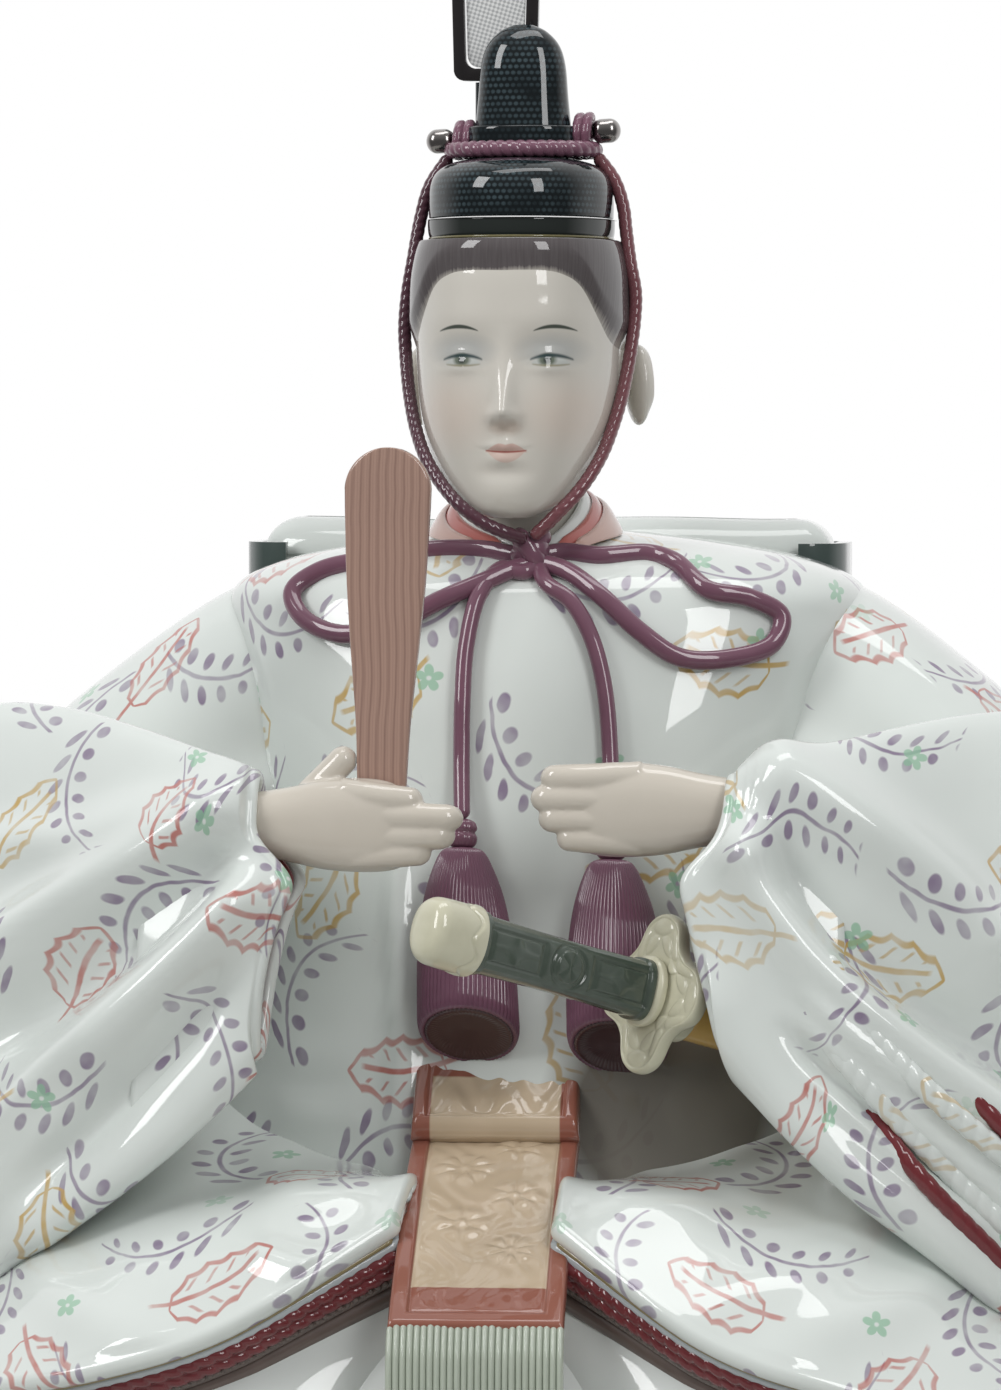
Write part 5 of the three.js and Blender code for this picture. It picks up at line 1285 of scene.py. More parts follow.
@dataclass
class Cap:
    """The black court cap with its upright, band, hairpin and cord."""

    sizes: CapSizes = field(default_factory=CapSizes)

    def stack(self, rows: Rows, steps: int, wide: float, front: float, back: float, roundness: float,
              foot: float, height: float, middle: float) -> Shell:
        """Rings up a form, from rows of height share and width share."""
        r = rows_at(rows, np.linspace(0, 1, steps))
        z = foot + r[:, 0] * height
        return Shell(oval(160, r[:, 1] * wide, r[:, 1] * front, r[:, 1] * back, roundness,
                          (self.sizes.offset + 0 * z, middle + 0 * z, z)), seam=40)

    def tilted(self, rings: Grid) -> Grid:
        """Points turned with the hairpin's slight slope."""
        s = self.sizes
        x, z = rings[..., 0] - s.offset, rings[..., 2] - s.pin_height
        c, n = math.cos(s.pin_tilt), math.sin(s.pin_tilt)
        return np.stack([s.offset + x * c - z * n, rings[..., 1], s.pin_height + z * c + x * n], -1)

    def bar(self, low: float, high: float, radius: float, flat: float = 1.0, dome: float = 1.0) -> Shell:
        """A round bar across the cap with domed ends."""
        s = self.sizes
        turn = np.linspace(0, np.pi / 2, 12)
        x = np.concatenate([low + radius * dome * (1 - np.cos(turn)),
                            high - radius * dome * (1 - np.cos(turn[::-1]))])
        r = radius * np.concatenate([np.sin(turn), np.sin(turn[::-1])])
        r = np.maximum(r, 0.02)
        a = np.linspace(0, 2 * np.pi, 40, endpoint=False)
        ring = np.stack([x[:, None] + 0 * a, s.upright_back + r[:, None] * np.cos(a) * flat,
                         s.pin_height + r[:, None] * np.sin(a)], -1)
        return Shell(self.tilted(ring))

    def build(self, black: Finish, plain: Finish, gold: Finish, pin: Finish, cord: Finish) -> None:
        """Makes every piece of the cap but the plume."""
        s = self.sizes
        brim = self.stack([[0, 0.9], [0.0, 0.97], [0.1, 0.985], [0.3, 0.995], [0.6, 1.0], [0.9, 1.0],
                           [0.98, 0.996], [1, 0.985], [1, 0.5]], 60,
                          s.brim_half_width, s.brim_depth, s.brim_depth, s.roundness, s.brim_foot,
                          s.brim_height, s.back)
        glazed("cap_brim", [brim], plain)
        edge = self.stack([[0, 0.93], [0, 0.985], [0.5, 0.995], [1, 0.985], [1, 0.93]], 12,
                          s.brim_half_width, s.brim_depth, s.brim_depth, s.roundness, s.brim_foot - 0.1, 0.5,
                          s.back)
        settle(make_piece("cap_brim_line", [edge]), gold, ["cap_brim"])
        wide, deep = s.brim_half_width - 0.2, s.brim_depth - 0.2
        crown = self.stack([[0, 0.9], [0, 0.985], [0.06, 0.998], [0.3, 1.0], [0.56, 0.985], [0.76, 0.93],
                            [0.9, 0.82], [0.97, 0.68], [1, 0.55], [1, 0.3]], 80,
                           wide, deep, deep, s.roundness, s.crown_foot, s.crown_height, s.back)
        glazed("cap_crown", [crown], black)
        upright = self.stack([[0, 0.97], [0.0, 1.02], [0.2, 0.985], [0.45, 0.92], [0.7, 0.86], [0.85, 0.73],
                              [0.95, 0.48], [1, 0.2]], 80, s.upright_half_width, s.upright_depth,
                             s.upright_depth, s.upright_roundness, s.crown_top + s.gap, s.upright_height,
                             s.upright_back)
        glazed("cap_upright", [upright], black)
        grow = 1 + (s.band_proud + s.gap) / s.upright_half_width
        band = self.stack([[0, 0.985], [0.04, grow], [0.5, grow + 0.012], [0.96, grow], [1, 0.985]], 30,
                          s.upright_half_width, s.upright_depth * 1.04, s.upright_depth * 1.04,
                          s.upright_roundness, s.crown_top + s.gap + s.band_height / 2, s.band_height,
                          s.upright_back)
        glazed("cap_upright_band", [band], black)
        half, head = s.pin_half_length, s.head_length
        shells = [self.bar(s.offset - half + 2, s.offset + half - 2, s.pin_radius)]
        for side in (-1, 1):
            ends = sorted((s.offset + side * half, s.offset + side * (half - head)))
            shells.append(self.bar(ends[0], ends[1], s.head_radius, 0.95, 0.9))
        glazed("hairpin", shells, pin)
        for side, word in ((-1, "right"), (1, "left")):
            inner = s.upright_half_width + s.band_proud + s.wrap_stand + s.gap
            turns = []
            for k in (-0.5, 0.5):
                angle = np.linspace(0, 2 * np.pi, 12, endpoint=False)
                radius = s.pin_radius + 2 * s.gap + s.wrap_radius
                lean = 0.5 * np.sin(angle)
                loop = np.stack([s.offset + side * inner + k * s.wrap_step + lean,
                                 s.upright_back + radius * np.cos(angle),
                                 s.pin_height + radius * np.sin(angle)], -1)
                turns.append(tube(self.tilted(loop), s.wrap_radius, 48, 14, closed=True, twist=0.4,
                                  relief=0.1))
            glazed(f"{word}_pin_wrap", turns, cord)
        angle = np.linspace(0, 2 * np.pi, 24, endpoint=False)
        ring = np.stack([s.offset + np.cos(angle) * (s.upright_half_width + s.cord_reach),
                         s.upright_back + np.sin(angle) * (s.upright_depth + s.cord_reach * 0.7),
                         0 * angle + s.crown_top + s.cord_lift + s.gap], -1)
        coil = tube(ring, s.cord_radius, 420, 20, closed=True, twist=0.26, relief=0.1)
        glazed("cap_cord", [coil], cord)


@dataclass
class Plume:
    """The tall frame of gauze behind the cap, and the socket it stands in.

    Attributes:
        socket_edge: where the socket's side is flattened, so that the cap hides it, in millimetres.
    """

    socket_edge: float = -13.1

    def build(self, frame_finish: Finish, gauze: Finish, black: Finish) -> None:
        """Makes the frame, its gauze and the socket."""
        settle(cad_copy("plume_frame", "plume_frame_wire", 0.55, 3), frame_finish, ["plume_frame"],
               Body.PLUME)
        cloth = cad_copy("plume_gauze", "plume_gauze_cloth")
        settle(cloth, gauze, ["plume_gauze"], Body.PLUME)
        socket = cad_copy("plume_socket", "plume_socket_glazed", 0.3)
        for vertex in socket.data.vertices:
            vertex.co.x = max(vertex.co.x, self.socket_edge * MM)
        settle(socket, black, ["plume_socket"])


# Cords, bow and tassels


@dataclass(frozen=True)
class CordSizes:
    """Sizes of the chin cords, the bow and the tassels, in millimetres."""

    chin_radius: float = 1.22
    bow_radius: float = 1.75
    tail_radius: float = 1.55
    knot_offset: float = 2.2
    knot_height: float = 180.0
    knot_radius: float = 3.7
    bow_reach: float = 47.0
    bow_drop: float = 19.0
    tail_spread: float = 16.0
    tail_drop: float = 48.5
    tassel_radius: float = 9.2
    tassel_height: float = 34.6
    flat: float = 0.72
    lean: float = 0.24
    aside: float = 0.07
    slant: float = 0.5
    slant_from: float = 0.45
    knob_radius: float = 2.9
    knob_height: float = 5.2
    gap: float = 0.3
    right_chin: Rows = (
        (-16.6, -17.1, 254.5), (-20.3, -17.8, 248.8), (-21.9, -18.5, 243.1), (-23.1, -20.5, 234.9),
        (-24.1, -21.0, 228.7), (-24.5, -21.8, 222.5), (-24.0, -23.2, 216.2), (-22.8, -26.4, 209.3),
        (-21.0, -30.2, 203.1), (-18.5, -34.2, 197.8), (-15.0, -37.4, 193.0), (-11.2, -39.8, 189.2),
        (-6.8, -40.6, 186.1), (-2.6, -39.4, 184.2), (0.6, -37.2, 183.0))
    left_chin: Rows = (
        (11.0, -17.1, 254.5), (14.6, -17.8, 249.6), (16.3, -18.4, 244.6), (16.9, -19.2, 240.4),
        (17.9, -20.6, 234.1), (18.9, -21.0, 228.6), (18.8, -21.6, 223.6), (18.3, -22.7, 218.6),
        (17.6, -23.8, 213.7), (16.8, -26.2, 208.7), (15.6, -28.6, 203.8), (14.2, -31.5, 199.2),
        (12.1, -34.2, 194.9), (9.5, -35.9, 191.2), (6.5, -37.2, 188.0), (3.9, -37.4, 185.4),
        (1.6, -36.6, 183.4))
    right_loop: Rows = (
        (0.02, -0.02), (-0.09, 0.0), (-0.22, 0.05), (-0.42, 0.05), (-0.66, -0.04), (-0.88, -0.16),
        (-0.98, -0.36), (-0.93, -0.6), (-0.76, -0.76), (-0.55, -0.66), (-0.36, -0.42), (-0.2, -0.25),
        (-0.09, -0.13), (0.02, -0.06))
    left_loop: Rows = (
        (-0.02, -0.02), (0.09, 0.03), (0.24, 0.0), (0.43, 0.02), (0.54, -0.06), (0.68, -0.32), (0.84, -0.4),
        (0.96, -0.58), (0.93, -0.84), (0.76, -0.98), (0.58, -0.96), (0.43, -0.72), (0.27, -0.38),
        (0.12, -0.14), (0.0, -0.06))
    right_tail: Rows = (
        (0.05, -0.02), (-0.12, -0.06), (-0.4, -0.05), (-0.62, -0.15), (-0.73, -0.33), (-0.75, -0.54),
        (-0.74, -0.77), (-0.7, -0.98))
    left_tail: Rows = ((0.0, -0.02), (0.14, -0.1), (0.45, -0.17), (0.7, -0.3), (0.87, -0.48), (0.96, -0.74),
                       (1.0, -1.02))


@dataclass
class Cords:
    """Chin cords, bow, cord tails and tassels, lying on the chest."""

    trunk: Trunk
    sizes: CordSizes = field(default_factory=CordSizes)

    def route(self, shares: Rows, reach: float, drop: float, proud: float) -> Grid:
        """Points over the chest from shares of reach and drop."""
        r = np.asarray(shares, float)
        x = self.sizes.knot_offset + r[:, 0] * reach
        return self.trunk.on_chest(x, self.sizes.knot_height + r[:, 1] * drop, proud)

    def hung(self, rings: Grid, end: Grid) -> Grid:
        """Rings flattened, leant forwards and hung from a point."""
        s = self.sizes
        y, z = rings[..., 1] * s.flat, rings[..., 2]
        c, n = math.cos(s.lean), math.sin(s.lean)
        y, z = y * c + z * n, -y * n + z * c
        return np.stack([rings[..., 0] - z * s.aside, y, z], -1) + end

    def turned(self, profile: Rows, radius: float, height: float, steps: int, strands: int,
               deep: float, slanted: bool = False, seed: int = 1) -> Grid:
        """Rings turned from a profile of radius and height shares, with strands round it."""
        s = self.sizes
        r = spline(profile, steps)
        turn = np.linspace(0, 2 * np.pi, 16 * strands if strands else 64, endpoint=False)[None, :]
        rng = np.random.default_rng(seed)
        wander = sum(0.3 * np.sin(k * turn + rng.uniform(0, 6)) for k in (2, 3, 5))
        lay = turn + (0.02 * wander + 0.35) * np.linspace(0, 1, steps)[:, None]
        flute = deep * (np.abs(np.cos(lay * strands / 2)) ** 0.8 - 1) if strands else 0 * turn
        out = np.maximum(r[:, :1] * radius + flute * np.clip(r[:, :1] * 1.5, 0, 1), 0.02)
        low = np.clip(-r[:, 1:] - s.slant_from, 0, 1) / (1 - s.slant_from) if slanted else 0.0
        y = out * np.sin(turn)
        return np.stack([out * np.cos(turn), y, r[:, 1:] * height - s.slant * low * y], -1)

    def tassel(self, word: str, end: Grid, cord: Finish, tassel: Finish, core: Finish) -> None:
        """Makes one tassel: knob, skirt of strands and the dark core under it."""
        s = self.sizes
        knob_at = end + (0, -s.knob_radius * s.flat, -s.knob_height / 2)
        knob = self.turned([[0.02, 0.5], [0.5, 0.5], [0.9, 0.36], [1, 0.16], [0.84, 0.02], [0.98, -0.14],
                            [0.9, -0.36], [0.6, -0.5], [0.02, -0.5]],
                           s.knob_radius, s.knob_height, 60, 10, 0.14)
        glazed(f"{word}_tassel_knob", [Shell(self.hung(knob, knob_at))], cord)
        foot = np.array([0, 0, -s.knob_height / 2 - s.gap])
        skirt = self.turned([[0.1, 0], [0.34, 0.0], [0.46, -0.025], [0.6, -0.1], [0.78, -0.24], [0.91, -0.42],
                             [0.98, -0.62], [1.01, -0.86], [1.01, -0.94], [0.97, -0.975], [0.9, -0.98],
                             [0.86, -0.96], [0.84, -0.9], [0.1, -0.9]],
                            s.tassel_radius, s.tassel_height, 150, 64, 0.16, True, 3)
        glazed(f"{word}_tassel", [Shell(self.hung(skirt + foot, knob_at))], tassel)
        plug = self.turned([[0.02, -0.955], [0.6, -0.968], [0.88, -0.975], [0.88, -0.93], [0.02, -0.92]],
                           s.tassel_radius, s.tassel_height, 60, 60, 0.22, True, 5)
        settle(make_piece(f"{word}_tassel_core", [Shell(self.hung(plug + foot, knob_at))]), core,
               [f"{word}_tassel"])

    def build(self, left: Finish, right: Finish, bow: Finish, tassel: Finish, core: Finish) -> None:
        """Makes every cord."""
        s = self.sizes
        for word, points, finish in (("right", s.right_chin, right), ("left", s.left_chin, left)):
            cord = tube(points, s.chin_radius, 520, 22, twist=0.2, relief=0.045, strands=3)
            glazed(f"{word}_chin_cord", [cord], finish)
        for word, loop, tail in (("right", s.right_loop, s.right_tail), ("left", s.left_loop, s.left_tail)):
            line = self.route(loop, s.bow_reach, s.bow_drop, s.bow_radius * 0.8 + 3 * s.gap)
            ribbon = tube(line, s.bow_radius, 320, 26, flat=0.74)
            glazed(f"{word}_bow_loop", [ribbon], bow)
            fall = self.route(tail, s.tail_spread, s.tail_drop, s.tail_radius + 2 * s.gap)
            end = fall[-1].copy()
            fall[-1, 1] -= s.knob_radius * s.flat
            glazed(f"{word}_cord_tail", [tube(fall, s.tail_radius, 260, 22, flat=0.85)], bow)
            self.tassel(word, end, bow, tassel, core)
        ahead = float(self.trunk.front(s.knot_offset, s.knot_height)) - s.knot_radius
        centre = np.array([s.knot_offset - 1.2, ahead, s.knot_height + 1.2])
        core_shape = tube(centre + np.array([[-3.0, 0.6, 1.2], [0, -0.4, 0.2], [3.2, 0.6, -0.8]]),
                          2.9, 40, 24)
        over = tube(centre + np.array([[-2.9, 1, 2.4], [-1.6, -1.6, 1.9], [0.4, -2.2, -0.6],
                                       [1.8, -1.2, -2.8], [2.6, 1, -3.4]]), 1.8, 60, 22, flat=0.8)
        under = tube(centre + np.array([[-3.2, 1, -1.8], [-1.2, -1.3, -0.4], [1.4, -1.2, 1.9],
                                        [3.2, 1, 2.6]]), 1.75, 60, 22, flat=0.85)
        glazed("bow_knot", [core_shape, over, under], bow)


# Hands, baton and sword


@dataclass(frozen=True)
class HandSizes:
    """Sizes of a hand in millimetres, and its rows as shares of them."""

    wrist: tuple = (41.0, -77.5, 133.0)
    length: float = 36.0
    half_height: float = 8.4
    depth: float = 4.9
    finger: float = 2.62
    thumb: float = 2.6
    palm: Rows = (
        (-0.28, 0.0, 0.62, 0.84), (-0.1, 0.0, 0.66, 0.88), (0.1, 0.0, 0.78, 0.96), (0.3, 0.0, 0.95, 1.0),
        (0.48, 0.0, 1.0, 1.0), (0.62, -0.02, 0.95, 0.92), (0.7, -0.06, 0.8, 0.7))
    right_fingers: Rows = (
        (0.7, 0.52, 0.8, 1.0), (0.24, 0.17, 1.0, 1.05), (-0.22, -0.2, 0.96, 1.02), (-0.66, -0.56, 0.84, 0.94))
    left_fingers: Rows = (
        (0.72, 0.66, 0.9, 1.0), (0.25, 0.23, 0.95, 1.05), (-0.22, -0.2, 0.91, 1.02),
        (-0.68, -0.6, 0.82, 0.96))


@dataclass(frozen=True)
class BatonSizes:
    """Sizes of the baton in millimetres."""

    half_width: float = 7.8
    foot_half_width: float = 4.0
    length: float = 71.0
    thickness: float = 2.6
    lean: float = 0.022
    across: float = 20.6
    step: float = 4.6


@dataclass
class Hands:
    """Both hands and the baton that stands in the right one."""

    sizes: HandSizes = field(default_factory=HandSizes)
    baton: BatonSizes = field(default_factory=BatonSizes)

    def finger(self, side: int, wrist: Grid, row: Sequence[float]) -> Shell:
        """One finger with its knuckles."""
        s = self.sizes
        base, tip, reach, thick = row
        along = np.linspace(0, 1, 60)
        root = 0.4
        x = wrist[0] + side * (root + (reach - root) * along) * s.length
        tip_round = np.sqrt(np.clip(1 - np.clip((along - 0.86) / 0.14, 0, 0.995) ** 2, 0.001, 1))
        knuckle = 1 + 0.025 * hump(along, 0.3, 0.07) + 0.02 * hump(along, 0.66, 0.06)
        radius = s.finger * thick * (1 - 0.13 * along) * tip_round * knuckle
        curl = -s.depth * 0.42 * np.sin(along * 2.1 + 0.5)
        z = wrist[2] + s.half_height * (base + (tip - base) * along)
        turn = np.linspace(0, 2 * np.pi, 28, endpoint=False)
        ring = np.stack([x[:, None] + 0 * turn,
                         wrist[1] + curl[:, None] + radius[:, None] * 0.98 * np.cos(turn),
                         z[:, None] + radius[:, None] * 1.02 * np.sin(turn)], -1)
        return Shell(ring)

    def hand(self, side: int, word: str, wrist: Grid, rise: float, skin: Finish, slotted: bool) -> None:
        """Makes one hand from its palm, fingers and a thumb that rises this far."""
        s = self.sizes
        fingers = s.right_fingers if side > 0 else s.left_fingers
        rows = rows_at(s.palm, np.linspace(0, 1, 70))
        turn = np.linspace(0, 2 * np.pi, 60, endpoint=False)
        palm = np.stack([wrist[0] + side * rows[:, :1] * s.length + 0 * turn,
                         wrist[1] + power(np.cos(turn), 0.85) * rows[:, 3:4] * s.depth,
                         wrist[2] + rows[:, 1:2] * s.half_height
                         + power(np.sin(turn), 0.85) * rows[:, 2:3] * s.half_height], -1)
        shells = [Shell(palm)] + [self.finger(side, wrist, row) for row in fingers]
        thumb = [[0.1, 0.4, 0.07], [0.2, 0.5, 0.4], [0.31, 0.52, 0.72], [0.43, 0.55, 1.08]]
        line = [[wrist[0] + side * a * s.length, wrist[1] + b * s.depth, wrist[2] + c * rise]
                for a, b, c in thumb]
        shells.append(tube(line, s.thumb, 60, 26))
        piece = melted(make_piece(f"{word}_hand_glazed", shells), 0.32, 5)
        if slotted:
            pierced(piece, make_piece("slot", [self.plate(0.35)]))
        settle(piece, skin, [f"{word}_hand"])

    def plate(self, grow: float = 0.0) -> Shell:
        """The baton: a tapered plate with a round head."""
        b, s = self.baton, self.sizes
        z = np.concatenate([np.linspace(0, b.length - b.half_width, 90),
                            b.length - b.half_width * (1 - np.sin(np.linspace(0, np.pi / 2, 30)[1:]))])
        share = z / (b.length - b.half_width)
        wide = np.interp(share, [0, 0.337, 0.55, 0.75, 1],
                         [b.foot_half_width, b.foot_half_width * 1.2, 6.1, 7.15, b.half_width])
        wide = np.convolve(np.pad(wide, 6, "edge"), np.ones(13) / 13, "valid")
        over = np.clip((z - (b.length - b.half_width)) / b.half_width, 0, 0.999)
        wide = np.where(over > 0, b.half_width * np.sqrt(1 - over**2), wide) + grow
        thick = np.minimum(b.thickness / 2, wide) * np.where(z < 0.6, 0.85, 1) + grow
        ring = oval(72, wide, thick, thick, 6, (0 * z, 0 * z, z - grow * (z < 1)))
        x, y, up = ring[..., 0], ring[..., 1], ring[..., 2]
        c, n = math.cos(b.lean), math.sin(b.lean)
        ring = np.stack([x * c + up * n, y, -x * n + up * c], -1)
        foot = np.array([-s.wrist[0] + b.across, s.wrist[1] + b.thickness * 0.8,
                         s.wrist[2] - s.half_height + b.step])
        return Shell(ring + foot, seam=18)

    def build(self, skin: Finish, wood: Finish) -> None:
        """Makes the hands and the baton."""
        w = self.sizes.wrist
        self.hand(1, "right", np.array([-w[0], w[1], w[2]]), 12.2, skin, True)
        self.hand(-1, "left", np.array([w[0] - 0.3, w[1] + 3, w[2] + 3]), 5.6, skin, False)
        glazed("baton", [self.plate()], wood, Body.BATON)


@dataclass(frozen=True)
class SwordSizes:
    """Sizes of the sword in millimetres, from its guard."""

    guard: tuple = (29.0, -77.0, 103.5)
    across: float = -34.5
    forward: float = -38.0
    rise: float = 14.5
    guard_thickness: float = 3.0
    guard_half_height: float = 14.5
    guard_half_width: float = 13.0
    collar_radius: float = 6.4
    collar_height: float = 1.8
    grip_length: float = 40.0
    grip_half_height: float = 5.2
    grip_half_width: float = 3.9
    pommel_length: float = 11.0
    pommel_proud: float = 0.9
    scabbard_length: float = 64.0
    scabbard_half_height: float = 6.6
    scabbard_half_width: float = 4.6
    scabbard_collar: float = 5.0
    collar_proud: float = 0.8
    gap: float = 0.3


@dataclass
class Sword:
    """Grip, guard and pommel that draw out of a scabbard."""

    sizes: SwordSizes = field(default_factory=SwordSizes)

    def placed(self, local: Grid) -> Grid:
        """Points turned from the sword's own frame, whose third number runs from the guard to the pommel."""
        s = self.sizes
        axis = unit(np.array([s.across, s.forward, s.rise]))
        side = unit(np.cross([0, 0, 1], axis))
        up = np.cross(axis, side)
        return np.array(s.guard) + local[..., :1] * side + local[..., 1:2] * up + local[..., 2:] * axis

    def body(self, rows: Rows, steps: int, roundness: float, relief: Optional[Callable] = None,
             count: int = 160) -> Shell:
        """A form along the sword, from rows of place, half width and half height."""
        r = rows_at(rows, np.linspace(0, 1, steps))
        turn = np.linspace(0, 2 * np.pi, count, endpoint=False)[None, :]
        x = power(np.cos(turn), 2 / roundness) * r[:, 1:2]
        y = power(np.sin(turn), 2 / roundness) * r[:, 2:3]
        rings = np.stack([x, y, r[:, :1] + 0 * turn], -1)
        if relief:
            out = unit(np.stack([x / r[:, 1:2] ** 2, y / r[:, 2:3] ** 2, 0 * x], -1))
            rings = rings + out * relief(rings)[..., None]
        return Shell(self.placed(rings))

    def engraved(self, rings: Grid) -> Grid:
        """Relief of the grip: raised edges, framed panels and a small flower in the middle."""
        s = self.sizes
        foot = s.guard_thickness / 2 + s.collar_height + 2 * s.gap
        along, y = rings[..., 2] - foot - s.grip_length / 2, rings[..., 1]
        face = smooth(np.abs(rings[..., 0]), s.grip_half_width * 0.7, s.grip_half_width * 0.93)
        edge = 0.5 * smooth(np.abs(y), 3.6, 4.3)
        frame_line = 0.0
        for centre, half in ((-12.3, 6.2), (12.3, 6.2)):
            box = np.maximum(np.abs(along - centre) / half, np.abs(y) / 2.9)
            frame_line = (frame_line - 0.32 * hump(box, 1.0, 0.1)
                          + 0.2 * hump(np.abs(y) * np.abs(along - centre), 0, 1.6) * (box < 0.85))
        radius, angle = np.hypot(along, y), np.arctan2(y, along)
        flower = (0.42 * (radius < 3.1) * (0.45 + 0.55 * np.abs(np.cos(2.5 * angle)) ** 0.5)
                  * smooth(3.1 - radius, 0, 0.6))
        ring = -0.3 * hump(radius, 3.9, 0.3)
        ends = 0.45 * smooth(np.abs(along), 18.4, 18.9)
        return face * (frame_line + flower + ring) + np.maximum(edge * face, ends)

    def guard(self) -> Shell:
        """The four-lobed guard with rings of petals in relief."""
        s = self.sizes
        turn = np.linspace(0, 2 * np.pi, 320, endpoint=False)[None, :]
        lobe = 0.9 + 0.1 * np.cos(4 * turn) - 0.1 * hump(np.abs(np.sin(2 * turn)), 1, 0.25)
        half = s.guard_thickness / 2
        inner = np.linspace(0.02, 0.955, 90)
        arc = np.linspace(0, np.pi, 14)[1:-1]
        reach = np.concatenate([inner, 0.955 + 0.045 * np.sin(arc), inner[::-1]])[:, None]
        level = np.concatenate([np.full(90, half), half * np.cos(arc), np.full(90, -half)])[:, None] * 0.86
        petals = 0.0
        for low, high, count, turn_by in ((0.55, 0.74, 12, 0.0), (0.72, 0.93, 12, 0.5)):
            middle, spread = (low + high) / 2, (high - low) / 2
            cell = (turn * count / (2 * np.pi) + turn_by) % 1 - 0.5
            drop = (1 - ((reach - middle) / spread) ** 2
                    - (cell / (0.42 + 0.1 * (reach - middle) / spread)) ** 2)
            petals = petals + 0.34 * np.sqrt(np.clip(drop, 0, 1))
        rim = 0.22 * smooth(reach, 0.925, 0.95)
        z = level + np.where(level > 0, petals + rim - 0.12, -(petals + rim) * 0.7)
        x = np.cos(turn) * s.guard_half_width * lobe * reach
        y = np.sin(turn) * s.guard_half_height * lobe * reach
        return Shell(self.placed(np.stack(np.broadcast_arrays(x, y, z), -1)))

    def build(self, cream: Finish, grip: Finish, ochre: Finish) -> None:
        """Makes the sword and its scabbard."""
        s = self.sizes
        foot = s.guard_thickness / 2 + s.gap
        glazed("sword_guard", [self.guard()], cream, Body.SWORD)
        r, h = s.collar_radius, s.collar_height
        collar = self.body([[foot, r * 0.78, r * 0.98], [foot + h * 0.3, r * 0.8, r],
                            [foot + h * 0.7, r * 0.79, r * 0.99],
                            [foot + h, r * 0.7, r * 0.88]], 24, 2.2)
        glazed("guard_collar", [collar], cream, Body.SWORD)
        low = s.guard_thickness / 2 + s.collar_height + 2 * s.gap
        w, t = s.grip_half_width, s.grip_half_height
        rows = [[low + q * s.grip_length, w * (1 - 0.06 * math.sin(math.pi * q)),
                 t * (1 - 0.06 * math.sin(math.pi * q))]
                for q in (0, 0.15, 0.35, 0.5, 0.65, 0.85, 1)]
        glazed("sword_grip", [self.body(rows, 330, 3, self.engraved, 300)], grip, Body.SWORD)
        high = low + s.grip_length + s.gap
        wp, tp = w + s.pommel_proud, t + s.pommel_proud
        rows = [[high + q * s.pommel_length, k * wp, k * tp]
                for q, k in ((0, 0.9), (0.02, 0.99), (0.3, 1.0), (0.62, 0.99), (0.8, 0.95), (0.93, 0.78),
                             (0.985, 0.5), (1, 0.12))]

        def waves(rings: Grid) -> Grid:
            """A scalloped line round the pommel's foot and a raised one near its middle."""
            along = rings[..., 2] - high
            angle = np.arctan2(rings[..., 1] / tp, rings[..., 0] / wp)
            line = 2.2 + 0.9 * np.cos(6 * angle)
            return 0.3 * smooth(line - along, -0.25, 0.25) - 0.25 * hump(along, line, 0.45)

        glazed("sword_pommel", [self.body(rows, 150, 2.25, waves)], cream, Body.SWORD)
        mouth = -s.guard_thickness / 2 - s.gap
        end = mouth - s.scabbard_collar - s.gap
        w2, t2 = s.scabbard_half_width, s.scabbard_half_height
        rows = [[end - q * s.scabbard_length, k * w2, k * t2]
                for q, k in ((1, 0.7), (0.8, 0.92), (0.4, 0.98), (0, 1))]
        glazed("scabbard", [self.body(rows, 60, 2.2)], ochre)
        w3, t3 = w2 + s.collar_proud, t2 + s.collar_proud
        rows = [[mouth - s.scabbard_collar, w3 * 0.95, t3 * 0.95], [mouth - s.scabbard_collar * 0.9, w3, t3],
                [mouth - s.scabbard_collar * 0.5, w3 * 1.01, t3 * 1.01], [mouth - 0.4, w3, t3],
                [mouth, w3 * 0.95, t3 * 0.95]]
        glazed("scabbard_collar", [self.body(rows, 30, 2.2)], cream)
        settle(cad_copy("sword_peg", "sword_peg_glazed", 0.3), cream, ["sword_peg"], Body.SWORD)


# Sleeves


@dataclass(frozen=True)
class SleeveSizes:
    """Sizes of a sleeve in millimetres, and its rows as shares of them."""

    reach: float = 150.0
    forward: float = 90.0
    height: float = 152.0
    thickness: float = 30.0
    wall: float = 2.8
    lining: float = 1.6
    gap: float = 0.3
    rows: Rows = (
        (0.287, -0.85, 0.94, 0.28, -0.93, 0.6, 0.27, 0.27),
        (0.34, -0.81, 0.955, 0.335, -0.955, 0.535, 0.32, 0.38),
        (0.44, -0.7, 0.98, 0.43, -0.965, 0.455, 0.37, 0.58),
        (0.56, -0.52, 0.998, 0.56, -0.93, 0.36, 0.4, 0.8),
        (0.67, -0.41, 0.995, 0.69, -0.85, 0.255, 0.42, 0.98),
        (0.76, -0.3, 0.93, 0.82, -0.75, 0.165, 0.4, 0.96),
        (0.85, -0.24, 0.74, 0.93, -0.63, 0.1, 0.32, 0.72), (0.95, -0.26, 0.4, 0.99, -0.5, 0.065, 0.2, 0.34))
    arm: Rows = (
        (0.2, -0.26, 0.36, 0.66, 1.175), (0.27, -0.3, 0.36, 0.62, 1.18), (0.41, -0.36, 0.36, 0.5, 1.135),
        (0.56, -0.44, 0.3, 0.38, 1.03), (0.68, -0.44, 0.22, 0.28, 0.925), (0.79, -0.42, 0.12, 0.2, 0.8))


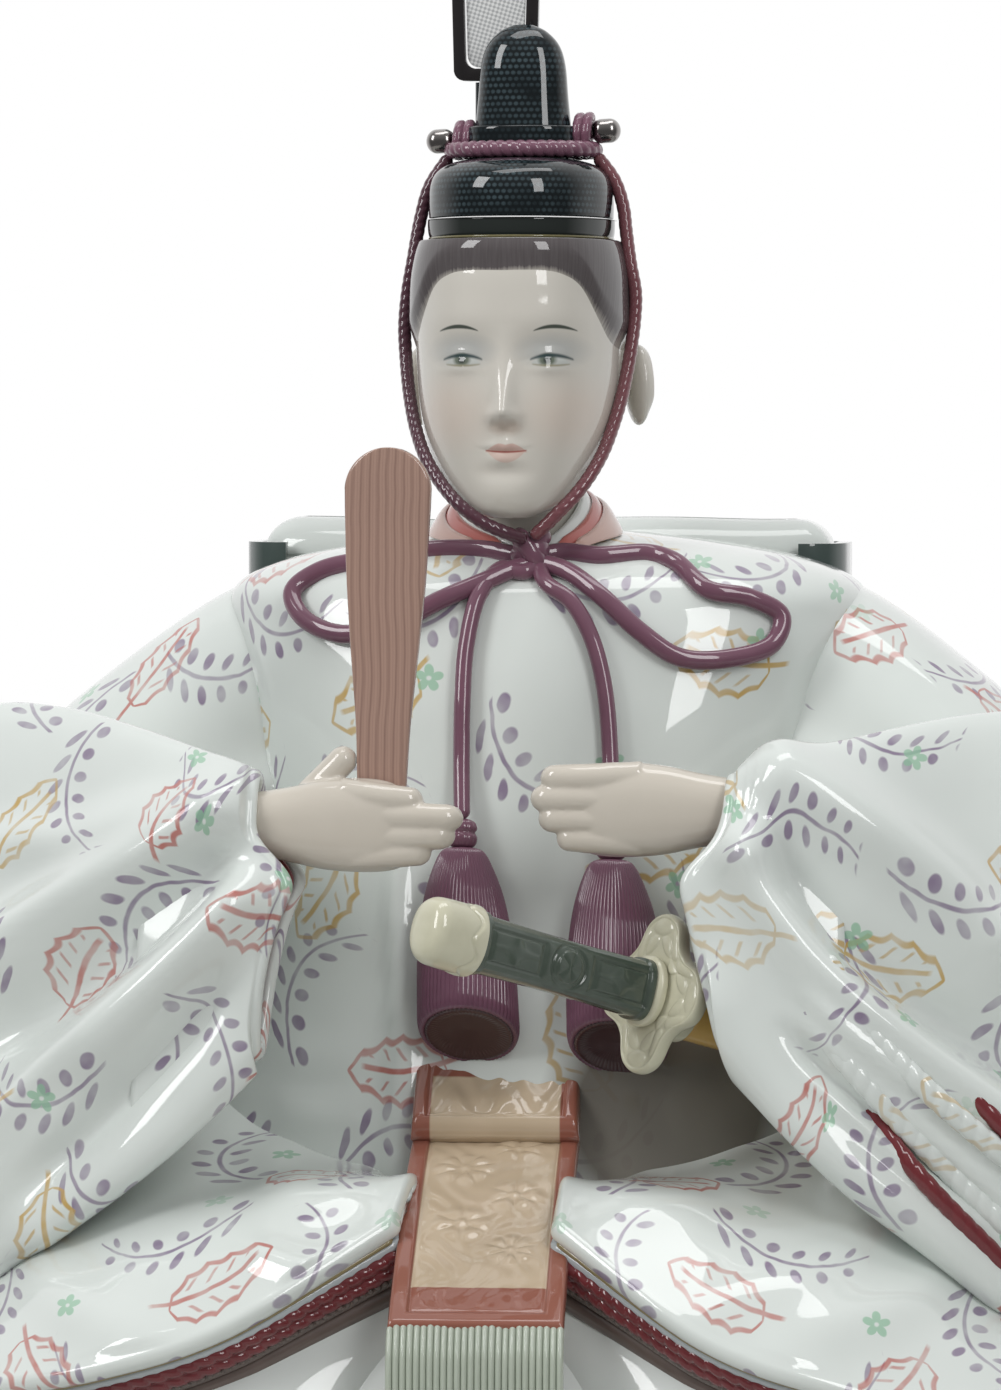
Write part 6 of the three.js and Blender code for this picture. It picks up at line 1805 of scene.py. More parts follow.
@dataclass
class Sleeve:
    """One wide sleeve with its mouth, lining and folds.

    Attributes:
        side: -1 for the doll's right, 1 for its left.
        creases: its folds, as seen from the front.
        slack: how far the mouth's lip swings in under the wrist, in millimetres.
        hang: the share of the slack at each height.
    """

    side: int
    creases: Sequence[Crease] = ()
    slack: float = 0.0
    hang: Rows = ((0, 0), (1, 0))
    sizes: SleeveSizes = field(default_factory=SleeveSizes)
    count: int = 200

    @property
    def word(self) -> str:
        """The doll's own side."""
        return "right" if self.side < 0 else "left"

    def rings(self, shares: Grid, inset: Grid, slide: Grid) -> Grid:
        """Rings round the sleeve.

        Args:
            shares: where along it, from 0 at the mouth.
            inset: how far each ring is drawn in.
            slide: how far each ring is moved across.

        Returns:
            Rings by points by 3.
        """
        s = self.sizes
        row = rows_at(s.rows, shares)
        size = np.array([self.side * s.reach, s.forward, s.height])
        top, foot = row[:, 0:3] * size, row[:, 3:6] * size
        middle, rise = (top + foot) / 2, (top - foot) / 2
        half = np.linalg.norm(rise, axis=1) - inset
        rise = unit(rise)
        forwards = np.array([0.0, -1.0, 0.0])
        ahead = unit(forwards - rise * (rise @ forwards)[:, None])
        front = np.maximum(row[:, 6] * s.thickness - inset, 0.05)
        back = np.maximum(row[:, 7] * s.thickness - inset, 0.05)
        turn = np.linspace(0, 2 * np.pi, self.count, endpoint=False)[None, :]
        up, out = power(np.sin(turn), 0.85) * half[:, None], power(np.cos(turn), 0.85)
        out = np.where(out > 0, out * front[:, None], out * back[:, None])
        points = middle[:, None] + rise[:, None] * up[..., None] + ahead[:, None] * out[..., None]
        points[..., 0] += np.broadcast_to(slide, shares.shape)[:, None]
        levels = np.arange(0, 160, 0.5)
        even = np.interp(levels, *np.transpose(self.hang))
        even = np.convolve(np.pad(even, 9, "edge"), np.hanning(19) / np.hanning(19).sum(), "valid")
        hang = np.interp(points[..., 2], levels, even)
        near = (1 - smooth(shares, 0, 0.35))[:, None] * smooth(-points[..., 1], 45, 62)
        points[..., 0] -= self.side * self.slack * hang * near
        return points

    def bag(self) -> Shell:
        """The sleeve's cloth: the hollow's wall, the rolled lip of the mouth and the outside."""
        s = self.sizes
        deep = np.linspace(0.27, 0.0, 30)
        arc = np.linspace(0, np.pi, 12)[1:-1]
        outer = np.linspace(0.0, 1.0, 260)
        close = np.clip((outer - 0.955) / 0.045, 0, 1)
        shares = np.concatenate([deep, 0 * arc, outer])
        inset = np.concatenate([0 * deep + s.wall, s.wall * (0.5 + 0.5 * np.cos(arc)),
                                5.2 * (1 - np.sqrt(1 - close**2 * 0.999))])
        slide = np.concatenate([0 * deep, -self.side * s.wall / 2 * np.sin(arc), 0 * outer])
        rings = self.rings(shares, inset, slide)
        normals = grid_normals(rings)
        if (normals[60:120, 0, 1] > 0).mean() > 0.5:
            normals = -normals
        lift = np.zeros(rings.shape[:2])
        first = len(deep) + len(arc)
        turn = np.linspace(0, 2 * np.pi, self.count, endpoint=False)[None, :]
        facing = smooth(np.cos(turn), -0.25, 0.3) * smooth(outer, 0.0, 0.03)[:, None]
        for crease in self.creases:
            lift[first:] += crease.lift(rings[first:]) * facing
        behind = smooth(-np.cos(turn), 0.0, 0.5) * smooth(outer, 0.3, 0.5)[:, None]
        lift[first:] += 1.1 * np.sin(turn * 7 + 5 * outer[:, None]) * behind
        return Shell(rings + normals * lift[..., None], seam=self.count // 2)

    def arm(self) -> Shell:
        """The upper arm under the robe, from the shoulder into the sleeve."""
        s = self.sizes
        row = rows_at(s.arm, np.linspace(0, 1, 120))
        close = np.clip((np.linspace(0, 1, 120) - 0.93) / 0.07, 0, 1)
        keep = np.sqrt(1 - close**2 * 0.98)
        middle_y, middle_z = (row[:, 1] + row[:, 2]) / 2 * s.forward, (row[:, 3] + row[:, 4]) / 2 * s.height
        depth = (row[:, 2] - row[:, 1]) / 2 * s.forward * keep
        rise = (row[:, 4] - row[:, 3]) / 2 * s.height * keep
        turn = np.linspace(0, 2 * np.pi, 180, endpoint=False)[None, :]
        y = middle_y[:, None] + power(np.cos(turn), 0.8) * depth[:, None]
        z = middle_z[:, None] + power(np.sin(turn), 0.8) * rise[:, None]
        rings = np.stack([self.side * row[:, :1] * s.reach + 0 * y, y, z], -1)
        share = np.linspace(0, 1, 120)[:, None]
        folds = 1.3 * np.sin(turn * 9 + 7 * share) * smooth(np.cos(turn), 0.2, 0.8) * smooth(share, 0.1, 0.4)
        rings[..., 1] += np.where(z < middle_z[:, None] + 20, folds, folds * 0.3)
        return Shell(rings, seam=90)

    @staticmethod
    def laid(line: Sequence, cloth: Grid, radius: float, sunk: float) -> Shell:
        """A twisted roll of cloth lying on other cloth, that starts from a point.

        Args:
            line: its points in x and z.
            cloth: points of the cloth under it.
            radius: the roll's radius.
            sunk: how deep its start lies in the cloth.

        Returns:
            The roll.
        """
        path = spline(line, 40)
        ahead = [cloth[((cloth[:, [0, 2]] - p) ** 2).sum(1).argmin(), 1] for p in path]
        ahead = np.convolve(np.pad(ahead, 4, "edge"), np.ones(9) / 9, "valid")
        sink = sunk * (1 - smooth(np.linspace(0, 1, 40), 0, 0.6))
        return tube(np.stack([path[:, 0], ahead + sink, path[:, 1]], 1), radius, 400, 20, flat=0.75,
                    twist=0.16, relief=0.05)

    def build(self, robe: Finish, crimson: Finish, shown: Sequence = (), rolled: Sequence = ()) -> None:
        """Makes the sleeve and its lining.

        Args:
            robe: the sleeve's glaze.
            crimson: the lining's glaze.
            shown: lines in x and z where the lining shows between the folds.
            rolled: lines of narrow rolls of the robe beside them.
        """
        s = self.sizes
        arm = self.arm()
        for crease in self.creases:
            front = smooth(-arm.rings[..., 1], 8, 20)
            arm.rings[..., 1] -= crease.lift(arm.rings) * front * 0.6
        bag = self.bag()
        cloth = np.vstack([bag.rings[42:, :50].reshape(-1, 3), bag.rings[42:, -50:].reshape(-1, 3)])
        rolls = [self.laid(line, cloth, 2.0, 2.2) for line in rolled]
        glazed(f"{self.word}_sleeve", [bag, arm, *rolls], robe)
        deep = np.linspace(0.265, 0.03, 24)
        arc = np.linspace(0, np.pi, 10)[1:-1]
        wall = s.wall + s.gap
        shares = np.concatenate([deep, 0 * arc + deep[-1], deep[::-1]])
        inset = np.concatenate([0 * deep + wall + s.lining, wall + s.lining * (0.5 + 0.5 * np.cos(arc)),
                                0 * deep + wall])
        slide = np.concatenate([0 * deep, -self.side * s.lining / 2 * np.sin(arc), 0 * deep])
        shells = [Shell(self.rings(shares, inset, slide), looped=True)]
        shells += [self.laid(line, cloth, 1.6, 1.8) for line in shown]
        glazed(f"{self.word}_sleeve_lining", shells, crimson)


# Lap, trousers and the robe behind


@dataclass(frozen=True)
class LapSizes:
    """Sizes of the lap in millimetres, and its lines as shares of them."""

    half_width: float = 118.0
    depth: float = 118.0
    height: float = 78.0
    panel: float = 4.0
    pale: float = 2.2
    crimson: float = 2.8
    brown: float = 2.2
    inset: float = 1.4
    dip: float = 11.0
    swell: float = 6.5
    gap: float = 0.3
    hem_start: float = 0.72
    rim_radius: float = 0.55
    cord_radius: float = 1.2
    bead_radius: float = 0.72
    bead_spacing: float = 1.5
    trousers_half_width: float = 54.0
    trousers_height: float = 58.0
    lines: tuple = (
        ((0.11, -0.47, 1.0), (0.3, -0.42, 1.0), (0.51, -0.33, 0.97), (0.71, -0.2, 0.9), (0.88, -0.05, 0.72),
         (0.98, 0.05, 0.54)),
        ((0.11, -0.61, 0.965), (0.32, -0.61, 0.93), (0.54, -0.56, 0.89), (0.745, -0.44, 0.78),
         (0.93, -0.29, 0.58), (1.03, -0.17, 0.45)),
        ((0.113, -0.745, 0.915), (0.335, -0.83, 0.83), (0.56, -0.83, 0.73), (0.78, -0.71, 0.62),
         (0.965, -0.53, 0.47), (1.065, -0.37, 0.36)),
        ((0.12, -0.84, 0.86), (0.34, -0.975, 0.65), (0.545, -0.99, 0.545), (0.78, -0.9, 0.46),
         (1.0, -0.7, 0.34), (1.1, -0.49, 0.25)))


@dataclass
class Lap:
    """Knee panels, the hems of the underrobes and the trousers."""

    sizes: LapSizes = field(default_factory=LapSizes)

    def at(self, side: int, out: Grid, down: Grid) -> Grid:
        """Points of the lap's surface for every down share (rows) and out share (columns)."""
        s = self.sizes
        table = np.stack([rows_at(line, out) for line in s.lines]).reshape(4, -1)
        points = (rows_at(table, down).reshape(len(down), len(out), 3)
                  * np.array([side * s.half_width, s.depth, s.height]))
        points[..., 2] -= s.dip * smooth(0.5 - out, 0, 0.5)[None, :] * smooth(0.66 - down, 0, 0.6)[:, None]
        points[..., 2] += s.swell * hump(out, 0.45, 0.2)[None, :] * smooth(0.5 - down, 0, 0.45)[:, None]
        return points

    def under(self, side: int, out: Grid, down: Grid, depth: Grid) -> Grid:
        """Points at a depth under the lap's surface."""
        e = 0.01
        across = self.at(side, np.minimum(out + e, 1), down) - self.at(side, np.maximum(out - e, 0), down)
        along = self.at(side, out, np.minimum(down + e, 1)) - self.at(side, out, np.maximum(down - e, 0))
        normal = unit(np.cross(across, along))
        normal = np.where(normal[..., 2:] < 0, -normal, normal)
        return self.at(side, out, down) - normal * depth

    def layer(self, side: int, top: float, foot: float, down: tuple, inset: float,
              relief: Optional[Callable] = None) -> Shell:
        """A layer of cloth under the lap's surface, with a rolled front edge.

        Args:
            side: -1 for the doll's right.
            top: depth of its upper face.
            foot: depth of its lower face.
            down: where it starts and ends, as down shares.
            inset: how far its sides are drawn in, as an out share.
            relief: height of its upper face's folds, from the points.

        Returns:
            The shell.
        """
        out = inset + (1 - 2 * inset) * np.concatenate([
            np.linspace(0, 0.03, 10), np.linspace(0.03, 0.97, 170)[1:-1], np.linspace(0.97, 1, 10)])
        close = np.clip(np.minimum(out - inset, 1 - inset - out) / 0.016, 0, 1)
        thick = np.sqrt(np.clip(1 - (1 - close) ** 2, 0.003, 1))[None, :, None]
        rows = np.linspace(down[0], down[1], 110)
        half, middle = (foot - top) / 2, (foot + top) / 2
        end = self.under(side, out, rows[-1:], middle)
        ahead = self.under(side, out, rows[-1:], middle) - self.under(side, out, rows[-1:] - 0.015, middle)
        normal = unit(self.under(side, out, rows[-1:], middle - 1) - end)
        ahead = unit(ahead - normal * (ahead * normal).sum(-1, keepdims=True))
        arc = np.linspace(0, np.pi, 22)[1:-1][:, None, None]
        upper = self.under(side, out, rows, middle - half * thick)
        if relief:
            step = unit(upper - self.under(side, out, rows, foot))
            fade = smooth(1 - (rows - down[0]) / (down[1] - down[0]), -0.02, 0.05)[:, None]
            upper = upper + step * (relief(upper) * fade)[..., None]
        nose = end + normal * np.cos(arc) * half * thick + ahead * np.sin(arc) * half * thick
        lower = self.under(side, out, rows[::-1], middle + half * thick)
        ring = np.concatenate([upper, nose, lower]).transpose(1, 0, 2)
        return Shell(ring, seam=len(ring[0]) - 40)

    def leg(self, side: int) -> Shell:
        """A trouser leg under the panels, standing on the ground."""
        s = self.sizes
        out = 0.015 + 0.97 * np.linspace(0, 1, 170)
        sink = s.panel + 2 * s.gap
        stack = s.panel + s.pale + s.crimson + s.brown + 4 * s.gap
        rows = [self.under(side, out, np.array([d]), sink)[0] for d in (0.25, 0.5, 0.7)]
        rows += [self.under(side, out, np.array([d]), stack)[0] for d in (0.74, 0.89, 0.95)]
        hem, behind = self.at(side, out, np.array([1.0]))[0], self.at(side, out, np.array([0.25]))[0]
        for lift, ahead in ((0.42, -2.0), (0.14, -1.0), (0.0, 4.0)):
            rows.append(np.stack([hem[:, 0], hem[:, 1] + ahead, hem[:, 2] * lift], -1))
        rows.append(np.stack([behind[:, 0], behind[:, 1], 0 * behind[:, 2]], -1))
        rings = np.stack([spline(np.array([r[i] for r in rows]), 120) for i in range(len(out))])
        rings[..., 2] = np.maximum(rings[..., 2], 0)
        low = smooth(22 - rings[..., 2], 0, 18) * smooth(-rings[..., 1], 50, 62)
        rings[..., 1] += 1.5 * np.sin(out * 46)[:, None] * low
        return Shell(rings)

    def front(self) -> Shell:
        """The trousers in front, between the knees, in soft upright folds."""
        s = self.sizes
        rows = rows_at([[0.0, 0.96, -0.93], [0.18, 1.0, -0.985], [0.42, 0.9, -0.965], [0.65, 0.68, -0.9],
                        [0.85, 0.42, -0.82], [1.0, 0.22, -0.74]], np.linspace(0, 1, 120))
        z, back = rows[:, 0] * s.trousers_height, 0.5 * s.depth
        rings = oval(280, rows[:, 1] * s.trousers_half_width, -rows[:, 2] * s.depth - back,
                     0 * z + back * 0.2, 2.5, (0 * z, 0 * z - back, z))
        turn = np.linspace(0, 2 * np.pi, 280, endpoint=False)[None, :]
        fold = power(np.cos(turn * 7), 0.8) * s.panel * 0.3 * (1 - rows[:, :1] * 0.6)
        rings[..., 1] -= np.where(rings[..., 1] < -back, fold, 0)
        return Shell(rings, seam=70)

    def build(self, robe: Finish, white: Finish, pale: Finish, crimson: Finish, brown: Finish, olive: Finish,
              creases: dict) -> None:
        """Makes everything on the lap."""
        s = self.sizes
        for side, word in ((-1, "right"), (1, "left")):
            folds = creases.get(word, ())

            def relief(points: Grid) -> Grid:
                """Height of this knee's folds."""
                return sum((fold.lift(points) for fold in folds), 0 * points[..., 0])

            panel = self.layer(side, 0.0, s.panel, (0.0, 1.0), 0.0, relief)
            glazed(f"{word}_knee_panel", [panel], robe)
            depth, inset = s.panel + s.gap, s.inset / s.depth
            for name, thickness, finish in (("pale", s.pale, pale), ("crimson", s.crimson, crimson),
                                            ("brown", s.brown, brown)):
                hem = self.layer(side, depth, depth + thickness, (s.hem_start, 1.0), inset)
                rolls = [hem]
                if name == "brown":
                    foot = depth + thickness * 2.6
                    rolls.append(self.layer(side, depth + thickness * 0.9, foot, (0.8, 0.995), inset))
                hem_node = f"{word}_{name}_underrobe_hem"
                settle(make_piece(f"{word}_{name}_hem_glazed", rolls), finish, [hem_node])
                out = np.linspace(inset + 0.01, 1 - inset - 0.01, 40)
                edge = self.under(side, out, np.array([1.0]), depth + thickness / 2)[0]
                if name == "pale":
                    line = self.under(side, out, np.array([1.0]), s.panel + 0.3)[0] + (0, -0.8, 0)
                    rim = tube(line, s.rim_radius, 260, 12)
                    settle(make_piece(f"{word}_olive_edge", [rim]), olive, [hem_node])
                if name == "crimson":
                    lift = self.under(side, out, np.array([1.0]), depth + 0.3)[0]
                    drop = self.under(side, out, np.array([1.0]), depth + thickness - 0.2)[0]
                    ahead = (0, -0.7, 0)
                    cords = [tube(line + ahead, s.cord_radius, 1500, 14, twist=0.17, relief=0.16, strands=2)
                             for line in (lift, drop)]
                    settle(make_piece(f"{word}_crimson_cords", cords), crimson, [hem_node])
                if name == "brown":
                    beads = Beads(f"{word}_brown_beads", s.bead_radius, s.bead_spacing)
                    settle(beads.along(edge + (0, -0.9, 0), brown.material), brown, [hem_node])
                depth += thickness + s.gap
            glazed(f"{word}_trouser_leg", [self.leg(side)], white)
        glazed("trousers_front", [self.front()], white)


def repeated(piece: Piece, label: str, placed: Callable, values: dict) -> Piece:
    """The piece replaced by copies that geometry nodes place, baked.

    Args:
        piece: the mesh that goes in.
        label: the tree's name.
        placed: adds the nodes that place the copies, from the tree and its inputs.
        values: kind and value of each named input, Material among them.

    Returns:
        The same piece.
    """
    tree = bpy.data.node_groups.new(label, "GeometryNodeTree")
    face = tree.interface
    face.new_socket("Geometry", in_out="INPUT", socket_type="NodeSocketGeometry")
    face.new_socket("Geometry", in_out="OUTPUT", socket_type="NodeSocketGeometry")
    sockets = {name: face.new_socket(name, in_out="INPUT", socket_type=f"NodeSocket{kind}")
               for name, (kind, _) in values.items()}
    given = add(tree, "NodeGroupInput").outputs
    real = add(tree, "GeometryNodeRealizeInstances", {"Geometry": placed(tree, given)})
    shade = add(tree, "GeometryNodeSetShadeSmooth", {"Geometry": real.outputs[0]})
    finish = add(tree, "GeometryNodeSetMaterial",
                 {"Geometry": shade.outputs[0], "Material": given["Material"]})
    add(tree, "NodeGroupOutput", {"Geometry": finish.outputs[0]})
    row = piece.modifiers.new("copies", "NODES")
    row.node_group = tree
    for name, (_, value) in values.items():
        row[sockets[name].identifier] = value
    return baked(piece)


@dataclass(frozen=True)
class Beads:
    """A row of small beads along a line, made with geometry nodes.

    Attributes:
        name: the piece's name.
        radius: of a bead, in millimetres.
        spacing: from bead to bead, in millimetres.
    """

    name: str
    radius: float
    spacing: float

    def along(self, line: Grid, material: bpy.types.Material) -> Piece:
        """The beads on a line of points in millimetres."""
        path = spline(line, 300) * MM
        mesh = bpy.data.meshes.new(self.name)
        mesh.from_pydata(path.tolist(), [(i, i + 1) for i in range(len(path) - 1)], [])
        piece = bpy.data.objects.new(self.name, mesh)
        bpy.context.scene.collection.objects.link(piece)

        def placed(tree: Tree, given: bpy.types.NodeOutputs) -> Socket:
            """Beads of nearly one size at even steps along the line."""
            curve = add(tree, "GeometryNodeMeshToCurve", {"Mesh": given["Geometry"]})
            points = add(tree, "GeometryNodeResampleCurve",
                         {"Curve": curve.outputs[0], "Length": given["Spacing"]}, mode="LENGTH")
            bead = add(tree, "GeometryNodeMeshUVSphere",
                       {"Radius": given["Bead Radius"], "Segments": 14, "Rings": 9})
            size = add(tree, "FunctionNodeRandomValue", {2: 0.9, 3: 1.08, "Seed": given["Seed"]},
                       data_type="FLOAT")
            return add(tree, "GeometryNodeInstanceOnPoints", {
                "Points": points.outputs[0], "Instance": bead.outputs[0],
                "Scale": size.outputs[1]}).outputs[0]

        return repeated(piece, "Beads along a line", placed, {
            "Bead Radius": ("Float", self.radius * MM), "Spacing": ("Float", self.spacing * MM),
            "Seed": ("Int", 7), "Material": ("Material", material)})


@dataclass(frozen=True)
class BackSizes:
    """Sizes of the robe spread behind, the pouch and the belt, in millimetres."""

    half_width: float = 124.0
    depth: float = 96.0
    height: float = 59.7
    pouch_half_length: float = 56.5
    pouch_offset: float = -5.0
    pouch_front: float = 27.0
    pouch_depth: float = 24.0
    pouch_height: float = 38.0
    pouch_top: float = 186.0
    pouch_round: float = 7.5
    vent_radius: float = 7.0
    vent_back: float = 44.0


@dataclass
class Back:
    """The robe spread behind the doll, and the pouch and belt behind its shoulders."""

    sizes: BackSizes = field(default_factory=BackSizes)

    def build(self, robe: Finish, belt: Finish) -> None:
        """Makes the spread robe, the pouch and the belt."""
        s = self.sizes
        rows = rows_at([[0.0, 1.0, 0.6, 1.0], [0.24, 0.985, 0.6, 0.985], [0.5, 0.88, 0.58, 0.88],
                        [0.74, 0.73, 0.54, 0.75], [0.92, 0.57, 0.5, 0.64], [1.0, 0.46, 0.47, 0.59]],
                       np.linspace(0, 1, 110))
        z = rows[:, 0] * s.height
        rings = oval(320, rows[:, 1] * s.half_width, rows[:, 2] * s.depth, rows[:, 3] * s.depth, 2.5,
                     (0 * z, 0 * z, z))
        turn = np.linspace(0, 2 * np.pi, 320, endpoint=False)[None, :]
        fold = 1 - (0.022 * (0.5 + 0.5 * np.cos(turn * 11 + 1.2 * np.sin(turn * 3)))
                    * smooth(rings[..., 1], -10, 30))
        rings[..., :2] *= fold[..., None]
        piece = make_piece("back_robe_glazed", [Shell(rings, seam=80)])
        turn = np.linspace(0, 2 * np.pi, 60, endpoint=False)[None, :]
        depth = np.array([-3.0, 26.0])[:, None]
        vent = np.stack(np.broadcast_arrays(
            s.vent_radius * np.cos(turn), s.vent_back + s.vent_radius * np.sin(turn), depth), -1)
        pierced(piece, make_piece("vent", [Shell(vent)]))
        piece.data.set_sharp_from_angle(angle=0.9)
        settle(piece, robe, ["back_robe"])
        up = np.linspace(0, np.pi / 2, 26)
        bulge = np.linspace(0, 1, 40)[1:-1]
        foot, r = s.pouch_top - s.pouch_height, s.pouch_round
        z = np.concatenate([foot + r * (1 - np.cos(up)), foot + r + bulge * (s.pouch_height - 2 * r),
                            s.pouch_top - r * (1 - np.sin(np.pi / 2 - up))])
        inset = np.concatenate([r * (1 - np.sin(up)), 0 * bulge, r * (1 - np.cos(np.pi / 2 - up))])
        ring = oval(300, s.pouch_half_length - inset, s.pouch_depth / 2 - inset, s.pouch_depth / 2 - inset, 6,
                    (0 * z + s.pouch_offset, 0 * z + s.pouch_front + s.pouch_depth / 2, z))
        dip = 0.9 * hump(ring[..., 0], -20, 22) + 0.5 * hump(ring[..., 0], 38, 14)
        ring[..., 2] -= dip * smooth(ring[..., 2], 170, 186)
        glazed("back_pouch", [Shell(ring, seam=75)], robe)
        settle(cad_copy("back_belt", "back_belt_glazed", 0.7, 3), belt, ["back_belt"])


# Sash


@dataclass(frozen=True)
class SashSizes:
    """Sizes of the sash in millimetres."""

    half_width: float = 15.2
    offset: float = -2.4
    forward: float = 50.0
    height: float = 88.0
    thickness: float = 2.8
    fold_thickness: float = 6.5
    turn: float = 0.075
    run: float = 70.0
    drop: float = 40.0
    fringe_length: float = 22.0
    ribs: int = 26
    rib_share: float = 0.56


@dataclass
class Sash:
    """The flat sash that hangs from the waist: a folded top, a long panel and a ribbed fringe."""

    sizes: SashSizes = field(default_factory=SashSizes)

    def turned(self, points: Grid) -> Grid:
        """Points from the sash's own frame (across, -ahead, up), turned with it."""
        s = self.sizes
        x, y = points[..., 0], points[..., 1] + s.forward
        c, n = math.cos(s.turn), math.sin(s.turn)
        return np.stack([x * c - y * n + s.offset, x * n + y * c - s.forward, points[..., 2]], -1)

    def strip(self, shares: Rows, thickness: float, relief: Callable) -> Shell:
        """A strip of cloth along a path of ahead and up shares."""
        s = self.sizes
        path = np.array([[s.forward + a * s.run, s.height + b * s.drop] for a, b in shares])
        line = spline(path, 240)
        length = np.concatenate([[0], np.cumsum(np.linalg.norm(np.diff(line, axis=0), axis=1))])
        along = unit(np.gradient(line, axis=0))
        normal = np.stack([-along[:, 1], along[:, 0]], -1)
        upper = np.sin(np.linspace(-np.pi / 2, np.pi / 2, 190))
        lower = np.sin(np.linspace(np.pi / 2, -np.pi / 2, 70))[1:-1]
        span = np.concatenate([upper, lower])[None, :]
        across = span * s.half_width
        edge = np.sqrt(np.clip(1 - np.abs(span) ** 40, 0, 1))
        ends = np.minimum(length, length[-1] - length)[:, None]
        close = domed(ends / (thickness / 2))
        on_top = (np.arange(span.size) < len(upper))[None, :]
        lift = relief(across, length[:, None], length[-1]) * on_top * smooth(1 - np.abs(span), 0, 0.02)
        thick = np.where(on_top, 1, -1) * edge * thickness / 2 * close + lift
        flat = line[:, None] + normal[:, None] * thick[..., None]
        points = np.stack(np.broadcast_arrays(across, -flat[..., 0], flat[..., 1]), -1)
        return Shell(self.turned(points))

    @staticmethod
    def rosette(across: Grid, along: Grid, petals: int, radius: float) -> Grid:
        """A flower in low relief: a ring of petals round a raised heart."""
        out, turn = np.hypot(across, along), np.arctan2(along, across)
        petal = np.abs(np.cos(turn * petals / 2)) ** 0.6 * hump(out, radius * 0.62, radius * 0.3)
        return petal + 0.9 * hump(out, 0, radius * 0.18)

    def borders(self, across: Grid, along: Grid, total: float) -> Grid:
        """Relief of the plain borders and the flowers between them."""
        edge = np.minimum(self.sizes.half_width - np.abs(across), np.minimum(along + 4, total - along))
        band = 0.35 * (1 - smooth(edge, 3.2, 3.7)) - 0.2 * hump(edge, 3.5, 0.35)
        wave = (0.1 * np.sin(across * 0.9 + 2.2 * np.sin(along * 0.35))
                * np.sin(along * 0.62 + 1.7 * np.sin(across * 0.5)))
        blooms = sum(self.rosette(across - x, along - y, petals, radius) for x, y, petals, radius in (
            (4.5, 9, 6, 5.0), (-4.5, 17, 8, 5.6), (4.8, 26, 6, 5.0), (-4.0, 35, 6, 5.4), (5.0, 43, 8, 4.6)))
        return band + (wave + 0.42 * blooms) * smooth(edge, 3.8, 5.0)

    def folded(self, across: Grid, along: Grid, total: float) -> Grid:
        """Relief of the folded top."""
        edge = np.minimum(self.sizes.half_width - np.abs(across), total - along)
        band = 0.3 * (1 - smooth(edge, 2.6, 3.1)) - 0.2 * hump(edge, 2.9, 0.3)
        wave = 0.4 * np.sin(across * 0.7 + 3) * np.sin(along * 0.7 + 1.4 * np.sin(across * 0.6))
        return band + wave * smooth(edge, 3, 4)

    def build(self, cloth: Finish, fringe: Finish) -> None:
        """Makes the fold, the panel and the fringe."""
        s = self.sizes
        fold = self.strip([[0, 0], [0.14, -0.18], [0.23, -0.31]], s.fold_thickness, self.folded)
        glazed("sash_fold", [fold], cloth)
        panel = self.strip([[0.13, -0.33], [0.22, -0.36], [0.38, -0.45], [0.62, -0.64], [0.86, -0.86],
                            [0.96, -0.97]],
                           s.thickness, self.borders)
        glazed("sash_panel", [panel], cloth)
        rows = [[0.965, -0.1], [0.985, 0.02], [1.0, 0.14], [1.01, 0.5], [1.01, 0.97]]
        step = 2 * s.half_width / s.ribs
        line = np.array([[-s.half_width + step / 2, -(s.forward + a * s.run) + 0.3,
                          s.height - s.drop - d * s.fringe_length] for a, d in rows])
        rib = tube(line, step * s.rib_share, 60, 14, flat=1.9)
        strands = Copies("sash_fringe_glazed", s.ribs, (step, 0, 0)).of([rib], fringe.material)
        co = np.array([v.co for v in strands.data.vertices]) / MM
        strands.data.vertices.foreach_set("co", (self.turned(co) * MM).astype(np.float32).ravel())
        settle(strands, fringe, ["sash_fringe"])


@dataclass(frozen=True)
class Copies:
    """A row of like pieces, made with geometry nodes.

    Attributes:
        name: the piece's name.
        count: how many.
        step: from one to the next, in millimetres.
    """

    name: str
    count: int
    step: tuple

    def of(self, shells: Sequence[Shell], material: bpy.types.Material) -> Piece:
        """The row of copies of a shape."""
        def placed(tree: Tree, given: bpy.types.NodeOutputs) -> Socket:
            """Copies at even steps, each a little off its place."""
            line = add(tree, "GeometryNodeMeshLine", {"Count": given["Count"], "Offset": given["Step"]},
                       mode="OFFSET")
            wander = add(tree, "FunctionNodeRandomValue",
                         {0: (0, -0.00012, -0.0003), 1: (0, 0.00012, 0.0003), "Seed": given["Seed"]},
                         data_type="FLOAT_VECTOR")
            moved = add(tree, "GeometryNodeSetPosition",
                        {"Geometry": line.outputs[0], "Offset": wander.outputs[0]})
            return add(tree, "GeometryNodeInstanceOnPoints",
                       {"Points": moved.outputs[0], "Instance": given["Geometry"]}).outputs[0]

        return repeated(make_piece(self.name, shells), "Row of copies", placed, {
            "Count": ("Int", self.count), "Step": ("Vector", [v * MM for v in self.step]),
            "Seed": ("Int", 3), "Material": ("Material", material)})


# Stage


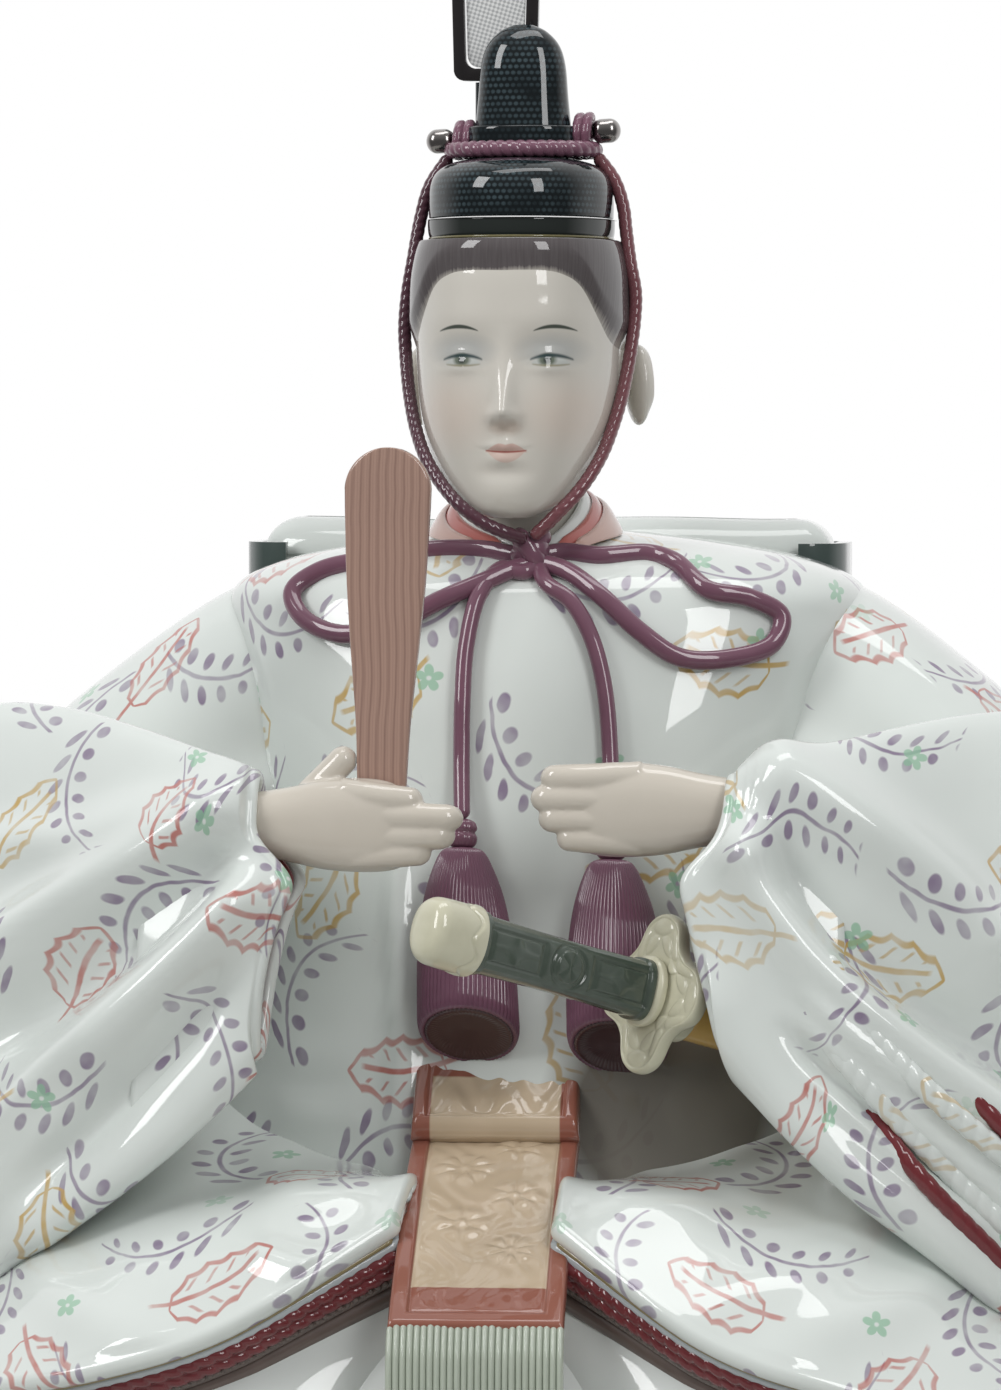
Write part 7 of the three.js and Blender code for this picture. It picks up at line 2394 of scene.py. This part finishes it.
@dataclass(frozen=True)
class Lamp:
    """A soft box.

    Attributes:
        name: what it is.
        place: where it stands, in metres.
        size: its width and height, in metres.
        power: in watts.
        tint: its colour.
    """

    name: str
    place: tuple
    size: tuple
    power: float
    tint: str = "#ffffff"

    def build(self, target: Vector) -> None:
        """Puts the lamp up, turned towards a point."""
        light = bpy.data.lights.new(self.name, "AREA")
        light.shape, light.size, light.size_y = "RECTANGLE", *self.size
        light.energy, light.color = self.power, linear(self.tint)[:3]
        lamp = bpy.data.objects.new(self.name, light)
        lamp.location = self.place
        lamp.rotation_euler = (target - Vector(self.place)).to_track_quat("-Z", "Y").to_euler()
        bpy.context.scene.collection.objects.link(lamp)


@dataclass
class Studio:
    """White surround, pale floor, soft boxes and the camera at the photo's angle."""

    azimuth: float = math.radians(8.0)
    distance: float = 1.05
    focal: float = 5500.0
    sensor_pixels: float = 1001.0
    eye_height: float = 0.205
    shift: float = 49.0
    fall: float = 275.0
    ambient: float = 0.33
    dark: float = 0.14
    film_width: float = 36.0
    floor_radius: float = 0.32
    floor_tone: str = "#c4c4c1"
    target: tuple = (0, -0.03, 0.15)
    lamps: tuple = (Lamp("key", (-0.75, -0.7, 0.8), (0.34, 0.6), 5.4),
                    Lamp("window", (0.62, -0.95, 0.76), (0.3, 0.7), 4.6),
                    Lamp("top", (0.05, -0.1, 1.15), (0.8, 0.3), 3.0))

    def camera(self) -> None:
        """Sets the camera up as the photo was taken."""
        az, pitch = self.azimuth, math.atan2(self.fall, self.focal)
        right = Vector((math.cos(az), math.sin(az), 0))
        level = Vector((-math.sin(az), math.cos(az), 0))
        ahead = level * math.cos(pitch) - Vector((0, 0, math.sin(pitch)))
        up = right.cross(ahead)
        aside = self.shift * self.distance / self.focal
        place = Vector((self.distance * math.sin(az), -self.distance * math.cos(az), self.eye_height))
        place -= right * aside
        lens = bpy.data.cameras.new("camera")
        lens.sensor_fit, lens.sensor_width = "HORIZONTAL", self.film_width
        lens.lens = self.focal / self.sensor_pixels * self.film_width
        view = bpy.data.objects.new("camera", lens)
        view.matrix_world = Matrix(((right.x, up.x, -ahead.x, place.x), (right.y, up.y, -ahead.y, place.y),
                                    (right.z, up.z, -ahead.z, place.z), (0, 0, 0, 1)))
        bpy.context.scene.collection.objects.link(view)
        bpy.context.scene.camera = view

    def world(self) -> None:
        """A white backdrop behind the doll and a dim room in front, which light it less than they show."""
        world = bpy.data.worlds.new("white surround")
        bpy.context.scene.world = world
        world.use_nodes = True
        tree = world.node_tree
        tree.nodes.clear()
        path = add(tree, "ShaderNodeLightPath").outputs
        camera = Term(tree, path["Is Camera Ray"])
        seen = camera.by("MAXIMUM", Term(tree, path["Is Transmission Ray"]))
        seen = seen.by("MAXIMUM", Term(tree, path["Is Glossy Ray"]))
        way = add(tree, "ShaderNodeSeparateXYZ",
                  {0: add(tree, "ShaderNodeTexCoord").outputs["Generated"]}).outputs
        behind = (Term(tree, way[1]) * 1.7 + 0.45).held()
        above = (Term(tree, way[2]) * 1.2 - 0.1).held() * 0.3
        room = behind.by("MAXIMUM", above).by("MAXIMUM", camera) * (1 - self.dark) + self.dark
        bright = (room - self.ambient) * seen + self.ambient
        back = add(tree, "ShaderNodeBackground", {"Color": (1, 1, 1, 1), "Strength": bright})
        add(tree, "ShaderNodeOutputWorld", {"Surface": back.outputs[0]})

    def floor(self) -> None:
        """A plain pale floor."""
        r = self.floor_radius
        rim = [(r * math.cos(a), r * math.sin(a), 0.0) for a in np.linspace(0, 2 * math.pi, 97)[1:]]
        mesh = bpy.data.meshes.new("floor")
        mesh.from_pydata(rim, [], [tuple(range(len(rim)))])
        ground = bpy.data.objects.new("floor", mesh)
        bpy.context.scene.collection.objects.link(ground)
        material = bpy.data.materials.new("white paper")
        material.use_nodes = True
        shader = material.node_tree.nodes["Principled BSDF"]
        shader.inputs["Base Color"].default_value = linear(self.floor_tone)
        shader.inputs["Roughness"].default_value = 0.9
        mesh.materials.append(material)

    def build(self) -> None:
        """Sets everything up."""
        bpy.context.scene.view_settings.view_transform = "Standard"
        for lamp in self.lamps:
            lamp.build(Vector(self.target))
        self.world()
        self.floor()
        self.camera()


# Folds


RIGHT_FOLDS = (
    Crease([[-40, 142], [-55.2, 130.5], [-78.7, 116.2], [-100, 104], [-132, 92]], 6.5, 5.6, 0.12),
    Crease([[-38, 128], [-48, 116.7], [-59.7, 104.1], [-76.5, 87.6], [-92, 72], [-112, 56]], 6.5, 5.6, 0.12),
    Crease([[-37, 112], [-38.0, 97.9], [-50.9, 82.8], [-87.6, 53.9]], 3.0, 4.0, 0.14),
    Crease([[-41.2, 134], [-51, 123], [-65.7, 110.9], [-89.6, 95.3], [-115, 80]], -5.0, 4.6, 0.15),
    Crease([[-41, 112], [-52, 98], [-70, 80], [-88, 64]], -3.6, 3.8, 0.25),
    Crease([[-120, 112], [-92.6, 126.9], [-75.7, 129.6], [-58.4, 136.3], [-44.7, 140.3]], 2.4, 4.5, 0.3),
    Crease([[-88, 100], [-108, 88], [-140, 80]], 4.5, 6.0, 0.3),
    Crease([[-66, 95], [-88, 74], [-108, 58]], -3.0, 3.4, 0.3),
    Crease([[-96, 84], [-112, 72], [-128, 64]], -3.0, 4.0, 0.3))
LEFT_FOLDS = (
    Crease([[41, 144], [49.5, 142.8], [61.8, 136], [75.6, 125], [92, 109], [116, 90]], 6.0, 5.6, 0.12),
    Crease([[40, 136], [45.2, 129.9], [57.4, 112.7], [72.9, 96.9], [90.2, 82.7], [112, 66]], 6.5, 5.2, 0.1),
    Crease([[38, 114], [45.6, 93.6], [61.2, 78.2], [78.4, 64.1], [90.4, 53.1], [100, 46]], 3.0, 4.0, 0.14),
    Crease([[47, 134], [54, 124], [64, 113], [77, 103], [95, 92], [112, 80]], -5.5, 4.4, 0.15),
    Crease([[52.6, 108.8], [64.1, 97.2], [77.2, 86], [90.3, 74.5], [104, 63]], 2.6, 1.7, 0.2),
    Crease([[52.6, 104.6], [64.1, 93], [76.2, 82], [89.3, 70.6], [104, 58]], 2.4, 1.6, 0.2),
    Crease([[50.6, 102], [62, 90], [76, 77.6], [92, 63.6]], -2.6, 1.6, 0.25),
    Crease([[55.6, 93.3], [66.1, 84.6], [78.2, 73.5], [90.3, 62.6]], 2.0, 2.0, 0.25),
    Crease([[88, 122], [108, 106], [136, 94]], 4.5, 6.0, 0.3),
    Crease([[84, 112], [104, 97], [130, 82]], -4.0, 4.5, 0.3))
RIGHT_HANG = ((83, -0.15), (91.5, 0.05), (97, 0.08), (105, 0.2), (112, 0.4), (118, 0.65), (123, 1.0),
              (127, 0.6), (131, 0))
LEFT_HANG = ((80, -0.7), (86.5, -0.6), (96, 0), (104, 0.25), (110, 0.48), (118, 0.75), (124, 1.0),
             (127, 0.8), (131, 0.2), (136, 0))
PALE_ROLLS = (([54, 110], [60, 99], [70, 87], [82, 74], [96, 60]),
              ([60, 112], [66, 102], [76, 91], [88, 80], [104, 66]))
SHOWN_LINING = (([62, 91], [66.4, 86.1], [78.4, 72.1], [92, 57.5]),
                ([82, 92], [88, 85.4], [94, 79], [101, 72]))
KNEE_FOLDS = {
    "right": (Crease([[-92, 60], [-70, 50], [-44, 44]], 1.6, 5.0, 0.35),
              Crease([[-16, 70], [-30, 68], [-50, 74]], 1.8, 2.6, 0.3),
              Crease([[-14, 62], [-26, 58], [-44, 62]], 1.7, 2.6, 0.3),
              Crease([[-15, 54], [-26, 48], [-40, 48]], 1.5, 2.6, 0.3)),
    "left": (Crease([[92, 60], [70, 52], [46, 47]], 1.6, 5.0, 0.35),
             Crease([[16, 70], [30, 68], [52, 73]], 1.8, 3.2, 0.3),
             Crease([[34, 52], [52, 56], [76, 66]], 1.2, 5.0, 0.3))}


# Everything


def main() -> None:
    """Builds the doll and its studio."""
    # the chest paint carries painted shade: a soft dark spot low on the doll's left, where the robe lies in
    # shadow
    hollow = shaded(Motifs(7.0, 33.0, 0.15), "#6d685f", 29.0, 80.0, 20.0, 18.5)
    chest, right_robe, left_robe, knees = (
        Glaze(f"white painted porcelain of the {part}", "robe", ROBE_WHITE).made(paint) for part, paint in (
            ("chest", hollow), ("right sleeve", Motifs(11.0, 34.0, 0.5)),
            ("left sleeve", Motifs(26.0, 34.0, -0.4)), ("knees", Motifs(40.0, 33.0, 0.2))))
    robe = Glaze("white porcelain of the robe", "robe", ROBE_WHITE).made()
    white = Glaze("white porcelain of the trousers", "trousers", "#d9dedb").made()
    head = Head()
    face = head.sizes
    skin = Glaze("flesh tinted porcelain", "skin", "#d3cfc6", mottle=0.02).made(
        painted_face(face.offset + 0.4, face.chin))
    hands = Glaze("flesh tinted porcelain of the hands", "skin", "#d1cabe").made(
        darker_below("#bfb5a7", 6.0, 100.0, 150.0))
    hair_finish = Glaze("grey brown hair glaze", "hair", "#5f5a5b", sheen_under=0.0).made(
        faded("#bdb8af", "#4b4546"))
    black = Glaze("black cap glaze", "cap", "#10171a", ripple=0.012, sheen_under=0.0).made(
        woven("#4a5a60", 1.15))
    band = Glaze("dark grey brim glaze", "cap", "#2b302e", sheen_under=0.0).made()
    gold = Glaze("olive line under the brim", "cap", "#7d7653").made()
    pin = Glaze("dark lustre", "hairpin", "#8f8a88", metallic=1.0, roughness=0.2).made()
    cord = Glaze("purple cord glaze", "cord", "#7a5465").made(darker_below("#502f3f", 5.0, 0.0, 260.0))
    dark_cord = Glaze("dark purple cord glaze", "cord", "#54343f").made()
    red_cord = Glaze("reddish cord glaze", "cord", "#78494f").made()
    tassel = Glaze("purple tassel glaze", "tassel", "#744d60").made(darker_below("#4a2d3b", 4.0, 88.0, 130.0))
    core = Glaze("dark tassel core", "tassel", "#3f2529").made()
    wood = Glaze("brown pink baton glaze", "baton", "#ad8e80").made(grained("#876b60", 1.5))
    grip = Glaze("dark green grip glaze", "grip", "#4f5a50").made(darker_below("#2b332d", 2.2, 0.0, 200.0))
    cream = Glaze("cream relief glaze", "cream", "#d3d1ba").made(darker_below("#b9b69b", 3.0, 0.0, 300.0))
    ochre = Glaze("ochre scabbard glaze", "scabbard", "#cda65c").made()
    sash = Glaze("peach sash glaze", "sash", "#c5b299").made(bordered(SashSizes()))
    fringe = Glaze("celadon fringe glaze", "fringe", "#b9c1b3").made(darker_below("#98a394", 3.0, 20.0, 60.0))
    crimson = Glaze("crimson glaze", "crimson", "#7c3438").made(darker_below("#531d22", 4.0, 0.0, 200.0))
    pale = Glaze("pale grey glaze", "pale", "#b8bfc2").made()
    brown = Glaze("brown hem glaze", "brown", "#6d5f59").made(darker_below("#4b4340", 3.0, 0.0, 100.0))
    olive = Glaze("olive edge line", "pale", "#8f835f").made()
    coral = Glaze("coral collar glaze", "coral", "#b96a63").made()
    pink = Glaze("pinkish collar glaze", "pink", "#c9a79c").made()
    belt = Glaze("dark green belt glaze", "belt", "#46524f").made()
    wire = Glaze("black lacquered wire", "plume_frame", "#2b2829", metallic=0.3).made()
    gauze = Glaze("silver white gauze", "plume_gauze", "#dfe0df", gloss=0.0, roughness=0.6).made(
        netted("#9a9c9e", 1.25))
    trunk = Trunk()
    trunk.build(chest)
    head.build(skin, hair_finish)
    Collars().build((white, coral, pink))
    Cap().build(black, band, gold, pin, cord)
    Plume().build(wire, gauze, black)
    Cords(trunk).build(red_cord, dark_cord, cord, tassel, core)
    Hands().build(hands, wood)
    Sword().build(cream, grip, ochre)
    Sleeve(-1, RIGHT_FOLDS, 7.6, RIGHT_HANG).build(right_robe, crimson)
    Sleeve(1, LEFT_FOLDS, 7.5, LEFT_HANG).build(left_robe, crimson, SHOWN_LINING, PALE_ROLLS)
    Lap().build(knees, white, pale, crimson, brown, olive, KNEE_FOLDS)
    Back().build(robe, belt)
    Sash().build(sash, fringe)
    Studio().build()


if __name__ == "__main__":
    logging.basicConfig(level=logging.INFO, format="%(message)s")
    main()
